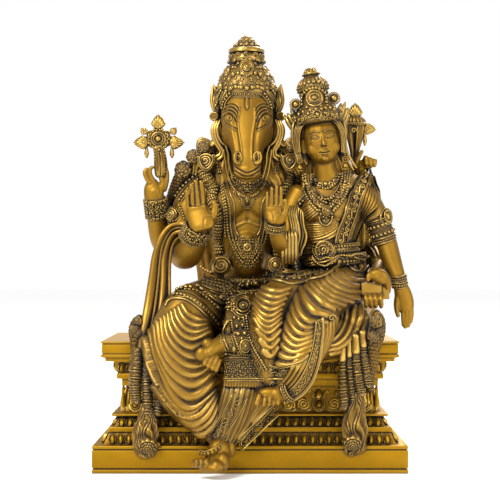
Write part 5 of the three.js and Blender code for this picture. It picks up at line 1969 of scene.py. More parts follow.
def his_head_ornaments():
    """Ear studs, the coiled rosettes at the ends of the locks, and the curls on top of the shoulders."""
    jewels = Jeweller("his_face", "his_mane", "his_body")
    shapes = []
    for side, px in ((-1, 214.6), (1, 280.0)):
        shapes.append(stood(dome(EAR_STUD, 20), 3.4, sight((px, 116.6), -2.0), (math.pi / 2, 0, side * 0.25)))
        coil_at = sight((205.4 if side < 0 else 290.2, 161.2), -11.0)
        shapes.append(stood(rosette(), (6.6, 6.2, 5.0), coil_at, (math.pi / 2 - 0.2, 0, side * 0.2)))
        for k in range(3):
            line = [
                (215.5, 139.5 + 1.6 * k), (210.5, 142.5 + 1.6 * k), (206.5, 139.8 + 1.8 * k),
                (202.0, 138.6 + 2.2 * k), (198.6, 141.2 + 2.2 * k), (197.4, 146.0 + 1.6 * k),
            ]
            if side > 0:
                line = [(2 * LOCKS_MIDDLE_PX - x, y) for x, y in line]
            points = [sight(spot, -5.0 - 0.6 * k) for spot in line]
            shapes.append(swept(points, np.linspace(1.5, 1.1, len(points)), 8, 0.9))
        for k, spot in enumerate(((203.2, 145.8), (199.6, 152.0))):
            spot = spot if side < 0 else (2 * COILS_MIDDLE_PX - spot[0], spot[1])
            shapes.append(stood(spiral(1.7, 0.2, 36, 6), (3.4, 3.2, 3.0), sight(spot, -7.6),
                (math.pi / 2, 0, side * 0.2)))
        shield = [
            (197.6, 156.2), (198.8, 163.2), (202.0, 168.4), (206.4, 170.6), (210.8, 167.4), (214.2, 161.2),
            (214.0, 154.8),
        ]
        for shrink, depth in ((1.0, -13.4), (0.82, -14.6)):
            line = [(206 + (x - 206) * shrink, 160 + (y - 160) * shrink) for x, y in shield]
            shapes.append(hung(depth, line if side < 0 else [(2 * COILS_MIDDLE_PX - x, y) for x, y in line],
                0.7))
    for line in ([(226.0, 146.0), (228.4, 154.0), (228.8, 162.0), (230.4, 170.0), (232.6, 178.0)],
            [(223.6, 150.0), (225.2, 160.0), (226.6, 170.0), (229.6, 180.0)]):
        for way in mirrored(line, LOCKS_MIDDLE_PX):
            shapes.append(swept([sight(spot, -13.0) for spot in way], [0.75] * len(way), 8, 1.0))
    return jewels.piece("his_hair_ornaments", extra=shapes)


NOSTRIL_PX = [
    (240.9, 160.6), (241.4, 156.0), (239.4, 152.4), (236.2, 152.6), (234.4, 156.0), (234.8, 160.4),
    (237.2, 163.4), (240.2, 163.4),
]
NOSTRIL_HOLE_PX = [(239.6, 157.4), (237.8, 155.0), (236.4, 157.6), (237.2, 160.4), (238.9, 160.0)]


def his_nostrils():
    jewels = Jeweller("his_face")
    for line in mirrored(NOSTRIL_PX, FACE_MIDDLE_PX + 0.2):
        jewels.cord(0.85, line, lift=0.3)
    for line in mirrored(NOSTRIL_HOLE_PX, FACE_MIDDLE_PX + 0.2):
        jewels.cord(0.42, line, lift=0.15, closed=True)
    return jewels.piece("his_nostrils", "skin_gold")


HIS_RIGHT_CORD_PX = [
    (221.6, 160.5), (224.6, 174.8), (230.4, 194.0), (234.0, 204.4), (234.5, 222.6), (236.6, 231.6),
    (239.4, 236.4),
]
HIS_LEFT_CORD_PX = [
    (276.4, 163.0), (273.5, 179.0), (268.4, 189.4), (263.8, 199.4), (261.3, 207.0), (261.2, 221.5),
    (259.8, 230.0), (256.8, 236.0),
]
HIS_MIDDLE_PX = 247.5
HIS_NECKLACES_PX = [
    ("cord", 0.68, HIS_RIGHT_CORD_PX, HIS_LEFT_CORD_PX, dict(lift=0.5)),
    ("row", "stud", 0.8, 1.75, [(219.0, 170.0), (221.6, 181.0), (225.6, 194.0), (229.6, 204.4),
        (230.6, 216.0), (231.4, 228.0), (233.6, 238.0)], 0.1),
    ("row", "bead", 0.75, 1.6, [(226.4, 168.0), (229.6, 178.4), (232.6, 186.4)], 0.2),
    ("row", "stud", 0.8, 1.8, [(271.4, 190.0), (267.6, 198.0), (265.0, 207.4), (265.0, 222.0)], 0.1),
    ("row", "bead", 0.7, 1.55, [(230.6, 176.4), (234.6, 184.8), (240.4, 190.4), (247.5, 192.0),
        (254.6, 190.4), (260.4, 184.8), (264.4, 176.4)], 0.2),
    ("row", "stud", 0.95, 2.1, [(230.6, 181.6), (235.0, 190.6), (241.0, 196.0), (247.5, 197.4),
        (254.0, 196.0), (260.0, 190.6), (264.4, 181.6)], 0.2),
    ("row", "grain", 0.62, 1.35, [(231.6, 187.4), (236.0, 195.8), (241.4, 199.8)], 0.2),
    ("row", "grain", 0.62, 1.35, [(263.4, 187.4), (259.0, 195.8), (253.6, 199.8)], 0.2),
]
HIS_PENDANTS_PX = [
    ("put", "ring", 1.5, (247.3, 190.0), dict(lift=0.4)),
    ("put", "stud", 0.9, (247.3, 185.4), (247.3, 190.0), dict(lift=0.4)),
    ("put", "target", 3.0, (247.3, 201.0), dict(lift=0.4)),
    ("put", "drop", (1.5, 1.8, 2.6), (247.3, 199.6), dict(lift=1.0)),
    ("row", "bar", (0.95, 1.35, 0.8), 1.3, circle_px((247.3, 200.8), 6.2, -0.3, math.pi + 0.3, 11), 0.3,
        dict(spin=math.pi / 2)),
    ("cord", 0.4, circle_px((247.3, 200.8), 7.8, -0.1, math.pi + 0.1, 11), dict(lift=0.2)),
    ("put", "target", 3.3, (247.4, 247.6), dict(lift=0.5)),
    ("put", "ring", 3.5, (247.4, 247.6), dict(lift=0.8)),
    ("put", "drop", (0.8, 1.4, 0.8), (244.8, 255.6), (247.4, 256.4), (250.0, 255.6), dict(lift=0.3)),
]


def his_chest_ornaments():
    jewels = Jeweller("his_body")
    jewels.lay(HIS_NECKLACES_PX)
    rows = [
        [(216.4, 157.5), (218.6, 172.4), (223.2, 190.0), (226.0, 205.6), (227.2, 219.6), (228.4, 231.0),
            (232.0, 244.0), (237.0, 255.4), (242.6, 262.6)],
        [(219.2, 165.0), (222.6, 181.0), (226.6, 194.0), (229.4, 206.0), (230.4, 220.0), (231.6, 231.0),
            (234.6, 242.0), (238.6, 251.6), (243.2, 258.0)],
        [(223.6, 166.0), (227.4, 177.4), (232.4, 187.0), (238.6, 193.4), (243.6, 196.0)],
        [(225.6, 164.4), (229.6, 174.4), (234.4, 182.6), (240.0, 187.4), (244.6, 189.2)],
        [(228.6, 165.4), (232.0, 173.0), (236.4, 179.2), (241.6, 182.8), (245.2, 183.6)],
        [(236.4, 237.4), (238.2, 244.6), (241.4, 250.6), (245.4, 253.6)],
        [(213.6, 152.0), (216.4, 166.0), (219.8, 182.0), (223.0, 197.0), (224.6, 211.0), (225.0, 224.0),
            (225.8, 236.0)],
    ]
    for k, line in enumerate(rows):
        for way in mirrored(line, CHEST_MIDDLE_PX):
            jewels.row("stud", 0.9 + 0.2 * (k % 2 == 0), 1.9 + 0.4 * (k % 2 == 0), way, 0.4)
    for side in (-1, 1):
        jewels.put("drop", (1.0, 1.3, 1.1), *[(HIS_MIDDLE_PX + side * x, y) for x,
            y in ((2.4, 267.6), (6.8, 266.0), (10.6, 262.0), (13.6, 257.4))], lift=0.5)
        for x, y, size in ((13.9, 187.0, 2.2), (12.3, 192.6, 2.2), (7.8, 195.4, 1.9), (8.2, 185.0, 1.7)):
            jewels.put("curl", (side * -size, size, 1.7), (HIS_MIDDLE_PX + side * x, y), lift=0.3)
        jewels.put("target", 1.7, (HIS_MIDDLE_PX + side * 6.9, 188.8), lift=0.3)
        jewels.put("curl", (side * -2.3, 2.3, 2.0), (HIS_MIDDLE_PX + side * 5.6, 238.6), lift=0.4)
        jewels.put("stud", 0.9, (HIS_MIDDLE_PX + side * 2.6, 186.6), (HIS_MIDDLE_PX + side * 10.6, 182.6),
            (HIS_MIDDLE_PX + side * 4.6, 193.0), lift=0.3)
        jewels.row("bead", 0.75, 1.6, [(HIS_MIDDLE_PX + side * 9.6, 242.0),
            (HIS_MIDDLE_PX + side * 8.0, 248.0), (HIS_MIDDLE_PX + side * 6.4, 253.0), (HIS_MIDDLE_PX, 257.6)],
            0.3)
        jewels.row("bead", 0.8, 1.65, [(HIS_MIDDLE_PX + side * 18.4, 237.6),
            (HIS_MIDDLE_PX + side * 14.0, 246.4), (HIS_MIDDLE_PX + side * 10.6, 253.4),
            (HIS_MIDDLE_PX + side * 10.0, 260.0), (HIS_MIDDLE_PX + side * 5.6, 265.0),
            (HIS_MIDDLE_PX, 266.6)], 0.3)
        jewels.row("grain", 0.62, 1.4, [(HIS_MIDDLE_PX + side * 15.6, 236.4),
            (HIS_MIDDLE_PX + side * 12.4, 243.6)], 0.3)
        jewels.put("stud", 1.0, (HIS_MIDDLE_PX + side * 14.4, 240.6), (HIS_MIDDLE_PX + side * 11.0, 239.0),
            (HIS_MIDDLE_PX + side * 11.6, 248.2), lift=0.3)
    rng = np.random.default_rng(8)
    for y in np.arange(240.0, 266.0, 2.6):
        reach = 16.4 - 0.62 * max(0.0, y - 244.0)
        for x in np.arange(-reach, reach + 0.1, 2.7):
            jewels.put("stud", rng.uniform(0.65, 1.0), (HIS_MIDDLE_PX + x + rng.uniform(-0.5, 0.5),
                y + rng.uniform(-0.5, 0.5)), lift=rng.uniform(0.0, 0.5))
    jewels.lay(HIS_PENDANTS_PX)
    return jewels.piece("his_chest_ornaments")


HIS_SHOULDER_PX = [(199.4, 172.0), (191.0, 179.0), (182.6, 187.4), (176.0, 196.4)]
HIS_GARLANDS_PX = [
    ("garland", "stud", 1.2, 4.4, [(203.0, 169.0), (206.5, 177.0), (210.6, 187.0), (214.0, 198.0),
        (217.4, 208.0), (220.0, 218.0)], 2.2, 8, 1.8, 0.62),
    ("garland", "stud", 1.2, 4.0, [(219.4, 216.0), (219.4, 228.0), (219.4, 240.0), (219.6, 254.0)], 2.2, 7,
        1.6, 0.6),
    ("garland", "stud", 1.2, 4.2, [(292.0, 168.0), (288.5, 176.0), (285.5, 187.0), (283.0, 197.0)], 2.2, 8,
        1.8, 0.62),
    ("garland", "stud", 1.15, 3.4, [(276.0, 238.0), (276.5, 247.0), (276.5, 256.0)], 2.3, 7, 1.6, 0.6),
    ("cord", 0.5, [(204.5, 190.0), (210.0, 196.0), (214.5, 202.0), (216.6, 208.0), (214.8, 214.0),
        (211.0, 219.4)], dict(lift=2.6)),
]
HIS_HIP_ROSES_PX = [
    ("put", "rose", (7.4, 7.4, 7.0), (221.0, 265.4), dict(lift=3.4)),
    ("cord", 0.6, circle_px((221.0, 265.4), 9.6, count=21), dict(lift=2.6, closed=True)),
    ("put", "rose", 6.2, (275.4, 264.6), dict(lift=3.0)),
    ("row", "bead", 0.7, 1.6, circle_px((221.0, 266.4), 10.8, 1.6, TURN - 0.8, 14), 2.2),
]


def his_garlands():
    jewels = Jeweller("his_body", "his_right_leg_cloth")
    jewels.lay(HIS_GARLANDS_PX)
    for step, (name, size) in enumerate((("stud", 1.5), ("grain", 0.7), ("stud", 1.2), ("grain", 0.7))):
        jewels.row(name, size, 2.1 * size, [(x + 1.9 * step, y + 1.7 * step) for x, y in HIS_SHOULDER_PX],
            0.4)
    jewels.lay(HIS_HIP_ROSES_PX)
    blossoms = [
        ((203.4, 147.4), 4.6, -8.0), ((292.0, 147.0), 4.4, -8.0), ((193.4, 156.6), 5.6, -4.0),
        ((183.4, 169.6), 6.8, 1.0), ((303.6, 152.6), 5.2, 3.0), ((298.6, 143.0), 4.6, 0.0),
    ]
    for spot, size, depth in blossoms:
        tilt = (math.pi / 2 - 0.25, 0, -0.3 if spot[0] < 247 else 0.3)
        jewels.shapes.append(stood(blossom(7, 4, 42), (size, size, size * 0.9), sight(spot, depth), tilt))
        jewels.shapes.append(blob(sight(spot, depth + 3.2), (size * 0.95, size * 0.8, size * 0.95), fine=14))
    side_line = [
        sight(spot, depth) for spot, depth in (((181.4, 172.6), 1.6), ((178.0, 181.0), 3.4),
            ((174.4, 190.0), 5.2), ((170.6, 199.4), 7.0))
    ]
    jewels.shapes.append(wreath(Jeweller.unit("leaf"), 3.6, [4.6, 4.8, 4.4, 3.6], side_line, 2.3, 9))
    top = [(-30, 8, 203), (-40, 10, 198), (-50, 12, 190), (-57, 13, 180), (-61, 14, 170)]
    jewels.shapes.append(wreath(Jeweller.unit("bloom"), 3.3, [4.5, 5.5, 5.5, 5.0, 4.4], top, 4.4, 7,
        (0, 1, 0.6)))
    top = [(24, 8, 206), (34, 11, 201), (44, 14, 195), (55, 19, 184)]
    jewels.shapes.append(wreath(Jeweller.unit("bloom"), 3.3, [4.5, 5.5, 5.5, 5.0], top, 4.4, 7, (0, 0.6, 1)))
    return jewels.piece("his_garlands")


HIS_BELT_DROPS_PX = [
    ("put", "leaf", (4.5, 5.0, 4.0), (233.4, 277.6), dict(up=(1, 0, -0.25), lift=0.6)),
    ("cord", 0.5, [(235.6, 275.6), (240.4, 279.4), (240.6, 283.0), (236.8, 287.4), (237.4, 292.4),
        (240.0, 294.0), (243.0, 292.0)], dict(lift=0.9)),
    ("cord", 0.45, [(240.0, 281.0), (244.6, 277.6), (248.6, 278.0)], dict(lift=0.9)),
    ("put", "drop", (1.5, 2.6, 1.4), (247.4, 285.0), dict(lift=1.0)),
    ("put", "stud", 0.9, (242.6, 285.4), (243.0, 290.0), (250.6, 291.0), (247.6, 278.4), (251.4, 284.0),
        (246.6, 293.4), dict(lift=0.8)),
    ("row", "grain", 0.65, 1.5, [(252.6, 276.0), (253.6, 284.0), (252.4, 293.0), (249.0, 298.4)], 0.6),
    ("row", "grain", 0.65, 1.5, [(229.0, 281.0), (230.6, 288.0), (234.0, 295.0), (237.6, 299.4)], 0.6),
    ("field", "daisy", 1.45, 2.9, ([(204.6, 277.0), (213.0, 279.6), (221.0, 281.0), (229.0, 283.6)],
        [(203.0, 285.6), (212.0, 288.2), (221.0, 291.0), (231.0, 296.0)]), 4, 0.3),
    ("field", "stud", 1.1, 2.4, ([(224.0, 292.6), (230.0, 296.6), (236.0, 300.0)],
        [(225.6, 301.0), (230.0, 306.0), (234.6, 310.6)]), 4, 0.4),
    ("cord", 0.6, [(202.6, 270.6), (208.0, 274.6), (216.0, 277.0)], [(203.6, 287.0), (212.0, 290.4),
        (223.6, 293.4)], dict(lift=0.9)),
    ("row", "stud", 1.1, 2.2, [(201.0, 266.6), (205.6, 270.0), (210.6, 272.0)], 0.6),
]


def his_belts():
    """Belts round the hips: a jewelled one above, and hanging loops and drops in front."""
    waist = [
        (-23.5, 6, 127), (-17.5, -9.5, 127.5), (-2, -13.5, 127.0), (13, -10, 127.5), (19, 6, 127.5),
        (13, 20, 128), (-2, 24.5, 128.4), (-17.5, 20.5, 128),
    ]
    hips = [
        (-28.5, 5, 117), (-23.5, -11.0, 116.6), (-12, -17.6, 116.0), (-2, -18.5, 116), (10, -15.5, 117),
        (20, -6, 118), (25, 8, 118), (16, 25, 118), (-2, 30, 118), (-19, 24, 118),
    ]
    shapes = [
        belt(waist, 5.0, 3.0, [("bead", 0.75, 0.75, 72), ("bead", 0.75, -0.75, 72), ("daisy", 1.7, 0.0, 34)]),
        belt(hips, 11.0, 2.6, [("grain", 0.8, 0.85, 86), ("grain", 0.8, -0.85, 86), ("stud", 1.2, 0.45, 48),
            ("stud", 1.2, -0.45, 48), ("target", 1.9, 0.0, 38)]),
    ]
    made = piece("his_belts", shapes, "ornament_gold")
    jewels = Jeweller("his_belts", "his_body", "his_right_leg_cloth", "his_left_leg_cloth")
    jewels.lay(HIS_BELT_DROPS_PX)
    return [made, jewels.piece("his_belt_drops")]


HIS_KNEE_EDGE_PX = [
    (166.0, 306.0), (168.6, 301.0), (175.0, 298.6), (184.9, 299.6), (193.3, 304.6), (201.8, 312.0),
    (208.8, 319.8), (216.5, 328.0),
]
HIS_KNEE_BORDER_PX = [
    ("row", "stud", 1.35, 3.1, [(174.0, 294.4), (181.3, 294.6), (187.7, 297.4), (192.6, 299.6),
        (198.2, 303.4), (202.8, 307.6), (207.4, 312.5), (212.3, 317.4), (217.0, 323.4)], 0.4),
    ("row", "grain", 0.62, 1.6, [(176.0, 291.4), (184.3, 292.0), (191.7, 294.0), (198.2, 298.0),
        (204.8, 303.4), (210.4, 308.5), (216.3, 314.4), (220.6, 319.4)], 0.4),
    ("row", "stud", 1.15, 2.9, [(178.0, 289.6), (186.3, 289.8), (194.7, 290.6), (201.2, 294.6),
        (207.8, 299.4), (213.4, 304.5), (219.3, 309.4)], 0.4),
    ("row", "grain", 0.62, 1.6, [(196.6, 286.0), (203.4, 290.6), (210.8, 295.4), (217.4, 300.5),
        (223.3, 306.4)], 0.4),
    ("row", "stud", 1.5, 3.2, [(177.6, 290.6), (183.6, 288.4), (190.0, 288.0)], 1.0),
    ("put", "stud", 1.9, (197.4, 286.6), (201.0, 289.4), dict(lift=0.8)),
    ("put", "drop", (1.2, 2.2, 1.2), (204.6, 292.2), (208.4, 294.0), dict(up=(0.9, 0, 0.4), lift=0.5)),
    ("cord", 0.95, [(208.4, 296.4), (213.6, 300.4), (219.2, 303.6), (224.6, 304.4)], dict(lift=1.2)),
    ("cord", 0.8, [(216.4, 308.0), (222.0, 309.4), (227.0, 309.0), (231.6, 307.4)], dict(lift=1.2)),
    ("put", "curl", (2.3, 2.3, 2.2), (220.6, 298.0), dict(lift=1.2)),
    ("put", "stud", 0.9, (220.6, 298.0), (214.6, 297.0), dict(lift=1.4)),
    ("cord", 0.5, [(209.6, 291.6), (216.4, 294.2), (224.0, 295.4)], dict(lift=1.0)),
]


def his_knee_border():
    jewels = Jeweller("his_right_leg_cloth", "his_body", "his_belts", "his_sash")
    jewels.cord(0.75, HIS_KNEE_EDGE_PX, lift=0.6)
    jewels.cord(0.5, [(x + 1.3, y - 2.0) for x, y in HIS_KNEE_EDGE_PX[2:]], lift=0.5)
    jewels.lay(HIS_KNEE_BORDER_PX)
    return jewels.piece("his_knee_border")


HIS_ARMLET_JEWELS_PX = [
    ("put", "rose", 5.4, (173.6, 215.6), dict(lift=3.0)),
    ("row", "bead", 0.7, 1.6, circle_px((173.6, 215.6), 7.4), 3.0, True),
    ("row", "stud", 0.9, 1.9, [(180.0, 206.0), (182.4, 212.0), (184.0, 219.0)], 1.6),
    ("row", "stud", 0.9, 1.9, [(166.6, 222.0), (172.0, 225.0), (178.6, 224.6)], 1.4),
]


def his_bangles():
    """Armlets, bracelets and anklets."""
    knurl = [
        ("grain", 0.72, share, 44 + (i % 2)) for i,
        share in enumerate((-0.78, -0.52, -0.26, 0.0, 0.26, 0.52, 0.78))
    ]
    shapes = [
        band((-37.6, -38.4, 160.4), (0.5, 0.5, 0), 9.6, 11.4, knurl, 0.92),
        band((-66.6, -3.2, 180.0), (0.3, -0.1, 0), 8.3, 14, knurl + [("grain", 0.72, -0.9, 43),
            ("grain", 0.72, 0.9, 43)]),
        band((-49.2, -8.4, 154.5), (0.5, 0.1, 0), 10.8, 8, [("daisy", 1.6, 0.0, 20), ("bead", 0.7, 0.75, 44),
            ("bead", 0.7, -0.75, 44)]),
        band((89, -20, 132.8), (0.3, -0.2, 0), 6.6, 7, knurl[1:6:2]),
        band((78, 14.4, 196.6), (0.2, 0.3, 0), 7.6, 8, knurl[1:6:2]),
        band((-17.6, -68.6, 26.4), (0.5, -0.2, 0), 8.6, 4.5, [("stud", 0.95, 0.0, 26)]),
        band((-20.4, -79.6, 87.0), (0.3, -1.2, 0), 6.4, 3.6, [("stud", 0.8, 0.0, 22)]),
    ]
    elbow = [
        (68, 23.4, 156, 10.2), (80, 20.6, 151, 10.2), (88, 17.6, 147.6, 10.0), (92.4, 6, 142, 9.0),
        (93, -2, 138.4, 7.8),
    ]
    shapes.append(sleeve(elbow, 100, 40, UP,
        lambda share, angle: 1.0 * (np.abs(np.sin(9 * angle + 3 * share)) ** 0.6 - 0.6)))
    made = piece("his_bangles", shapes, "ornament_gold")
    jewels = Jeweller("his_bangles", "his_body")
    rng = np.random.default_rng(11)
    for corners in (
        ([(184.4, 226.0), (191.0, 231.6), (199.0, 234.8), (207.4, 234.6)], [(182.0, 234.0), (188.0, 241.0),
            (195.4, 244.4), (206.0, 244.2)]),
        ([(145.6, 201.4), (152.0, 203.0), (160.0, 202.0), (166.4, 199.8)], [(147.6, 217.2), (154.0, 218.6),
            (161.0, 217.8), (165.8, 216.0)]),
    ):
        jewels.strewn(rng, "stud", (0.75, 0.75, 1.0), 2.1, corners, 8, 0.7, 0.8)
    jewels.lay(HIS_ARMLET_JEWELS_PX)
    return [made, jewels.piece("his_bangle_studs")]


# The consort's body

HER_TORSO = [
    (92, 60, -6, 28, 24), (122, 61, -8, 26, 21), (140, 56, -12, 18, 15), (151, 53.5, -13, 15, 13.5),
    (160, 53.5, -14, 16.5, 14.5),
    (170, 54, -14.5, 19, 15), (181, 55.5, -13.5, 22.5, 13.5), (190, 56.5, -12.5, 24.5, 11.5),
    (196, 56.5, -12, 20, 10.5),
    (201, 54.5, -13.5, 10.5, 9), (207, 53, -15, 7.4, 7.4), (218, 52, -15.5, 7.0, 7.2),
]
HER_LEFT_ARM = [
    (75, -12, 192, 9), (83, -12.5, 183, 8.6), (88.5, -13, 173, 8.2), (95, -14, 158, 7.6),
    (99.5, -18, 142, 6.8), (103.4, -22.6, 130, 5.2),
    (104.4, -23.6, 125, 4.6, 4.2),
]
HER_LEFT_PALM = [
    (104, -23.4, 127, 4.4, 3.8), (106, -25, 120.6, 5.8, 3.8), (107.6, -26, 114, 6.2, 3.5),
    (108.2, -26.6, 108.6, 5.6, 3.2),
]
HER_LEFT_FINGERS = [
    [(106.2, -26.6, 111, 1.7), (106.2, -27.8, 103, 1.6), (106.2, -28.6, 97.4, 1.35)],
    [(108.4, -27.2, 111, 1.8), (108.4, -28.4, 102, 1.7), (107.4, -29.2, 95.8, 1.35)],
    [(110.6, -27.2, 111, 1.8), (110.8, -28.4, 103, 1.7), (109.4, -29.2, 96.6, 1.35)],
    [(111.9, -26.8, 111, 1.5), (112.1, -28, 104.6, 1.45), (111.4, -28.8, 99.6, 1.2)],
]
HER_LEFT_THUMB = [
    (103, -25, 119, 2.3), (101.6, -27.4, 112.4, 2.0), (101.8, -28.6, 107, 1.7), (102.6, -29, 103.6, 1.3),
]
HER_RIGHT_ARM = [
    (36, -13, 190, 8.6), (31, -14, 181, 8.2), (29, -17, 168, 7.6), (27, -25, 152, 7.6), (22.5, -36, 152.6, 7),
    (18.6, -41.6, 160, 5.6),
    (17.4, -44.4, 167, 4.6), (17.2, -45.4, 171.6, 4.4),
]
HER_FOOT = [(27.4, -76.5, 63, 5.0), (24.4, -79, 59.4, 5.6), (20, -82.6, 56.2, 5.8), (15.6, -85.0, 54.6, 5.2)]
HER_INSTEP = (13.0, -84.6, 56.0)
HER_HEEL = (25.0, -80.4, 53.8)
HER_TOES_PX = [
    [(259.4, 395.0, -88.2), (258.2, 399.0, -89.6), (256.8, 403.4, -90.2)],
    [(265.4, 395.0, -86.8), (264.6, 400.0, -89.6), (263.6, 404.6, -89.6)],
    [(270.4, 394.8, -86.8), (269.6, 399.6, -88.2), (268.8, 404.2, -88.2)],
    [(275.0, 395.0, -87.6), (274.4, 399.6, -86.8), (273.6, 403.8, -86.8)],
    [(279.2, 395.6, -86.8), (278.6, 399.4, -88.0), (278.0, 403.0, -88.0)],
]


def her_body(sizes):
    arms = [sleeve(HER_LEFT_ARM, 24, 60), sleeve(HER_RIGHT_ARM, 24, 60)]
    hand = [sleeve(HER_LEFT_PALM, 20, 24), sleeve(HER_LEFT_THUMB, 12, 20)] + [sleeve(rows, 12, 20)
        for rows in HER_LEFT_FINGERS]
    bust = [blob((x, -24.5, 177.5), (9.6, 8.2, 9.4)) for x in (46.5, 62.5)]
    cell = sizes.hand_cell / MM
    skin = melted([stack(HER_TORSO, 48, 80), bust, arms], sizes.skin_cell / MM, 3)
    foot = [
        sleeve(HER_FOOT, 20, 30, UP), blob(HER_HEEL, (3.6, 3.6, 4.2)), blob(HER_INSTEP, (7.8, 4.2, 4.2)),
        toes_px(HER_TOES_PX[:1], 1.9), toes_px(HER_TOES_PX[1:], 1.4),
    ]
    foot = melted(foot, cell, 2)
    return [
        piece("her_body", skin, "skin_gold"), piece("her_left_hand_and_foot", [melted(hand, cell, 2), foot],
            "skin_gold"),
    ]


# The consort's head. Her face is drawn to the usual proportions: brow, nose and chin a third of it apart

HER_HEAD = (50.6, -16.5, 225.2)
HER_LEAN = (0, -0.14, 0)
FACE_THIRD = 10.5


def her_place(x, y, z):
    """A place of her upright head, in millimetres from its middle, as the head leans."""
    return moved(np.array([[x, y, z]], float), HER_HEAD, HER_LEAN)[0]


def her_rows(rows):
    return [[*her_place(*row[:3]), *row[3:]] for row in rows]


def face_levels():
    """Heights of the brow, nose base, chin, mouth and eyes from the middle of the head."""
    brow, nose_base, chin = FACE_THIRD * 0.62, -FACE_THIRD * 0.38, -FACE_THIRD * 1.38
    return brow, nose_base, chin, nose_base - FACE_THIRD * 0.36, brow - FACE_THIRD * 0.36


def drawn(points):
    """Where places of the face's front show in the picture."""
    return [tuple(pixels_of(her_place(x, -12, z)[None])[0]) for x, z in points]


def her_face():
    brow, nose_base, chin, mouth, eye_level = face_levels()
    parts = [
        blob(her_place(0, 3, 4), (13.8, 14.8, 16.0), HER_LEAN),
        blob(her_place(0, -1.2, -0.6), (12.8, 12.8, 13.2), HER_LEAN),
        blob(her_place(0, -3.6, -6.2), (10.2, 9.8, 9.8), HER_LEAN),
        blob(her_place(0, -6.4, chin + 4.6), (7.6, 6.2, 5.4), HER_LEAN),
        blob(her_place(0, -11.4, chin + 2.2), (3.0, 2.3, 2.2), HER_LEAN),
        sleeve(her_rows([(0, -11.2, brow - 0.4, 0.8, 1.3), (0, -13.2, 1.6, 0.95, 1.4),
            (0, -14.8, nose_base + 1.8, 1.5, 1.6), (0, -14.6, nose_base + 0.8, 1.3, 1.2)]), 16, 24),
        sleeve(her_rows([(-3.6, -11.4, mouth + 0.1, 0.35), (-1.5, -13.2, mouth + 0.55, 0.85),
            (0, -13.6, mouth + 0.35, 0.8), (1.5, -13.2, mouth + 0.55, 0.85),
            (3.6, -11.4, mouth + 0.1, 0.35)]), 12, 30),
        sleeve(her_rows([(-3.0, -11.6, mouth - 0.5, 0.4), (0, -13.3, mouth - 1.15, 1.1),
            (3.0, -11.6, mouth - 0.5, 0.4)]), 12, 30),
    ]
    for side in (-1, 1):
        parts.append(blob(her_place(side * 1.55, -13.2, nose_base + 1.1), (1.15, 1.4, 1.0), HER_LEAN))
        parts.append(blob(her_place(side * 5.2, -9.9, eye_level), (2.9, 2.6, 2.0), HER_LEAN))
        parts.append(blob(her_place(side * 6.6, -7.0, -4.6), (5.0, 4.4, 5.2), HER_LEAN))
        ear = [(side * 12.8, -1.6, 3.0, 1.2), (side * 14.0, -1.2, -1.0, 2.0), (side * 13.4, -2, -5.6, 1.5)]
        parts.append(sleeve(her_rows(ear), 12, 16))
    strokes = [
        (-1.1, 0.7, drawn([(-3.6, mouth + 0.05), (-1.5, mouth - 0.25), (0, mouth - 0.4), (1.5, mouth - 0.25),
            (3.6, mouth + 0.05)])),
        (-0.35, 0.9, drawn([(-1.9, mouth - 2.9), (0, mouth - 3.2), (1.9, mouth - 2.9)])),
    ]
    for side in (-1, 1):
        strokes.append((-1.0, 0.7, drawn([(side * 0.9, nose_base + 0.1), (side * 1.7, nose_base + 0.4)])))
        strokes.append((-0.7, 0.9,
            drawn([(side * (5.2 + x), eye_level + z) for x, z in ((-2.7, -0.1), (-1.2, -0.85), (1.2, -0.85),
            (2.8, 0))])))
    return piece("her_face", engraved(melted(parts, 0.42, 3), strokes), "skin_gold")


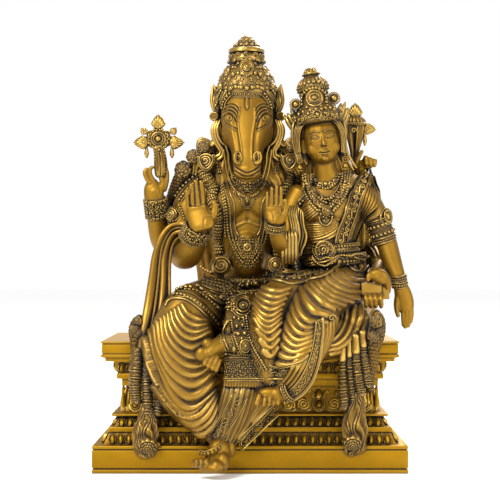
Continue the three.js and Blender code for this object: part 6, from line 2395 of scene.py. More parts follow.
def her_features():
    """Brows, lids and pupils, the dot on the forehead, and the earrings."""
    brow, nose_base, _, _, eye_level = face_levels()
    jewels = Jeweller("her_face")
    for side in (-1, 1):
        middle = side * 5.2
        upper = [
            (middle - side * 2.9, eye_level - 0.5), (middle - side * 1.4, eye_level + 0.95),
            (middle + side * 0.6, eye_level + 1.25), (middle + side * 2.2, eye_level + 0.6),
            (middle + side * 3.5, eye_level + 0.1),
        ]
        lower = [
            (middle - side * 2.8, eye_level - 0.55), (middle - side * 0.8, eye_level - 1.3),
            (middle + side * 1.4, eye_level - 1.1), (middle + side * 3.2, eye_level - 0.1),
        ]
        crease = [
            (middle - side * 2.2, eye_level + 1.3), (middle, eye_level + 2.3),
            (middle + side * 2.8, eye_level + 1.5),
        ]
        arch = [
            (side * 1.5, brow - 0.6), (side * 3.6, brow + 0.7), (side * 6.2, brow + 1.0),
            (side * 9.0, brow - 0.5),
        ]
        jewels.cord(0.56, drawn(upper), lift=0.4)
        jewels.cord(0.4, drawn(lower), drawn(crease), lift=0.25)
        jewels.cord(0.5, drawn(arch), lift=0.35)
        jewels.put("ring", (1.0, 1.0, 0.8), *drawn([(middle + side * 0.1, eye_level + 0.05)]), lift=-0.02)
        jewels.put("stud", (0.36, 0.36, 0.5), *drawn([(middle + side * 0.1, eye_level + 0.05)]), lift=0.02)
    jewels.put("stud", (0.6, 0.6, 0.5), *drawn([(0, brow + 2.2)]), lift=0.1)
    jewels.put("stud", (0.42, 0.42, 0.4), *drawn([(-2.3, nose_base + 1.3)]), lift=0.1)
    shapes = []
    for spot, size in (((345.2, 159.0, -19), 2.9), ((299.6, 160.6, -19), 2.7)):
        shapes.append(stood(dome(DAISY, 24, 8, 0.3), size, sight(spot[:2], spot[2]), (math.pi / 2, 0, 0)))
        bell = turned([(0, 0), (1.0, 0), (1.1, 0.35), (0.8, 1.1), (0.35, 1.7), (0, 1.8)], around=16)
        shapes.append(stood(bell, 2.0, sight((spot[0] + 0.4, spot[1] + 8.6), spot[2] - 0.5)))
        for k in range(5):
            shapes.append(blob(sight((spot[0] - 2.0 + 1.2 * k, spot[1] + 10.2),
                spot[2] - 2.0 + 0.3 * abs(k - 2)), 0.65, fine=8))
    return jewels.piece("her_features", "skin_gold", extra=shapes)


HER_CROWN = [
    (0, 1), (15.4, 1), (16.6, 2.4), (17.4, 4.4), (17.0, 6.4), (15.6, 8.6), (13.4, 13), (11.2, 17.4),
    (9.6, 20.4), (9.3, 22.2), (10.2, 24.2),
    (11.0, 26.2), (10.8, 28.0), (9.4, 30.6), (7.4, 33.0), (5.4, 34.6), (5.2, 35.2), (6.0, 35.7), (6.0, 36.7),
    (4.9, 38.0), (3.3, 39.6), (1.6, 41.0), (0, 41.4),
]
HER_CROWN_AT = (48, -14, 237.5)


def her_crown():
    stud, small, hoop = dome(STUD, 10), bead(6), ring(0.34, 12)
    rows = [
        (scaled(small, 0.7), 16.4, 2.0, 42, 0.0, 0.2), (scaled(stud, 1.2), 17.5, 4.6, 26, 0.1, 0.3),
        (scaled(small, 0.65), 16.9, 6.6, 42, 0.0, 0.3),
        (scaled(hoop, 1.5), 16.0, 8.2, 18, 0.1, 0.5), (scaled(small, 0.65), 14.6, 10.0, 32, 0.0, 0.5),
        (scaled(stud, 1.25), 13.2, 11.8, 16, 0.2, 0.5),
        (scaled(small, 0.6), 11.6, 14.4, 26, 0.0, 0.5), (scaled(stud, 0.95), 10.4, 16.4, 16, 0.2, 0.5),
        (scaled(bead(8), 1.2, 1.7, 1.0), 9.5, 22.2, 20, 0.0, -0.1), (scaled(small, 0.75), 10.9, 25.0, 34, 0.0,
            0.1), (scaled(small, 0.8), 11.1, 27.0, 34, 0.1, 0.3),
        (scaled(bead(8), 1.0, 3.5, 0.9), 9.1, 30.6, 20, 0.0, 0.62), (scaled(small, 0.6), 6.0, 36.2, 26, 0.0,
            0.2), (scaled(bead(8), 0.75, 2.3, 0.7), 3.9, 38.8, 12, 0.0, 0.62),
    ]
    whole = joined(turned(HER_CROWN, around=44), ranks((0, 0, 0), rows))
    return piece("her_crown", stood(whole, 1, HER_CROWN_AT, HER_LEAN), "ornament_gold", crease=50)


# The consort's cloth

HER_NEARER_LEG = [
    (52, -14, 118, 17), (38, -34, 120, 16.6, 16), (24, -54, 118.5, 15, 14.4), (15, -67, 112, 13.4, 13),
    (11, -75, 101, 12, 12),
    (10, -78.5, 86, 11, 10.4), (12, -79, 70, 8.6, 8), (15, -79, 62, 6, 6),
]
HER_FURTHER_LEG = [
    (70, -14, 116, 20, 19), (58, -38, 119.4, 18.4, 16.8), (46, -60, 114, 17.0, 15.0), (39, -75, 97, 17.4, 15),
    (33, -80.4, 82, 15.2, 12.6),
    (27, -81.4, 68, 13, 9.4), (24, -81, 60, 11.4, 7),
]
HER_NEARER_FOLDS_PX = [
    [(256.4, 285.0), (268.9, 289.0), (279.5, 290.4), (289.5, 288.4)],
    [(253.2, 303.0), (261.3, 312.4), (270.4, 315.4), (281.4, 309.5)],
    [(255.5, 319.1), (262.2, 330.0), (270.4, 331.6), (280.9, 322.9)],
    [(265.1, 350.7), (268.4, 355), (272.8, 354.5), (277.6, 347.7)],
]
HER_LAP_FOLDS_PX = [
    [(341.6, 266), (350, 271.2), (358, 274.6), (367, 275.4)],
    [(322.5, 281.2), (331.1, 288.6), (342.7, 294.8), (358, 297.8)],
    [(306.2, 286.4), (315.8, 295.6), (325.4, 303.8), (336, 308.6)],
    [(293.8, 289.4), (298.6, 309.5), (308.2, 320.5), (326.3, 322.4)],
    [(282.8, 311.4), (286.1, 329.6), (298.6, 340.2), (319.7, 333.5)],
    [(269.4, 359.6), (281.4, 365), (292.8, 364.1), (307.2, 355.4)],
]

HER_FLANK_FOLDS_PX = [
    [(325.0, 326.0), (324.0, 336.0), (320.0, 348.0), (313.0, 362.0)],
    [(331.0, 322.0), (331.0, 334.0), (326.0, 348.0), (317.0, 366.0)],
    [(338.0, 318.0), (338.0, 332.0), (332.0, 348.0), (321.0, 370.0)],
]


def her_cloth(sizes):
    cell = sizes.cloth_cell / MM
    nearer = draped(melted(sleeve(HER_NEARER_LEG, 36, 90, (-0.2, -1, 0.5)), cell, 5),
        [Ridges(HER_NEARER_FOLDS_PX, [3, 2, 2], 1.0)], 0.8)
    further = melted(sleeve(HER_FURTHER_LEG, 40, 90, (-0.1, -1, 0.5)), cell, 5)
    further = draped(further, [Ridges(HER_LAP_FOLDS_PX, [3, 2, 1, 2, 3], 0.95),
        Ridges(HER_FLANK_FOLDS_PX, [1, 1], 0.9)], 0.8)
    return piece("her_skirt", thinned(joined(nearer, further), 0.6), "cloth_gold")


# The consort's hair, jewels and upper cloth

HER_HAIR_LINE_PX = [
    (300.2, 152.0), (299.2, 141.0), (300.2, 131.4), (303.2, 125.4), (308.8, 121.8), (315.0, 120.0),
    (321.0, 118.6), (328.0, 119.2), (334.6, 122.4), (338.6, 127.6), (340.8, 134.0), (341.8, 143.0),
    (341.6, 152.0),
]


def plaited(share, angle):
    """A relief of plaited strands round a braid."""
    return 0.75 * np.abs(np.sin(share * 40 + 1.5 * np.sign(np.sin(angle)) * angle)) ** 0.7 - 0.4


def her_hair():
    """Combed hair, strands that frame the face and fall on the shoulders, and a long braid behind."""
    cap = [
        blob(her_place(0, 6.5, 6), (14.4, 13.0, 14.8), HER_LEAN),
        blob(her_place(-13.0, 5.0, -3), (3.0, 5.0, 12.5), HER_LEAN),
        blob(her_place(13.0, 5.0, -3), (3.0, 5.0, 12.0), HER_LEAN),
        blob(her_place(0, 14.6, -6), (11.5, 8.5, 11.0), HER_LEAN),
    ]
    combed = melted(cap, 0.7, 3)
    away = combed.points - np.array(HER_HEAD)
    combed.points = combed.points + combed.normals() * (0.45 * np.sin(34 * np.arctan2(away[:, 0],
        -away[:, 1] + 6)))[:, None]
    shapes = [combed]
    middle = np.array([320.6, 142.0])
    for grow, depth, radius in ((1.0, -23.6, 0.5), (1.06, -23.0, 0.6), (1.125, -22.2, 0.6),
            (1.19, -20.8, 0.7)):
        line = [
            tuple(middle + (np.array(spot) - middle) * np.array([grow, 1 + (grow - 1) * 0.6]))
            for spot in HER_HAIR_LINE_PX
        ]
        shapes.append(hung(depth, line, radius))
    fall = [
        (51.6, 3, 226, 15.6, 9), (52.6, 4, 214, 17.4, 8), (54, 5, 205, 19.4, 7), (56, 6, 198, 19, 6),
        (57, 8, 191, 15, 5),
    ]
    shapes.append(sleeve(fall, 120, 50, FRONT,
        lambda share, angle: 0.8 * (np.abs(np.sin(15 * angle + 2.4 * np.sin(4 * share))) ** 0.6 - 0.5)))
    for line in (
        [(300.8, 124.0), (298.0, 134.0), (297.4, 144.0), (299.6, 154.0), (301.6, 162.0)],
        [(297.8, 122.0), (295.2, 132.0), (294.8, 142.0), (297.0, 152.0), (299.4, 161.0)],
        [(295.0, 120.0), (292.6, 129.0), (292.6, 139.0), (294.6, 149.0), (297.4, 160.0)],
        [(341.2, 124.0), (343.4, 134.0), (343.2, 145.0), (344.6, 154.0), (349.0, 163.0), (353.6, 170.0)],
        [(343.8, 121.0), (345.4, 132.0), (345.0, 143.0), (347.4, 153.0), (352.0, 161.6), (356.4, 168.0)],
    ):
        shapes.append(hung(-19.0, line, [1.0, 1.3, 1.3, 1.2, 0.9, 0.7][: len(line)], 8, 0.8))
    for k in range(5):
        x = 281.4 + 3.3 * k
        line = [
            (x + 0.8, 231.6, -41.4), (x + 1.2, 238.0, -42.4), (x + 1.4, 250.0, -41.0),
            (x + 1.6, 263.4, -39.0),
        ]
        shapes.append(hung(0, line, [1.1, 1.3, 1.3, 1.1]))
    for k in range(4):
        x = 290.4 + 2.4 * k
        line = [
            (x, 206.0, -32), (x - 1.4, 216.0, -35.4), (x + 0.6, 226.0, -37), (x + 1.4, 236.0, -38.4),
            (x - 0.4, 247.0, -38.6), (x + 0.4, 258.0, -38),
        ]
        shapes.append(hung(0, line, [0.8, 1.1, 1.2, 1.2, 1.0, 0.6]))
    strands = [
        [(296.6, 212), (295.4, 227.5), (297.3, 236.7), (296.2, 248.2), (297.3, 256.0)],
        [(299.0, 208), (297.7, 219.1), (300.4, 229), (300.8, 236.7), (298.8, 246.6), (298.4, 255.6)],
        [(301.0, 210), (300.6, 221), (302.7, 229.8), (302.7, 236.7), (300.8, 245.1), (299.6, 253.0)],
        [(302.6, 212), (303.4, 225.2), (306.1, 235.2), (305.0, 242.8), (301.9, 249.7), (300.6, 256.0)],
    ]
    for k, line in enumerate(strands):
        shapes.append(hung(-33.0 - 0.7 * k, line, [0.7, 0.95, 1.0, 0.95, 0.85, 0.6][: len(line)]))
    braid = [
        (51, 8, 226, 6.5), (52, 10.5, 215, 6.8), (54, 6.5, 203, 6.4), (56, 3.6, 190, 6.0),
        (57, 4.0, 176, 5.4), (57.5, 5.4, 163, 4.6), (58, 8.4, 151, 3.4),
    ]
    shapes.append(sleeve(braid, 36, 120, BACK, plaited))
    # The darker gold here is painted shade on the strands and folds beside her arm
    return piece("her_hair", shapes, "ornament_gold")


HER_CROWN_ROSE_PX = (314.5, 98.4)
HER_CROWN_ROSE_JEWELS_PX = [
    ("put", "target", (6.0, 6.0, 2.2), HER_CROWN_ROSE_PX, dict(lift=0.2)),
    ("cord", 0.75, circle_px(HER_CROWN_ROSE_PX, 8.0, count=19), dict(lift=0.5, closed=True)),
    ("cord", 0.5, circle_px(HER_CROWN_ROSE_PX, 4.3, count=15), dict(lift=1.6, closed=True)),
    ("put", "stud", (1.4, 1.4, 1.5), HER_CROWN_ROSE_PX, dict(lift=1.4)),
]
HER_CROWN_CORD_PX = [
    ("put", "stud", 1.25, (304.6, 83.7), (308.9, 82.3), (313.6, 81.7), (318.3, 81.9), (322.4, 83.2),
        dict(lift=0.1)),
]
HER_CROWN_JEWELS_PX = [
    ("put", "bar", (1.2, 3.2, 1.8), (325.4, 108.2), (329.9, 108.0), (334.2, 109.6),
        dict(up=(0.2, 0, 1), lift=0.5)),
    ("put", "bar", (1.2, 3.2, 1.8), (303.4, 112.1), (299.2, 114.4), (295.6, 118.0), (292.6, 113.0),
        dict(up=(-0.3, 0, 1), lift=0.5)),
    ("put", "drop", (1.9, 1.6, 2.0), (317.1, 114.4), dict(up=(-1, 0, 0), lift=0.9)),
    ("cord", 0.45, circle_px((317.1, 114.5), 4.2, count=13), dict(lift=0.5, closed=True)),
    ("put", "stud", 1.2, (310.4, 110.4), (315.8, 109.4), (321.4, 109.2), (306.8, 107.6), (308.2, 114.0),
        (325.2, 113.0), dict(lift=0.4)),
    ("put", "ring", 1.35, (327.4, 113.8), (330.9, 114.5), (334.0, 115.8), (306.2, 117.0), (302.6, 119.4),
        (299.4, 122.4), dict(lift=0.4)),
    ("row", "bead", 0.62, 1.4, [(298.6, 126.0), (303.4, 120.6), (310.0, 117.6), (318, 116.2), (326.6, 116.4),
        (333.4, 118.8), (338.6, 123.6)], 0.5),
]
HER_CROWN_RIM_PX = [
    ("put", "curl", (1.9, 1.9, 1.8), (340.8, 114.9), dict(lift=0.6)),
    ("put", "stud", 1.2, (341.3, 109.6), (293.4, 118.6), dict(lift=0.6)),
]


def her_crown_front():
    jewels = Jeweller("her_crown", "her_hair", "her_face")
    jewels.lay(HER_CROWN_ROSE_JEWELS_PX)
    arch = [
        (302.4, 104.6), (302.0, 99.3), (302.9, 94.8), (306.6, 90.6), (311.3, 88.2), (315.8, 87.7),
        (320.7, 89.8), (324.0, 93), (326.0, 97), (326.0, 102.4),
    ]
    jewels.row("stud", 1.25, 2.6, arch, 0.3)
    jewels.lay(HER_CROWN_CORD_PX)
    for spot, radius in (((295.5, 104.6), 3.5), ((333.7, 98.4), 3.8)):
        jewels.put("boss", (radius, radius, 2.4), spot, lift=0.5)
        jewels.put("bead", (radius * 0.6, radius * 0.6, 1.8), spot, lift=1.4)
        jewels.row("grain", 0.55, 1.3, circle_px(spot, radius * 1.62, count=15), 0.3, True)
    jewels.lay(HER_CROWN_JEWELS_PX)
    shapes = []
    for line in (
        [(338.6, 122.0, -16), (341.0, 115.0, -16), (343.0, 109.0, -16), (345.4, 102.2, -15.6)],
        [(340.0, 124.0, -15), (343.4, 117.0, -15), (346.0, 111.6, -15), (348.4, 108.0, -15)],
        [(336.6, 120.0, -17), (338.4, 114.0, -17.4), (340.2, 107.6, -17), (341.2, 103.4, -16)],
        [(341.4, 130, -14), (344.6, 122, -14), (347.0, 114.4, -14), (347.8, 111.0, -14)],
        [(298.0, 128.0, -17), (293.4, 122.0, -17), (290.0, 117.0, -16.6), (287.4, 113.2, -16)],
        [(297.0, 134.0, -16), (291.4, 127.0, -16), (287.6, 121.0, -15.6), (285.4, 115.6, -15)],
        [(300.0, 124.0, -18), (295.6, 117.0, -18), (292.6, 111.6, -17.6), (291.4, 108.2, -17)],
        [(285.8, 119.0, -15), (284.0, 116.6, -15), (283.4, 113.6, -15)],
    ):
        shapes.append(hung(0, line, [1.9, 1.9, 1.8, 0.6][: len(line)] if len(line) > 3 else [1.1, 1.3, 0.5],
            10, 0.7))
    jewels.lay(HER_CROWN_RIM_PX)
    return jewels.piece("her_crown_front", extra=shapes)


def her_bodice(sizes):
    """A short pleated blouse, then the upper cloth that crosses it from her left shoulder."""
    torso = [[z, x, y, width + 1.1, deep + 1.1] for z, x, y, width, deep in HER_TORSO if 145 < z < 192]
    blouse = [stack([[148, 54.5, -13, 16.0, 13.8]] + torso, 48, 80)]
    blouse += [blob((x, -24.5, 177.5), (10.4, 9.0, 10.2)) for x in (46.5, 62.5)]
    blouse.append(sleeve([(*row[:3], row[3] + 1.0) for row in HER_LEFT_ARM[:3]], 24, 30))
    cell = sizes.hand_cell / MM
    left = [
        [(298.8, 210.8), (305.0, 206.0), (311.5, 202.7)], [(300.9, 213.3), (308.0, 208.4), (314.5, 204.6)],
        [(304.4, 216.9), (310.5, 212.2), (316.4, 208.0)], [(309.5, 219.5), (313.0, 216.6), (317.6, 212.8)],
    ]
    wraps = [
        [(308.0, 225.0), (316.0, 224.6), (326.7, 224.6), (334.0, 219.0)], [(308.0, 232.2), (318.0, 231.6),
            (328.8, 228.7), (339.0, 219.6)],
        [(310.0, 237.0), (320.0, 235.8), (330.4, 231.0), (338.2, 224.2)], [(313.6, 242.6), (324.0, 240.4),
            (332.9, 236.0), (337.5, 230.8)],
    ]
    skin = draped(melted(blouse, cell, 3), [Ridges(left, [1, 1, 1], 1.15), Ridges(wraps, [2, 1, 1], 1.1)],
        0.0)
    return piece("her_bodice", thinned(skin, 0.55), "cloth_gold")


SASH_LEFT_PX = [
    (365.2, 170.6), (358.0, 180.2), (352.0, 191.2), (348.0, 203.3), (343.4, 218.2), (338.8, 230.6),
    (335.0, 243.4),
]
SASH_RIGHT_PX = [
    (370.8, 174.6), (367.4, 184.4), (361.6, 196.8), (357.8, 208.4), (353.4, 221.2), (349.4, 232.6),
    (346.0, 244.0),
]
DRAPE_RIGHT_PX = [
    (371.8, 176.4), (375.2, 185.0), (380.6, 195.0), (378.4, 206.0), (366.6, 216.6), (360.0, 227.6),
    (353.8, 243.4),
]


def her_stole():
    """Pleats that fall from the shoulder across the breast, with a broad scrolled border."""
    ground = Ground("her_body", "her_bodice")
    folds = lambda u, v: 1.0 * np.abs(np.sin(math.pi * (6.0 * u))) ** 0.55 * smoothstep(0, 0.06,
        v) + 1.2 * u * np.sin(math.pi * v)
    drape = laid(ground, SASH_RIGHT_PX, DRAPE_RIGHT_PX, 96, 90, 1.6, folds, 2.4, 14)
    border = laid(ground, SASH_LEFT_PX, SASH_RIGHT_PX, 20, 60, 2.0, None, 3.0, 8)
    tail = [
        (70, 2, 196, 9, 3.2), (73, 8, 186, 11.5, 3.6), (74, 11, 172, 13.4, 4.0), (74, 12, 158, 14.4, 4.0),
        (74, 16, 145, 14, 3.6), (75, 20, 134, 13, 3.0),
    ]
    back = sleeve(tail, 80, 80, BACK, gathered(8, 1.3))
    over = sleeve([(66, -22, 194, 5, 3), (69.5, -12, 200.6, 7, 3), (70, -2, 199, 8.6, 3), (70, 4, 192, 9, 3)],
        60, 40, UP, gathered(7, 0.7))
    # The darker gold of the border is painted shade between its ornaments
    return piece("her_stole", [drape, back, over], "cloth_gold"), piece("her_sash_band", border,
        "ornament_gold")


HER_NECKLACES_PX = [
    ("cord", 0.65, SASH_LEFT_PX, inset(SASH_LEFT_PX, SASH_RIGHT_PX, 0.98), dict(lift=0.5)),
    ("cord", 0.4, inset(SASH_LEFT_PX, SASH_RIGHT_PX, 0.14), dict(lift=0.3)),
    ("scrolls", inset(SASH_LEFT_PX, SASH_RIGHT_PX, 0.12), inset(SASH_LEFT_PX, SASH_RIGHT_PX, 0.94), 13.0,
        0.72, 0.6, 1.0),
    # Necklaces
    ("put", "drop", (1.9, 2.3, 1.6), (325.4, 184.4), dict(lift=1.0)),
    ("cord", 0.4, circle_px((325.3, 185.0), 3.2, count=13), dict(lift=0.6, closed=True)),
    ("put", "daisy", 2.2, (315.6, 181.0), (335.0, 181.4), dict(lift=0.8)),
    ("put", "ring", 1.9, (330.9, 184.3), (320.2, 184.9), dict(lift=0.8)),
    ("row", "stud", 1.0, 2.1, [(311.6, 175.0), (314.0, 181.4), (318.4, 186.4), (325.3, 189.4), (332.4, 186.4),
        (337.0, 181.4), (339.4, 175.0)], 0.6),
    ("row", "grain", 0.6, 1.35, [(313.6, 174.0), (316.4, 179.6), (320.0, 183.0), (325.3, 185.4),
        (330.4, 183.0), (334.6, 179.6), (337.4, 174.0)], 0.6),
    ("cord", 0.55, [(310.0, 178.0), (312.6, 181.7), (315.6, 188.4), (318.7, 193), (322.2, 198.6)],
        dict(lift=0.9)),
    ("cord", 0.55, [(342.4, 178.0), (340.0, 184.4), (336.6, 190.4), (332.4, 195.4), (328.6, 199.4)],
        dict(lift=0.9)),
    ("row", "stud", 1.2, 2.5, [(305.4, 181.2), (307.6, 187.4), (311.0, 192.4), (315.6, 196.6), (320.8, 199.2),
        (326.3, 200.0), (331.8, 198.6), (336.6, 195.4), (340.6, 190.6)], 0.8),
    ("row", "bar", (0.95, 2.0, 1.0), 2.0, [(314.6, 199.4), (318.2, 204.0), (322.0, 207.4), (326.4, 208.4),
        (330.6, 207.0), (334.6, 203.6), (338.4, 198.8)], 0.9, dict(spin=math.pi / 2)),
    ("row", "grain", 0.55, 1.25, [(308.4, 183.6), (311.6, 189.6), (316.4, 194.0), (321.4, 196.6),
        (326.3, 197.2), (331.4, 196.0), (335.6, 192.8), (338.8, 188.0)], 0.6),
    ("put", "target", (2.7, 2.7, 2.4), (326.6, 210.8), dict(lift=1.6)),
    ("cord", 0.5, circle_px((326.6, 210.8), 4.7, count=15), dict(lift=1.2, closed=True)),
    ("put", "daisy", (2.3, 2.3, 2.2), (315.8, 202.4), (339.0, 197.4), (337.4, 202.0), dict(lift=0.9)),
    ("put", "boss", (2.0, 2.4, 1.8), (341.4, 195.6), (313.0, 197.6), dict(lift=0.9)),
    ("cord", 0.6, [(318.6, 216.0), (320.6, 222.6), (325.8, 226.0), (331.4, 222.4), (333.0, 215.4)],
        dict(lift=1.0)),
    ("cord", 0.5, [(322.2, 219.0), (325.8, 223.4), (329.8, 219.0)], dict(lift=0.8)),
    ("put", "curl", (2.2, 1.6, 1.8), (325.8, 220.6), dict(lift=0.7)),
    ("put", "stud", 0.9, (320.4, 213.8), (323.0, 216.4), (326.0, 217.4), (329.4, 216.4), (332.2, 213.6),
        (318.2, 210.2), (334.4, 209.4), dict(lift=0.9)),
]
HER_PENDANT_PX = [
    ("cord", 0.5, [(296.4, 203.6), (301.6, 197.6), (308.4, 191.8)], [(298.8, 210.4), (304.6, 206.0),
        (312.0, 201.6)], dict(lift=0.4)),
    ("row", "stud", 1.25, 3.2, [(297.6, 207.2), (303.2, 201.8), (310.0, 196.8)], 0.5),
    ("row", "grain", 0.5, 1.3, [(297.0, 205.4), (302.4, 199.6), (309.2, 194.2)], 0.3),
]


def her_torso_ornaments():
    jewels = Jeweller("her_stole", "her_sash_band", "her_bodice", "her_body")
    jewels.lay(HER_NECKLACES_PX)
    for k in range(4):
        jewels.row("stud", 0.95, 1.95, [(302.6 + 2.6 * k, 173.6 + 1.0 * k), (303.2 + 2.5 * k, 179.6),
            (305.4 + 2.3 * k, 186.6 + 1.6 * k), (309.0 + 2.0 * k, 192.8 + 1.8 * k)][: 4 if k < 2 else 3],
            0.3 + 0.2 * k)
        jewels.row("stud", 0.95, 1.95, [(350.0 - 2.6 * k, 172.6 + 0.8 * k), (349.2 - 2.4 * k, 181.0),
            (347.0 - 2.0 * k, 190.0 + 1.4 * k), (343.4 - 1.8 * k, 199.0 + 1.2 * k)][: 4 if k < 2 else 3],
            0.3 + 0.2 * k)
    # The right sleeve's border
    jewels.lay(HER_PENDANT_PX)
    for k, (left, right) in enumerate((
        ([(306.6, 184.0), (309.0, 192.0), (313.6, 200.4), (319.6, 207.0)], [(345.4, 182.4), (342.4, 192.0),
            (337.4, 200.4), (331.6, 207.0)]),
        ([(303.4, 184.6), (305.6, 193.4), (310.4, 202.6), (317.0, 210.4)], [(348.4, 184.0), (345.6, 194.6),
            (340.4, 203.4), (334.0, 210.6)]),
        ([(311.4, 190.4), (316.2, 196.8), (321.2, 201.2), (325.4, 203.0)], [(340.0, 190.0), (335.4, 196.6),
            (330.2, 201.2)]),
    )):
        jewels.row("stud", 1.25 - 0.1 * k, 2.4, left, 0.6)
        jewels.row("stud", 1.25 - 0.1 * k, 2.4, right, 0.6)
    for x, y in ((314.4, 198.6), (317.2, 202.0), (320.6, 204.8), (330.6, 204.6), (333.8, 201.8),
            (336.8, 198.2)):
        jewels.put("drop", (1.0, 1.9, 1.2), (x, y), up=(0.05 * (325.5 - x), 0, 1), lift=0.8)
    return jewels.piece("her_necklaces")


HER_BELT_ROSE_PX = (324.4, 250.0)
HER_BELT_ROSE_JEWELS_PX = [
    ("put", "boss", (6.8, 6.8, 1.6), HER_BELT_ROSE_PX, dict(lift=2.4)),
    ("put", "ring", (2.0, 2.0, 2.0), HER_BELT_ROSE_PX, dict(lift=4.0)),
    ("cord", 0.5, circle_px(HER_BELT_ROSE_PX, 3.9, count=15), dict(lift=3.9, closed=True)),
]
HER_BELT_JEWELS_PX = [
    ("row", "bead", 0.85, 1.75, circle_px(HER_BELT_ROSE_PX, 9.4, count=23), 2.6, True),
    ("cord", 0.75, [(314.6, 254.6), (317.6, 259.4), (322.6, 262.4), (328.0, 261.8), (332.4, 257.6)],
        dict(lift=2.2)),
    ("row", "stud", 1.0, 2.1, [(311.6, 254.0), (314.0, 259.6), (318.6, 264.2), (324.6, 266.0), (330.4, 264.4),
        (334.8, 260.4)], 1.6),
    ("put", "curl", (2.1, 2.1, 1.9), (332.2, 262.8), (336.4, 257.6), (315.0, 265.4), (310.6, 260.6),
        dict(lift=1.4)),
]
HER_BELT_DROPS_PX = [
    ("cord", 0.7, [(347.4, 262.6), (349.4, 269.0), (355.4, 272.6), (361.6, 271.4), (366.0, 266.8)],
        [(353.4, 257.4), (359.0, 258.4), (363.0, 262.4), (362.6, 267.6), (358.4, 270.0)], dict(lift=1.6)),
    ("row", "bead", 0.9, 1.9, [(366.6, 255.8), (367.4, 260.6), (366.8, 265.4), (364.0, 269.4)], 1.4),
    ("row", "stud", 0.95, 2.0, [(340.0, 256.8), (346.0, 255.8), (352.0, 255.2), (358.6, 254.8),
        (365.0, 254.6)], 1.2),
]


def her_belts():
    waist = [
        (38.5, -12, 149.6), (43.5, -23.4, 149.2), (54, -28.4, 149.4), (66, -25.2, 150.6), (75, -14, 151.6),
        (73, 0, 152), (60, 7, 151.6), (46, 4, 150.4),
    ]
    hips = [
        (36.4, -12, 142.0), (41.0, -25.4, 141.4), (54, -31.6, 141.8), (69, -28.0, 143.4), (79.4, -14, 144.8),
        (78, 3, 145), (62, 11.4, 144.4), (44, 8, 142.8),
    ]
    shapes = [
        belt(waist, 7.6, 3.0, [("grain", 0.7, 0.86, 92), ("grain", 0.7, -0.86, 92), ("stud", 1.05, 0.5, 54),
            ("stud", 1.05, -0.5, 54), ("leaf", (1.9, 2.0, 1.9), 0.0, 34)]),
        belt(hips, 7.0, 2.8, [("grain", 0.7, 0.85, 96), ("grain", 0.7, -0.85, 96), ("daisy", 1.7, 0.35, 40),
            ("stud", 1.2, -0.4, 56)]),
    ]
    skirt = [
        (60, -6, 88.4, 28.6, 24.6), (60, -6, 100, 28.8, 24.6), (61, -7, 115, 27.4, 22.8),
        (61, -8, 127, 25.6, 20.4), (60, -9.6, 136, 21.6, 17.6), (58, -11, 142, 17.4, 14.6),
    ]
    shapes.append(thinned(sleeve(skirt, 220, 60, BACK, gathered(15, 0.9), (0.05, 0.1)), 0.35))
    made = piece("her_belts", shapes, "ornament_gold")
    jewels = Jeweller("her_belts", "her_skirt", "her_stole")
    jewels.lay(HER_BELT_ROSE_JEWELS_PX)
    for k in range(18):
        angle = TURN * k / 18
        spot = (HER_BELT_ROSE_PX[0] + 6.3 * math.cos(angle), HER_BELT_ROSE_PX[1] + 6.3 * math.sin(angle))
        jewels.put("bar", (0.7, 2.7, 1.3), spot, up=(math.cos(angle), 0, -math.sin(angle)), lift=3.2)
    jewels.lay(HER_BELT_JEWELS_PX)
    for spot, size, up in (((351.4, 259.8), (4.0, 5.6, 4.5), (-0.5, 0, 0.9)),
            ((357.2, 263.4), (4.6, 6.4, 5.0), (0.75, 0, -0.65)), ((350.0, 266.4), (3.4, 5.2, 4.0),
            (0.9, 0, -0.4))):
        jewels.put("leaf", size, spot, up=up, lift=1.4)
    jewels.lay(HER_BELT_DROPS_PX)
    for k in range(4):
        jewels.row("stud", 0.85, 1.8, [(368.8 + 1.9 * k, 254.6 + 1.8 * k), (370.2 + 1.9 * k, 260.0 + 1.6 * k),
            (371.4 + 1.7 * k, 266.0 + 1.0 * k)], 0.6)
    return [made, jewels.piece("her_belt_ornaments")]


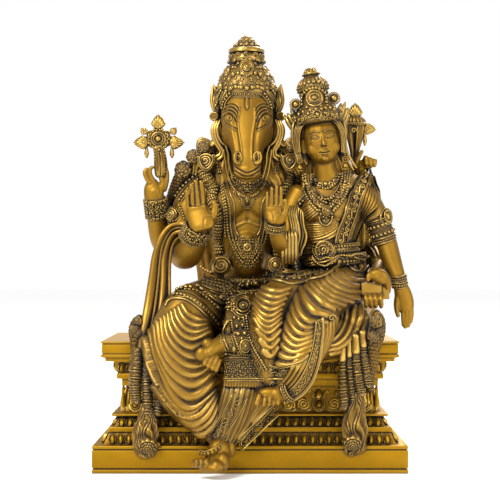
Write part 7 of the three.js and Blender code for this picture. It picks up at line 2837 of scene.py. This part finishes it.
ROLL_PX = [
    (255.6, 283.4), (258.2, 281.3), (270.4, 280.0), (280.6, 281.6), (290.8, 282.9), (301.0, 282.0),
    (311.2, 279.8), (321.4, 277.4), (328.4, 274.2), (335.3, 268.6), (339.6, 260.6),
]
LAP_TOP_PX = [
    (268.6, 270.6), (278.0, 270.4), (288.6, 271.4), (299.4, 271.0), (308.6, 268.6), (316.8, 264.6),
    (323.4, 259.6), (327.6, 254.6),
]
HEM_TOP_PX = [
    (268.6, 362.6), (271.9, 366.1), (278.0, 366.8), (284.6, 365.8), (291.4, 364.4), (297.4, 362.6),
    (303.0, 359.6), (308.4, 354.6),
]
HEM_FOOT_PX = [
    (268.0, 378.8), (274.6, 378.6), (280.8, 378.9), (286.0, 378.6), (291, 377.4), (296.2, 374.6),
    (300.6, 371.0), (306.6, 362.0),
]
HER_LAP_JEWELS_PX = [
    ("cord", 1.25, ROLL_PX, dict(lift=0.6)),
    ("cord", 0.5, inset(LAP_TOP_PX, ROLL_PX[1:], 0.06), inset(LAP_TOP_PX, ROLL_PX[1:], 0.2), dict(lift=0.4)),
    ("scrolls", inset(LAP_TOP_PX, ROLL_PX[1:], 0.24), inset(LAP_TOP_PX, ROLL_PX[1:], 0.88), 12.0, 0.7, 0.6,
        1.0),
    ("row", "stud", 0.9, 5.0, inset(LAP_TOP_PX, ROLL_PX[1:], 0.5), 0.5),
    # The skirt's scrolled hem, then the border of the cloth that fans out beside her foot
    ("cord", 0.75, HEM_FOOT_PX, dict(lift=0.5)),
    ("cord", 0.45, HEM_TOP_PX, inset(HEM_TOP_PX, HEM_FOOT_PX, 0.12), dict(lift=0.4)),
    ("scrolls", inset(HEM_TOP_PX, HEM_FOOT_PX, 0.16), inset(HEM_TOP_PX, HEM_FOOT_PX, 0.9), 11.5, 0.6, 0.4,
        0.9),
    ("put", "curl", (3.4, 3.0, 2.6), (331.6, 317.6), dict(lift=0.6)),
    ("put", "leaf", (3.0, 4.6, 3.0), (336.4, 311.0), dict(up=(0.9, 0, 0.5), lift=0.5)),
    ("put", "leaf", (2.6, 4.2, 3.0), (326.4, 325.6), dict(up=(-0.7, 0, -0.7), lift=0.5)),
    ("put", "daisy", 2.4, (284.6, 372.0), dict(lift=0.5)),
    ("put", "drop", (1.5, 2.6, 1.4), (294.2, 369.6), dict(up=(0.8, 0, 0.5), lift=0.5)),
]


def her_lap():
    """The rolled edge and scrolled band across the lap, with the gathered cloth above it."""
    ground = Ground("her_skirt", "her_body", "her_belts", "his_left_leg_cloth", "his_body")
    upper = laid(ground, [(282.4, 264.0), (292.0, 259.6), (302.0, 256.6), (312.4, 255.4)],
        [(284.6, 271.6), (294.0, 271.8), (304.0, 270.0), (313.6, 266.4)], 60, 40, 1.6, pleats(4.0, 1.3, 0.55),
        2.4, 6)
    border = laid(ground, LAP_TOP_PX, ROLL_PX[1:], 16, 70, 1.1, None, 2.4, 8)
    # The darker gold of the lap cloth is painted shade between its ornaments
    made = piece("her_lap_cloth", [upper, border], "ornament_gold")
    jewels = Jeweller("her_lap_cloth", "her_skirt")
    jewels.lay(HER_LAP_JEWELS_PX)
    return [made, jewels.piece("her_hem_ornaments")]


FAN_OUTER_PX = [
    (323.2, 318.0), (323.4, 329.6), (322.6, 342.0), (320.8, 356.0), (317.4, 370.0), (311.8, 384.2),
    (303.6, 394.4), (294.2, 400.4), (286.0, 402.0),
]
FAN_INNER_PX = [
    (315.8, 322.0), (314.6, 332.0), (312.8, 343.4), (310.0, 355.0), (305.6, 366.6), (299.4, 378.0),
    (292.6, 386.6), (285.6, 392.4), (280.6, 394.6),
]
HER_FAN_JEWELS_PX = [
    ("cord", 0.85, inset(FAN_INNER_PX, FAN_OUTER_PX, 0.96), dict(lift=0.5)),
    ("cord", 0.55, inset(FAN_INNER_PX, FAN_OUTER_PX, 0.06), inset(FAN_INNER_PX, FAN_OUTER_PX, 0.84),
        dict(lift=0.4)),
    ("scrolls", inset(FAN_INNER_PX, FAN_OUTER_PX, 0.12), inset(FAN_INNER_PX, FAN_OUTER_PX, 0.8), 11.0, 0.5,
        0.35, 0.75),
]


def her_hem_fan():
    """The bordered edge of the cloth that hangs beside her shin and sweeps under her foot."""
    ground = Ground("her_skirt")
    lower = FAN_INNER_PX[3:]
    under = [(x - 13.0, y - 4.0) for x, y in lower]
    shapes = [
        laid(ground, FAN_INNER_PX, FAN_OUTER_PX, 12, 80, 2.2, None, 3.4, 12, -93.0),
        laid(ground, under, lower, 44, 60, 0.8, pleats(3.0, 1.6, 0.6), 3.0, 12, -93.2),
    ]
    made = piece("her_hem_fan", shapes, "cloth_gold")
    jewels = Jeweller("her_hem_fan")
    jewels.lay(HER_FAN_JEWELS_PX)
    return [made, jewels.piece("her_fan_ornaments")]


# The book's front, spine and lower board: width in pixels, depth in millimetres, height in pixels, middle,
# how far back
BOOK_BLOCKS_PX = [
    (20.4, 9.0, 12.4, (371.0, 289.0), 4.5), (7.6, 13.0, 16.4, (384.6, 290.8), 8.5),
    (5.0, 8.0, 14.0, (362.6, 292.6), 6.0),
]


def her_book():
    """The closed book on her thigh, with the lord's fingers round it."""
    depth = -44.0
    bm = bmesh.new()
    bmesh.ops.create_cube(bm, size=1.0)
    bmesh.ops.bevel(bm, geom=bm.edges, offset=0.06, segments=2, profile=0.5, affect="EDGES", material=-1)
    block = Shape.of_bmesh(bm)
    reach = (depth - EYE[1]) / FOCAL_PX
    covers = [
        stood(block, (wide * reach, deep, tall * reach), sight(spot, depth + back))
        for wide, deep, tall, spot, back in BOOK_BLOCKS_PX
    ]
    fingers = []
    for x in (365.9, 370.8, 375.6, 381.0):
        fingers.append(sleeve(in_view(depth - 1.0, [(x, 294.0, 2.3, depth + 1.0),
            (x, 298.4, 2.5, depth - 1.6), (x + 0.1, 301.6, 2.25, depth - 1.8),
            (x + 0.2, 304.6, 2.4, depth - 1.2), (x + 0.2, 307.4, 1.9, depth)]), 16, 26))
    hand = melted(
        [
            sleeve(in_view(depth, [(386.6, 292.0, 4.0, depth + 6), (387.0, 284.0, 4.4, depth + 3),
                (383.0, 276.4, 5.6, depth), (376.6, 273.6, 5.2, depth), (371.0, 277.0, 3.4, depth - 1)]), 24,
                40),
            blob(sight((379.4, 277.6), depth), (6.2, 4.2, 4.6), (0, 0.3, 0)),
            sleeve(in_view(depth, [(372.0, 272.0, 2.8, depth), (368.8, 275.6, 2.6, depth - 2),
                (367.6, 280.4, 2.2, depth - 2.4)]), 16, 24),
        ],
        0.5, 2,
    )
    return piece("her_book", covers, "skin_gold", crease=40), piece("book_hand",
        [melted(fingers, 0.45, 1), hand], "skin_gold")


HER_ARMLET_JEWELS_PX = [
    ("put", "boss", (3.2, 4.6, 2.6), (386.0, 217.0), dict(lift=1.8)),
    ("row", "grain", 0.95, 1.7, circle_px((386.0, 217.0), (5.6, 8.2), count=15), 0.9, True),
    ("cord", 0.5, circle_px((385.4, 217.0), (5.6, 7.8), count=15), dict(lift=1.4, closed=True)),
    ("put", "target", (5.8, 5.8, 2.6), (276.0, 265.2), dict(lift=2.6)),
]


def her_bangles():
    """The armlet, the cuff of the raised hand, bracelets and the anklet."""
    shapes = [
        band((92.0, -13.6, 164.6), (0.1, -0.34, 0), 8.4, 15,
            [("bead", 1.35, 0.42, 18), ("bead", 1.35, -0.42, 18), ("bar", (2.6, 0.5, 1.6), 0.0, 26),
            ("bar", (2.6, 0.5, 1.6), 0.78, 26), ("bar", (2.6, 0.5, 1.6), -0.78, 26)]),
        band((94.4, -14.2, 157.4), (0.1, -0.34, 0), 8.4, 4.2, [("grain", 0.6, 0.0, 40)]),
        band((103.4, -22.8, 130.6), (0.25, -0.2, 0), 5.6, 4.4, [("grain", 0.62, 0.0, 28)]),
        band((104.2, -23.6, 126.0), (0.25, -0.15, 0), 5.3, 4.2, [("stud", 0.85, 0.0, 20)]),
        band((17.4, -43.0, 165.4), (0.5, 0.1, 0), 6.6, 5.8,
            [("grain", 0.65, 0.5, 34), ("grain", 0.65, -0.5, 34), ("stud", 0.9, 0.0, 24)]),
        band((24.6, -85.6, 57.6), (0.4, 1.1, 0), 6.4, 3.6, [("stud", 0.8, 0.0, 22)]),
    ]
    jewels = Jeweller("her_body")
    jewels.lay(HER_ARMLET_JEWELS_PX)
    return jewels.piece("her_bangles", extra=shapes)


# Stoles, their knurled ends and tassels, and what the rear hands bear

def knurled(pitch, deep=0.42, bands=()):
    """A relief of small lumps, broken by double rings at the shares given."""
    def relief(share, angle):
        rows = share * pitch * TURN / 2 + 2 * np.sin(5 * angle)
        lumps = deep * np.sin(9 * angle + 2.0 * np.sin(share * pitch)) * np.sin(rows)
        for middle in bands:
            away = np.abs(share - middle)
            near = np.exp(-((away / 0.05) ** 4))
            rings = 1.5 * np.exp(-(((away - 0.024) / 0.014) ** 2))
            lumps = lumps * (1 - near) + (rings - 0.7) * near
        return lumps

    return relief


def fluted(count, deep=0.9, power=0.6):
    return lambda share, angle: deep * (np.abs(np.sin(count * angle / 2)) ** power - 0.6)


# The folds that hang from his forearm: a flat one behind, then four from the outermost in
LEFT_STOLE_PX = [
    [(182, 230, 5.0, -18), (170, 234, 6.6, -20), (162.5, 250, 7.6, -27), (161.5, 270, 9.0, -36),
        (159.5, 290, 9.4, -44), (156, 308, 8.4, -51), (149, 328, 6.0, -57.5), (145, 346, 4.4, -60.4)],
    [(187, 224.6, 1.8, -23), (178, 223.8, 2.0, -22), (169.5, 227, 2.4, -22.4), (162.5, 235.5, 2.9, -24),
        (157.8, 247, 3.3, -28), (154.6, 260, 3.7, -34), (152.8, 275, 4.0, -41), (150.4, 292, 4.3, -49),
        (147.6, 310, 4.5, -56), (144.2, 328, 4.3, -60.5), (141.9, 342, 4.0, -62.4), (141.2, 352, 3.8, -63)],
    [(184, 226.8, 1.4, -21), (172, 229.6, 1.6, -21.4), (165.2, 239, 1.6, -24), (161.6, 250, 1.6, -29),
        (159.8, 265, 1.6, -36), (158.2, 281, 1.7, -43), (156.2, 297, 1.7, -50), (154.2, 312, 1.6, -55.6),
        (151.6, 326, 1.5, -59.4), (149.4, 340, 1.6, -61.6), (148.8, 352, 2.2, -62.5)],
    [(186, 230.4, 1.8, -23), (175.4, 233, 2.1, -22), (169.6, 240, 2.4, -24.6), (166.2, 250, 2.7, -29.4),
        (163.8, 262, 2.9, -35.6), (163.2, 280, 2.9, -43.6), (161.6, 300, 2.7, -51.6), (159.2, 315, 2.3, -56),
        (157.2, 326, 1.8, -58)],
    [(180, 236.6, 1.3, -22), (173.4, 244, 1.5, -25.4), (170.2, 258, 1.7, -32), (169.4, 275, 1.7, -40),
        (169.6, 293, 1.7, -47), (169, 304, 1.4, -52)],
]
STOLE_END_DEPTH = -63.0
# Each knurled end: its middle line in pixels, with the half width
LEFT_ENDS_PX = [
    [(138.4, 350, 5.2), (137.0, 368, 5.6), (135.8, 386, 5.4), (136.6, 402, 5.0)],
    [(148.4, 356, 4.8), (147.4, 376, 5.4), (147.6, 396, 5.4), (148.0, 416, 5.0)],
    [(158.6, 352, 4.4), (159.6, 374, 4.8), (160.2, 394, 4.6), (157.6, 414, 4.2)],
    [(165.6, 372, 3.0), (166.2, 388, 3.2), (164.2, 406, 3.0)],
]
RIGHT_ENDS_PX = [
    [(342.6, 344, 3.6), (342.2, 366, 3.8), (342.8, 388, 4.4), (344.4, 408, 4.6)],
    [(349.0, 342, 2.8), (349.2, 362, 3.0), (351.2, 384, 3.2), (353.6, 402, 3.4)],
    [(355.6, 336, 3.8), (355.8, 358, 4.4), (358.4, 378, 5.0), (361.2, 394, 5.2)],
    [(362.6, 332, 3.2), (363.6, 352, 3.6), (366.6, 370, 4.6), (368.0, 386, 4.2)],
]
END_BANDS = [(0.36, 0.53, 0.70, 0.86), (0.44, 0.60, 0.76, 0.92), (0.4, 0.58, 0.76, 0.92), (0.3, 0.6, 0.9)]


def stole_end(rows, bands, depth):
    return sleeve(in_view(depth, rows, 0.85), 40, 130, FRONT, knurled(38.0, 0.62, bands))


def tassel(rows, depth, strings=17):
    """A fringe of wavy strings that gather into ragged locks."""
    def relief(share, angle):
        wave = 1.6 * np.sin(2 * angle + 9 * share) + 1.2 * np.sin(5 * angle - 14 * share)
        combed = np.abs(np.sin(strings * angle / 2 + wave + 5 * share)) ** 0.7
        locks = np.sin(4 * angle + 16 * share + 1.5 * np.sin(3 * angle - 7 * share))
        return 1.3 * (combed - 0.6) + 0.9 * locks * smoothstep(0.1, 0.6, share)

    return sleeve(in_view(depth, rows, 0.62), 150, 110, FRONT, relief)


def stoles():
    left = [sleeve(in_view(0, rows, 0.75 if k else 0.3), 28, 90) for k, rows in enumerate(LEFT_STOLE_PX)]
    ends = [stole_end(rows, bands, STOLE_END_DEPTH) for rows, bands in zip(LEFT_ENDS_PX, END_BANDS)]
    ends += [stole_end(rows, bands, STOLE_END_DEPTH + 0.4) for rows, bands in zip(RIGHT_ENDS_PX, END_BANDS)]
    smooth = []
    for rows in RIGHT_ENDS_PX:
        top = [
            [rows[0][0] + 1.5, 318, rows[0][2] * 0.8, -50.0], [rows[0][0] + 0.3, 333, rows[0][2], -60.0],
            [*rows[0][:2], rows[0][2] * 1.1, -63.0], [rows[1][0], rows[1][1] - 6, rows[1][2] * 1.05, -63.6],
        ]
        smooth.append(sleeve(in_view(0, top), 20, 30))
    heads = [
        tassel([(147.6, 408, 6.0), (147.0, 416, 8.4), (147.0, 422, 10.0), (146.0, 430, 11.6),
            (145.4, 440, 12.8), (147.0, 449, 11.6), (148.6, 454, 7.0)], -62.6),
        tassel([(357.0, 394, 6.0), (356.4, 404, 7.8), (355.6, 414, 9.6), (354.6, 426, 11.6),
            (356.0, 438, 11.6), (353.6, 447, 9.4), (349.0, 453, 4.6)], -62.0),
    ]
    roses = []
    for spot, size, depth in (((148.0, 446.0), 6.4, -68.6), ((352.6, 443.0), 6.2, -68.0)):
        roses.append(stood(blossom(9, 4, 54), (size, size * 0.9, size * 0.7), sight(spot, depth),
            (math.pi / 2 + 0.5, 0, 0)))
    return [
        piece("stoles", [left, smooth], "cloth_gold"), piece("tassels", [ends, heads, roses],
            "ornament_gold"),
    ]


def flame(at, size, tilt, count=7):
    """A fan of pointed tongues round a small ring, its tip at +Z."""
    tongues = []
    for k in range(count):
        share = (k - (count - 1) / 2) / ((count - 1) / 2)
        angle = share * 1.0
        reach = 1.0 - 0.35 * abs(share)
        x, z = math.sin(angle), math.cos(angle)
        tongues.append(
            sleeve(
                [
                    [0.12 * share, -0.05, 0.0, 0.16, 0.2], [x * 0.5, -0.12, z * 0.45 * reach + 0.1, 0.17,
                        0.18],
                    [x * 0.55, -0.05, z * 0.8 * reach + 0.12, 0.12, 0.13], [x * 0.42, 0, reach * 1.06 + 0.1,
                        0.03, 0.03],
                ],
                8, 14,
            )
        )
    eye = joined(ring(0.3, 14), scaled(bead(8), 0.45))
    eye = stood(eye, (0.34, 0.34, 0.26), (0, -0.2, 0.22), (math.pi / 2, 0, 0))
    back = blob((0, 0.05, 0.4), (0.5, 0.12, 0.55), fine=12)
    return stood(joined(tongues, eye, back), size, at, tilt)


def wheel():
    """The discus: a lobed, jewelled disc with flames on three sides, on a stem with two drops."""
    middle = sight((158.4, 139.2), -7.0)
    reach = (EYE[1] * -1 - 7.0) / FOCAL_PX
    facing = (math.pi / 2, 0, 0)

    def standing(shape, size, offset=(0, 0), forward=0.0):
        return stood(shape, size, middle + np.array([offset[0] * reach, -forward, -offset[1] * reach]),
            facing)

    lobes = lambda height, angle: 0.1 * np.cos(8 * angle)
    disc = turned([(0, -0.3), (0.9, -0.3), (1.0, -0.1), (1.0, 0.12), (0.88, 0.26), (0.74, 0.2), (0, 0.2)],
        around=64, relief=lobes)
    shapes = [standing(disc, (7.6, 7.6, 6.0))]
    shapes.append(standing(dome(TARGET, 30), (5.2, 5.2, 3.4), forward=0.9))
    shapes.append(standing(ring(0.16, 30), (5.7, 5.7, 5.0), forward=1.2))
    shapes.append(standing(dome(STUD, 14), (2.0, 2.0, 1.9), forward=2.4))
    for count, radius, size in ((16, 9.2, 0.95), (8, 10.2, 1.15)):
        for k in range(count):
            angle = TURN * (k + 0.5) / count
            shapes.append(standing(bead(8), size, (radius * math.cos(angle), radius * math.sin(angle)), 1.3))
    for x, y in ((13.4, -6.0), (-12.8, -6.0)):
        shapes.append(flame(middle + np.array([x * reach, 0, -y * reach]), 4.6, (0, math.copysign(0.7, x), 0),
            5))
        curl_at = middle + np.array([x * 0.86 * reach, -0.8, 0.6 * reach])
        shapes.append(stood(spiral(1.3, 0.22, 26, 6), (2.3, 2.3, 2.4), curl_at, facing))
    shapes.append(flame(middle + np.array([0, 0, 11.6 * reach]), 8.4, (0, 0, 0), 7))
    shapes.append(flame(middle + np.array([-11.8 * reach, 0, -3.4 * reach]), 8.2, (0, -math.pi / 2, 0), 7))
    shapes.append(flame(middle + np.array([12.8 * reach, 0, -3.4 * reach]), 8.2, (0, math.pi / 2, 0), 7))
    for x in (-11.8, 13.6):
        stem = [middle + np.array([x * reach, 0.2, -z * reach]) for z in (5.5, 9.5, 14.5, 18.4)]
        shapes.append(swept(stem, [0.8, 1.05, 1.7, 0.8], 12, 0.6))
    stem = sleeve(in_view(-7.0, [(158.6, 147, 5.2), (159.6, 153, 5.4), (160.4, 159, 6.0), (160.8, 167, 6.4),
        (161.0, 175, 5.6)]), 40, 50, FRONT, fluted(14, 0.8))
    shapes.append(stem)
    shapes.append(standing(dome(TARGET, 20), (2.4, 2.4, 2.0), (0.8, 11.0), 3.4))
    for x, y, size in ((8.8, -5.0, 2.4), (-8.8, -5.0, 2.4), (8.8, 4.6, 2.2), (-8.8, 4.6, 2.2),
            (0.0, -10.8, 2.2), (-9.8, -0.6, 2.4), (10.2, -0.6, 2.4)):
        shapes.append(standing(dome(TARGET, 14), (size, size, 1.9), (x, y), 0.4))
    for y in np.arange(9.0, 34.0, 3.0):
        for x in np.arange(-4.4, 4.5, 2.2):
            shapes.append(standing(dome(STUD, 8), (0.95, 0.95, 1.0), (x + 0.09 * y, y),
                2.5 * math.sqrt(1 - (x / 6.0) ** 2) + 0.1))
    shapes.append(wreath(bead(6), 0.75, 4.0, [sight((158.8, 149.4), -7), sight((159.4, 152.0), -7)], 1.4, 18,
        UP))
    return piece("discus", shapes, "ornament_gold", crease=60)


def shell_relief(share, angle):
    """A relief of ribs round a shell, with its lip open to the front."""
    ribs = 0.55 * np.cos(7 * angle + 1.2 * share)
    lip = np.exp(-((np.angle(np.exp(1j * (angle - 0.3 + 0.3 * share))) / 0.24) ** 2))
    return ribs - 2.4 * lip * np.sin(math.pi * np.clip(share * 1.15, 0, 1)) ** 0.5


def conch():
    """The conch: point down, its lip open to the viewer, capped with a jewelled dome and flames."""
    depth = 8.0
    body = sleeve(
        in_view(depth, [(355.6, 123.0, 9.4), (355.4, 128, 9.6), (355.2, 134, 8.8), (355.0, 141, 7.0),
            (354.8, 148, 5.0), (354.8, 156, 3.6), (355.4, 164, 3.0)], 0.75),
        72, 70, FRONT, shell_relief,
    )
    shapes = [body]
    cap = sleeve(in_view(depth, [(355.4, 123.6, 10.2), (355.4, 121.0, 10.0), (355.4, 118, 8.0),
        (355.4, 115.6, 4.6)], 0.8), 64, 24, FRONT, fluted(16, 0.7))
    shapes.append(cap)
    axis = sight((355.4, 124.4), depth)
    rim = turned([(5.2, -1.1), (7.6, -1.1), (8.1, -0.4), (8.1, 0.5), (7.6, 1.1), (5.2, 1.1), (5.2, -1.1)],
        around=40)
    shapes.append(stood(rim, (1, 0.85, 1), axis))
    shapes.append(scaled(bead(6), 0.75).copies(round_the(axis, 7.5, 0.0, 30)))
    shapes.append(flame(sight((355.2, 116.4), depth - 1), 8.6, (0, 0, 0), 7))
    shapes.append(flame(sight((364.6, 128.6), depth - 1), 7.2, (0, math.pi / 2 + 0.1, 0), 7))
    shapes.append(swept([sight(spot, depth - 2) for spot in ((364.8, 131.5), (364.8, 135.5), (365.0, 141.0),
        (364.8, 145.4))], [0.7, 0.85, 1.5, 0.7], 12, 0.6))
    shapes.append(stood(spiral(1.2, 0.24, 26, 6), (2.6, 2.6, 2.4), sight((353.4, 130.6), depth - 6.8),
        (math.pi / 2, 0, 0)))
    return piece("conch", shapes, "ornament_gold", crease=60)


# Cloth behind the shoulders, and the flowers that hang over the seat

def capes():
    """The cape behind his neck that falls down his back, and hair behind the shoulders."""
    fall = [
        (-2, 6, 214, 30, 6), (-2, 12, 208, 41, 8), (-2, 17, 198, 52, 9.5), (-2, 21, 184, 53, 10),
        (-2, 24, 166, 46, 9.5),
        (-2, 27, 148, 39, 9), (-2, 31, 128, 36, 8.4), (-2, 35, 108, 36, 8), (-2, 38, 94, 37, 7.4),
        (-2, 39, 89, 37, 6.6),
    ]
    cape = sleeve(fall, 180, 120, BACK, gathered(13, 1.1), (0.1, 0.02))
    shapes = [cape]
    for side in (-1, 1):
        for k in range(5):
            line = [
                (LOCKS_MIDDLE_PX + side * (18 + 1.6 * k), 126 + 4 * k),
                (LOCKS_MIDDLE_PX + side * (20 + 2.4 * k), 142 + 3 * k),
                (LOCKS_MIDDLE_PX + side * (21 + 3.4 * k), 158 + 2 * k),
                (LOCKS_MIDDLE_PX + side * (23 + 4.0 * k), 172),
            ]
            shapes.append(hung(-1.0 + 0.6 * k, line, [1.6, 1.9, 1.9, 1.4], 10))
    border = wreath(bead(6), 0.9, 1.0, [(-40 + 4 * k, 46.6 - 0.02 * (k - 9.5) ** 2, 91.5) for k in range(20)],
        1.9, 4, BACK)
    return piece("his_cape", [shapes, border], "ornament_gold")


def bloomed(spots, depth_back=2.4):
    """Full blossoms facing the viewer, each [pixel, size in millimetres, Y]."""
    shapes = []
    for k, (spot, size, depth) in enumerate(spots):
        tilt = (math.pi / 2 - 0.15, 0, ((k * 37) % 5 - 2) * 0.14)
        shapes.append(stood(blossom(6 + k % 3, 4, 42), (size, size, size * 0.85), sight(spot, depth), tilt))
        shapes.append(blob(sight(spot, depth + depth_back), (size * 0.9, size * 0.7, size * 0.9), fine=12))
    return shapes


def seat_flowers():
    """Flowers beside both knees: a bunch on the left, a thick garland with leaves on the right."""
    leaf = Jeweller.unit("leaf")
    right = bloomed([((375.6, 322.0), 4.4, -66.0), ((373.4, 336.6), 4.2, -66.6),
        ((380.6, 331.0), 3.4, -65.0)])
    stem = [((375.4, 309.6), -56.6, 1.4), ((377.0, 315.0), -57.6, 4.2), ((378.0, 323.0), -59.0, 5.6),
        ((377.0, 333.0), -60.4, 6.0), ((374.4, 343.0), -61.4, 5.4), ((373.2, 352.0), -61.4, 4.0),
            ((373.0, 362.0), -61.4, 3.2), ((371.6, 374.0), -61.4, 2.2), ((370.2, 388.0), -61.4, 1.0)]
    right.append(wreath(leaf, 4.6, [radius for _, _, radius in stem], [sight(spot, depth) for spot, depth,
        _ in stem], 2.3, 9))
    left = bloomed([((137.0, 321.4), 3.4, -61.4), ((133.4, 330.0), 3.6, -63.4), ((138.6, 333.6), 3.2, -63.0)])
    bunch = [
        ((141.6, 315.0), -55.4, 1.2), ((138.0, 320.0), -57.4, 3.8), ((135.4, 328.0), -59.0, 4.8),
        ((135.4, 337.0), -60.0, 4.0), ((135.0, 346.0), -60.4, 2.6),
    ]
    left.append(wreath(leaf, 4.0, [radius for _, _, radius in bunch], [sight(spot, depth) for spot, depth,
        _ in bunch], 2.3, 9))
    strand = sleeve(in_view(-60.5, [(135.2, 336, 3.4), (134.4, 350, 3.6), (133.6, 366, 3.8),
        (133.0, 384, 3.8), (134.4, 398, 3.2)]), 36, 110, FRONT, knurled(40.0, 0.5, END_BANDS[0]))
    return piece("seat_flowers", [right, left, strand], "ornament_gold")


# The stage

def build_stage(stage):
    """A pale floor, soft light all round with a large key light from the upper left, and the camera."""
    bm = bmesh.new()
    bmesh.ops.create_grid(bm, x_segments=2, y_segments=2, size=stage.floor_half)
    mesh = bpy.data.meshes.new("floor")
    bm.to_mesh(mesh)
    bm.free()
    floor = bpy.data.objects.new("floor", mesh)
    bpy.context.scene.collection.objects.link(floor)
    recipe = Recipe("pale_floor")
    recipe.feed(recipe.shader.inputs["Base Color"], tint(stage.floor_colour))
    recipe.feed(recipe.shader.inputs["Roughness"], 0.9)
    mesh.materials.append(recipe.material)
    scene = bpy.context.scene
    scene.view_settings.view_transform = "Standard"
    world = bpy.data.worlds.new("pale_surroundings")
    world.use_nodes = True
    world.node_tree.nodes["Background"].inputs["Color"].default_value = (1, 1, 1, 1)
    world.node_tree.nodes["Background"].inputs["Strength"].default_value = stage.world_light
    scene.world = world
    for name, at, size, share in (
        ("key_light", (-0.7, -1.0, 1.1), 0.7, 1.0),
        ("fill_light", (0.9, -0.9, 0.5), 0.9, 0.3),
        ("rim_light", (0.3, 0.9, 1.0), 0.8, 0.6),
    ):
        lamp = bpy.data.lights.new(name, "AREA")
        lamp.energy = stage.key_power * share
        lamp.size = size
        light = bpy.data.objects.new(name, lamp)
        light.location = at
        light.rotation_euler = (Vector((0, 0, 0.15)) - Vector(at)).to_track_quat("-Z", "Y").to_euler()
        scene.collection.objects.link(light)
    lens = bpy.data.cameras.new("viewer")
    lens.lens = stage.lens
    lens.sensor_width = stage.lens * PICTURE_PX / FOCAL_PX
    lens.shift_x = (PICTURE_PX / 2 - LEVEL_PX[0]) / PICTURE_PX
    lens.shift_y = (LEVEL_PX[1] - PICTURE_PX / 2) / PICTURE_PX
    lens.clip_start = 0.01
    camera = bpy.data.objects.new("viewer", lens)
    camera.location = EYE * MM
    camera.rotation_euler = (math.pi / 2, 0, 0)
    scene.collection.objects.link(camera)
    scene.camera = camera


# Operators

class STATUE_OT_throne(bpy.types.Operator):
    """Carves the stepped throne with its eggs, darts, scrolls and palmettes"""

    bl_idname = "statue.throne"
    bl_label = "Throne"

    def execute(self, context):
        build_throne(context.scene.statue_sizes)
        return {"FINISHED"}


class STATUE_OT_bodies(bpy.types.Operator):
    """Models the skin of both figures"""

    bl_idname = "statue.bodies"
    bl_label = "Bodies"

    def execute(self, context):
        sizes = context.scene.statue_sizes
        his_body(sizes)
        his_feet(sizes)
        her_body(sizes)
        hands(sizes)
        return {"FINISHED"}


class STATUE_OT_heads(bpy.types.Operator):
    """Models the horse head with its mane and the consort's face"""

    bl_idname = "statue.heads"
    bl_label = "Heads"

    def execute(self, context):
        sizes = context.scene.statue_sizes
        his_face(sizes)
        ears_and_mane()
        her_face()
        her_features()
        return {"FINISHED"}


class STATUE_OT_cloth(bpy.types.Operator):
    """Drapes the folded cloth round both figures' legs"""

    bl_idname = "statue.cloth"
    bl_label = "Cloth"

    def execute(self, context):
        sizes = context.scene.statue_sizes
        his_cloth(sizes)
        her_cloth(sizes)
        his_sash(sizes)
        stoles()
        wheel()
        conch()
        return {"FINISHED"}


class STATUE_OT_crowns(bpy.types.Operator):
    """Turns the tiered crowns and studs them"""

    bl_idname = "statue.crowns"
    bl_label = "Crowns"

    def execute(self, context):
        his_crown()
        her_crown()
        return {"FINISHED"}


class STATUE_OT_his_ornaments(bpy.types.Operator):
    """Lays the lord's necklaces, garlands, belts and bangles on him"""

    bl_idname = "statue.his_ornaments"
    bl_label = "His ornaments"

    def execute(self, context):
        his_crown_front()
        his_head_ornaments()
        his_nostrils()
        his_chest_ornaments()
        his_garlands()
        his_belts()
        his_knee_border()
        his_bangles()
        his_sash_ornaments()
        return {"FINISHED"}


class STATUE_OT_her_ornaments(bpy.types.Operator):
    """Lays the consort's hair, upper cloth, hems, jewels and book on her"""

    bl_idname = "statue.her_ornaments"
    bl_label = "Her ornaments"

    def execute(self, context):
        sizes = context.scene.statue_sizes
        her_hair()
        her_crown_front()
        her_bodice(sizes)
        her_stole()
        her_torso_ornaments()
        her_belts()
        her_lap()
        her_hem_fan()
        her_book()
        her_bangles()
        capes()
        seat_flowers()
        return {"FINISHED"}


class STATUE_OT_stage(bpy.types.Operator):
    """Sets the floor, the lights and the camera"""

    bl_idname = "statue.stage"
    bl_label = "Stage"

    def execute(self, context):
        build_stage(context.scene.statue_stage)
        return {"FINISHED"}


OPERATORS = (
    STATUE_OT_throne,
    STATUE_OT_bodies,
    STATUE_OT_heads,
    STATUE_OT_cloth,
    STATUE_OT_crowns,
    STATUE_OT_his_ornaments,
    STATUE_OT_her_ornaments,
    STATUE_OT_stage,
)


class STATUE_PT_panel(bpy.types.Panel):
    """Lists the steps and settings of the statue"""

    bl_idname = "STATUE_PT_panel"
    bl_label = "Statue"
    bl_space_type = "VIEW_3D"
    bl_region_type = "UI"
    bl_category = "Statue"

    def draw(self, context):
        for step in OPERATORS:
            self.layout.operator(step.bl_idname)
        for group in (context.scene.statue_sizes, context.scene.statue_look, context.scene.statue_stage):
            box = self.layout.box()
            for name in group.bl_rna.properties.keys()[2:]:
                box.prop(group, name)


CLASSES = (StatueSizes, StatueLook, StatueStage, *OPERATORS, STATUE_PT_panel)


def register():
    for made in CLASSES:
        bpy.utils.register_class(made)
    bpy.types.Scene.statue_sizes = PointerProperty(type=StatueSizes)
    bpy.types.Scene.statue_look = PointerProperty(type=StatueLook)
    bpy.types.Scene.statue_stage = PointerProperty(type=StatueStage)


def unregister():
    for name in ("statue_sizes", "statue_look", "statue_stage"):
        delattr(bpy.types.Scene, name)
    for made in reversed(CLASSES):
        bpy.utils.unregister_class(made)


def main():
    register()
    for step in OPERATORS:
        family, name = step.bl_idname.split(".")
        getattr(getattr(bpy.ops, family), name)()


if __name__ == "__main__":
    main()
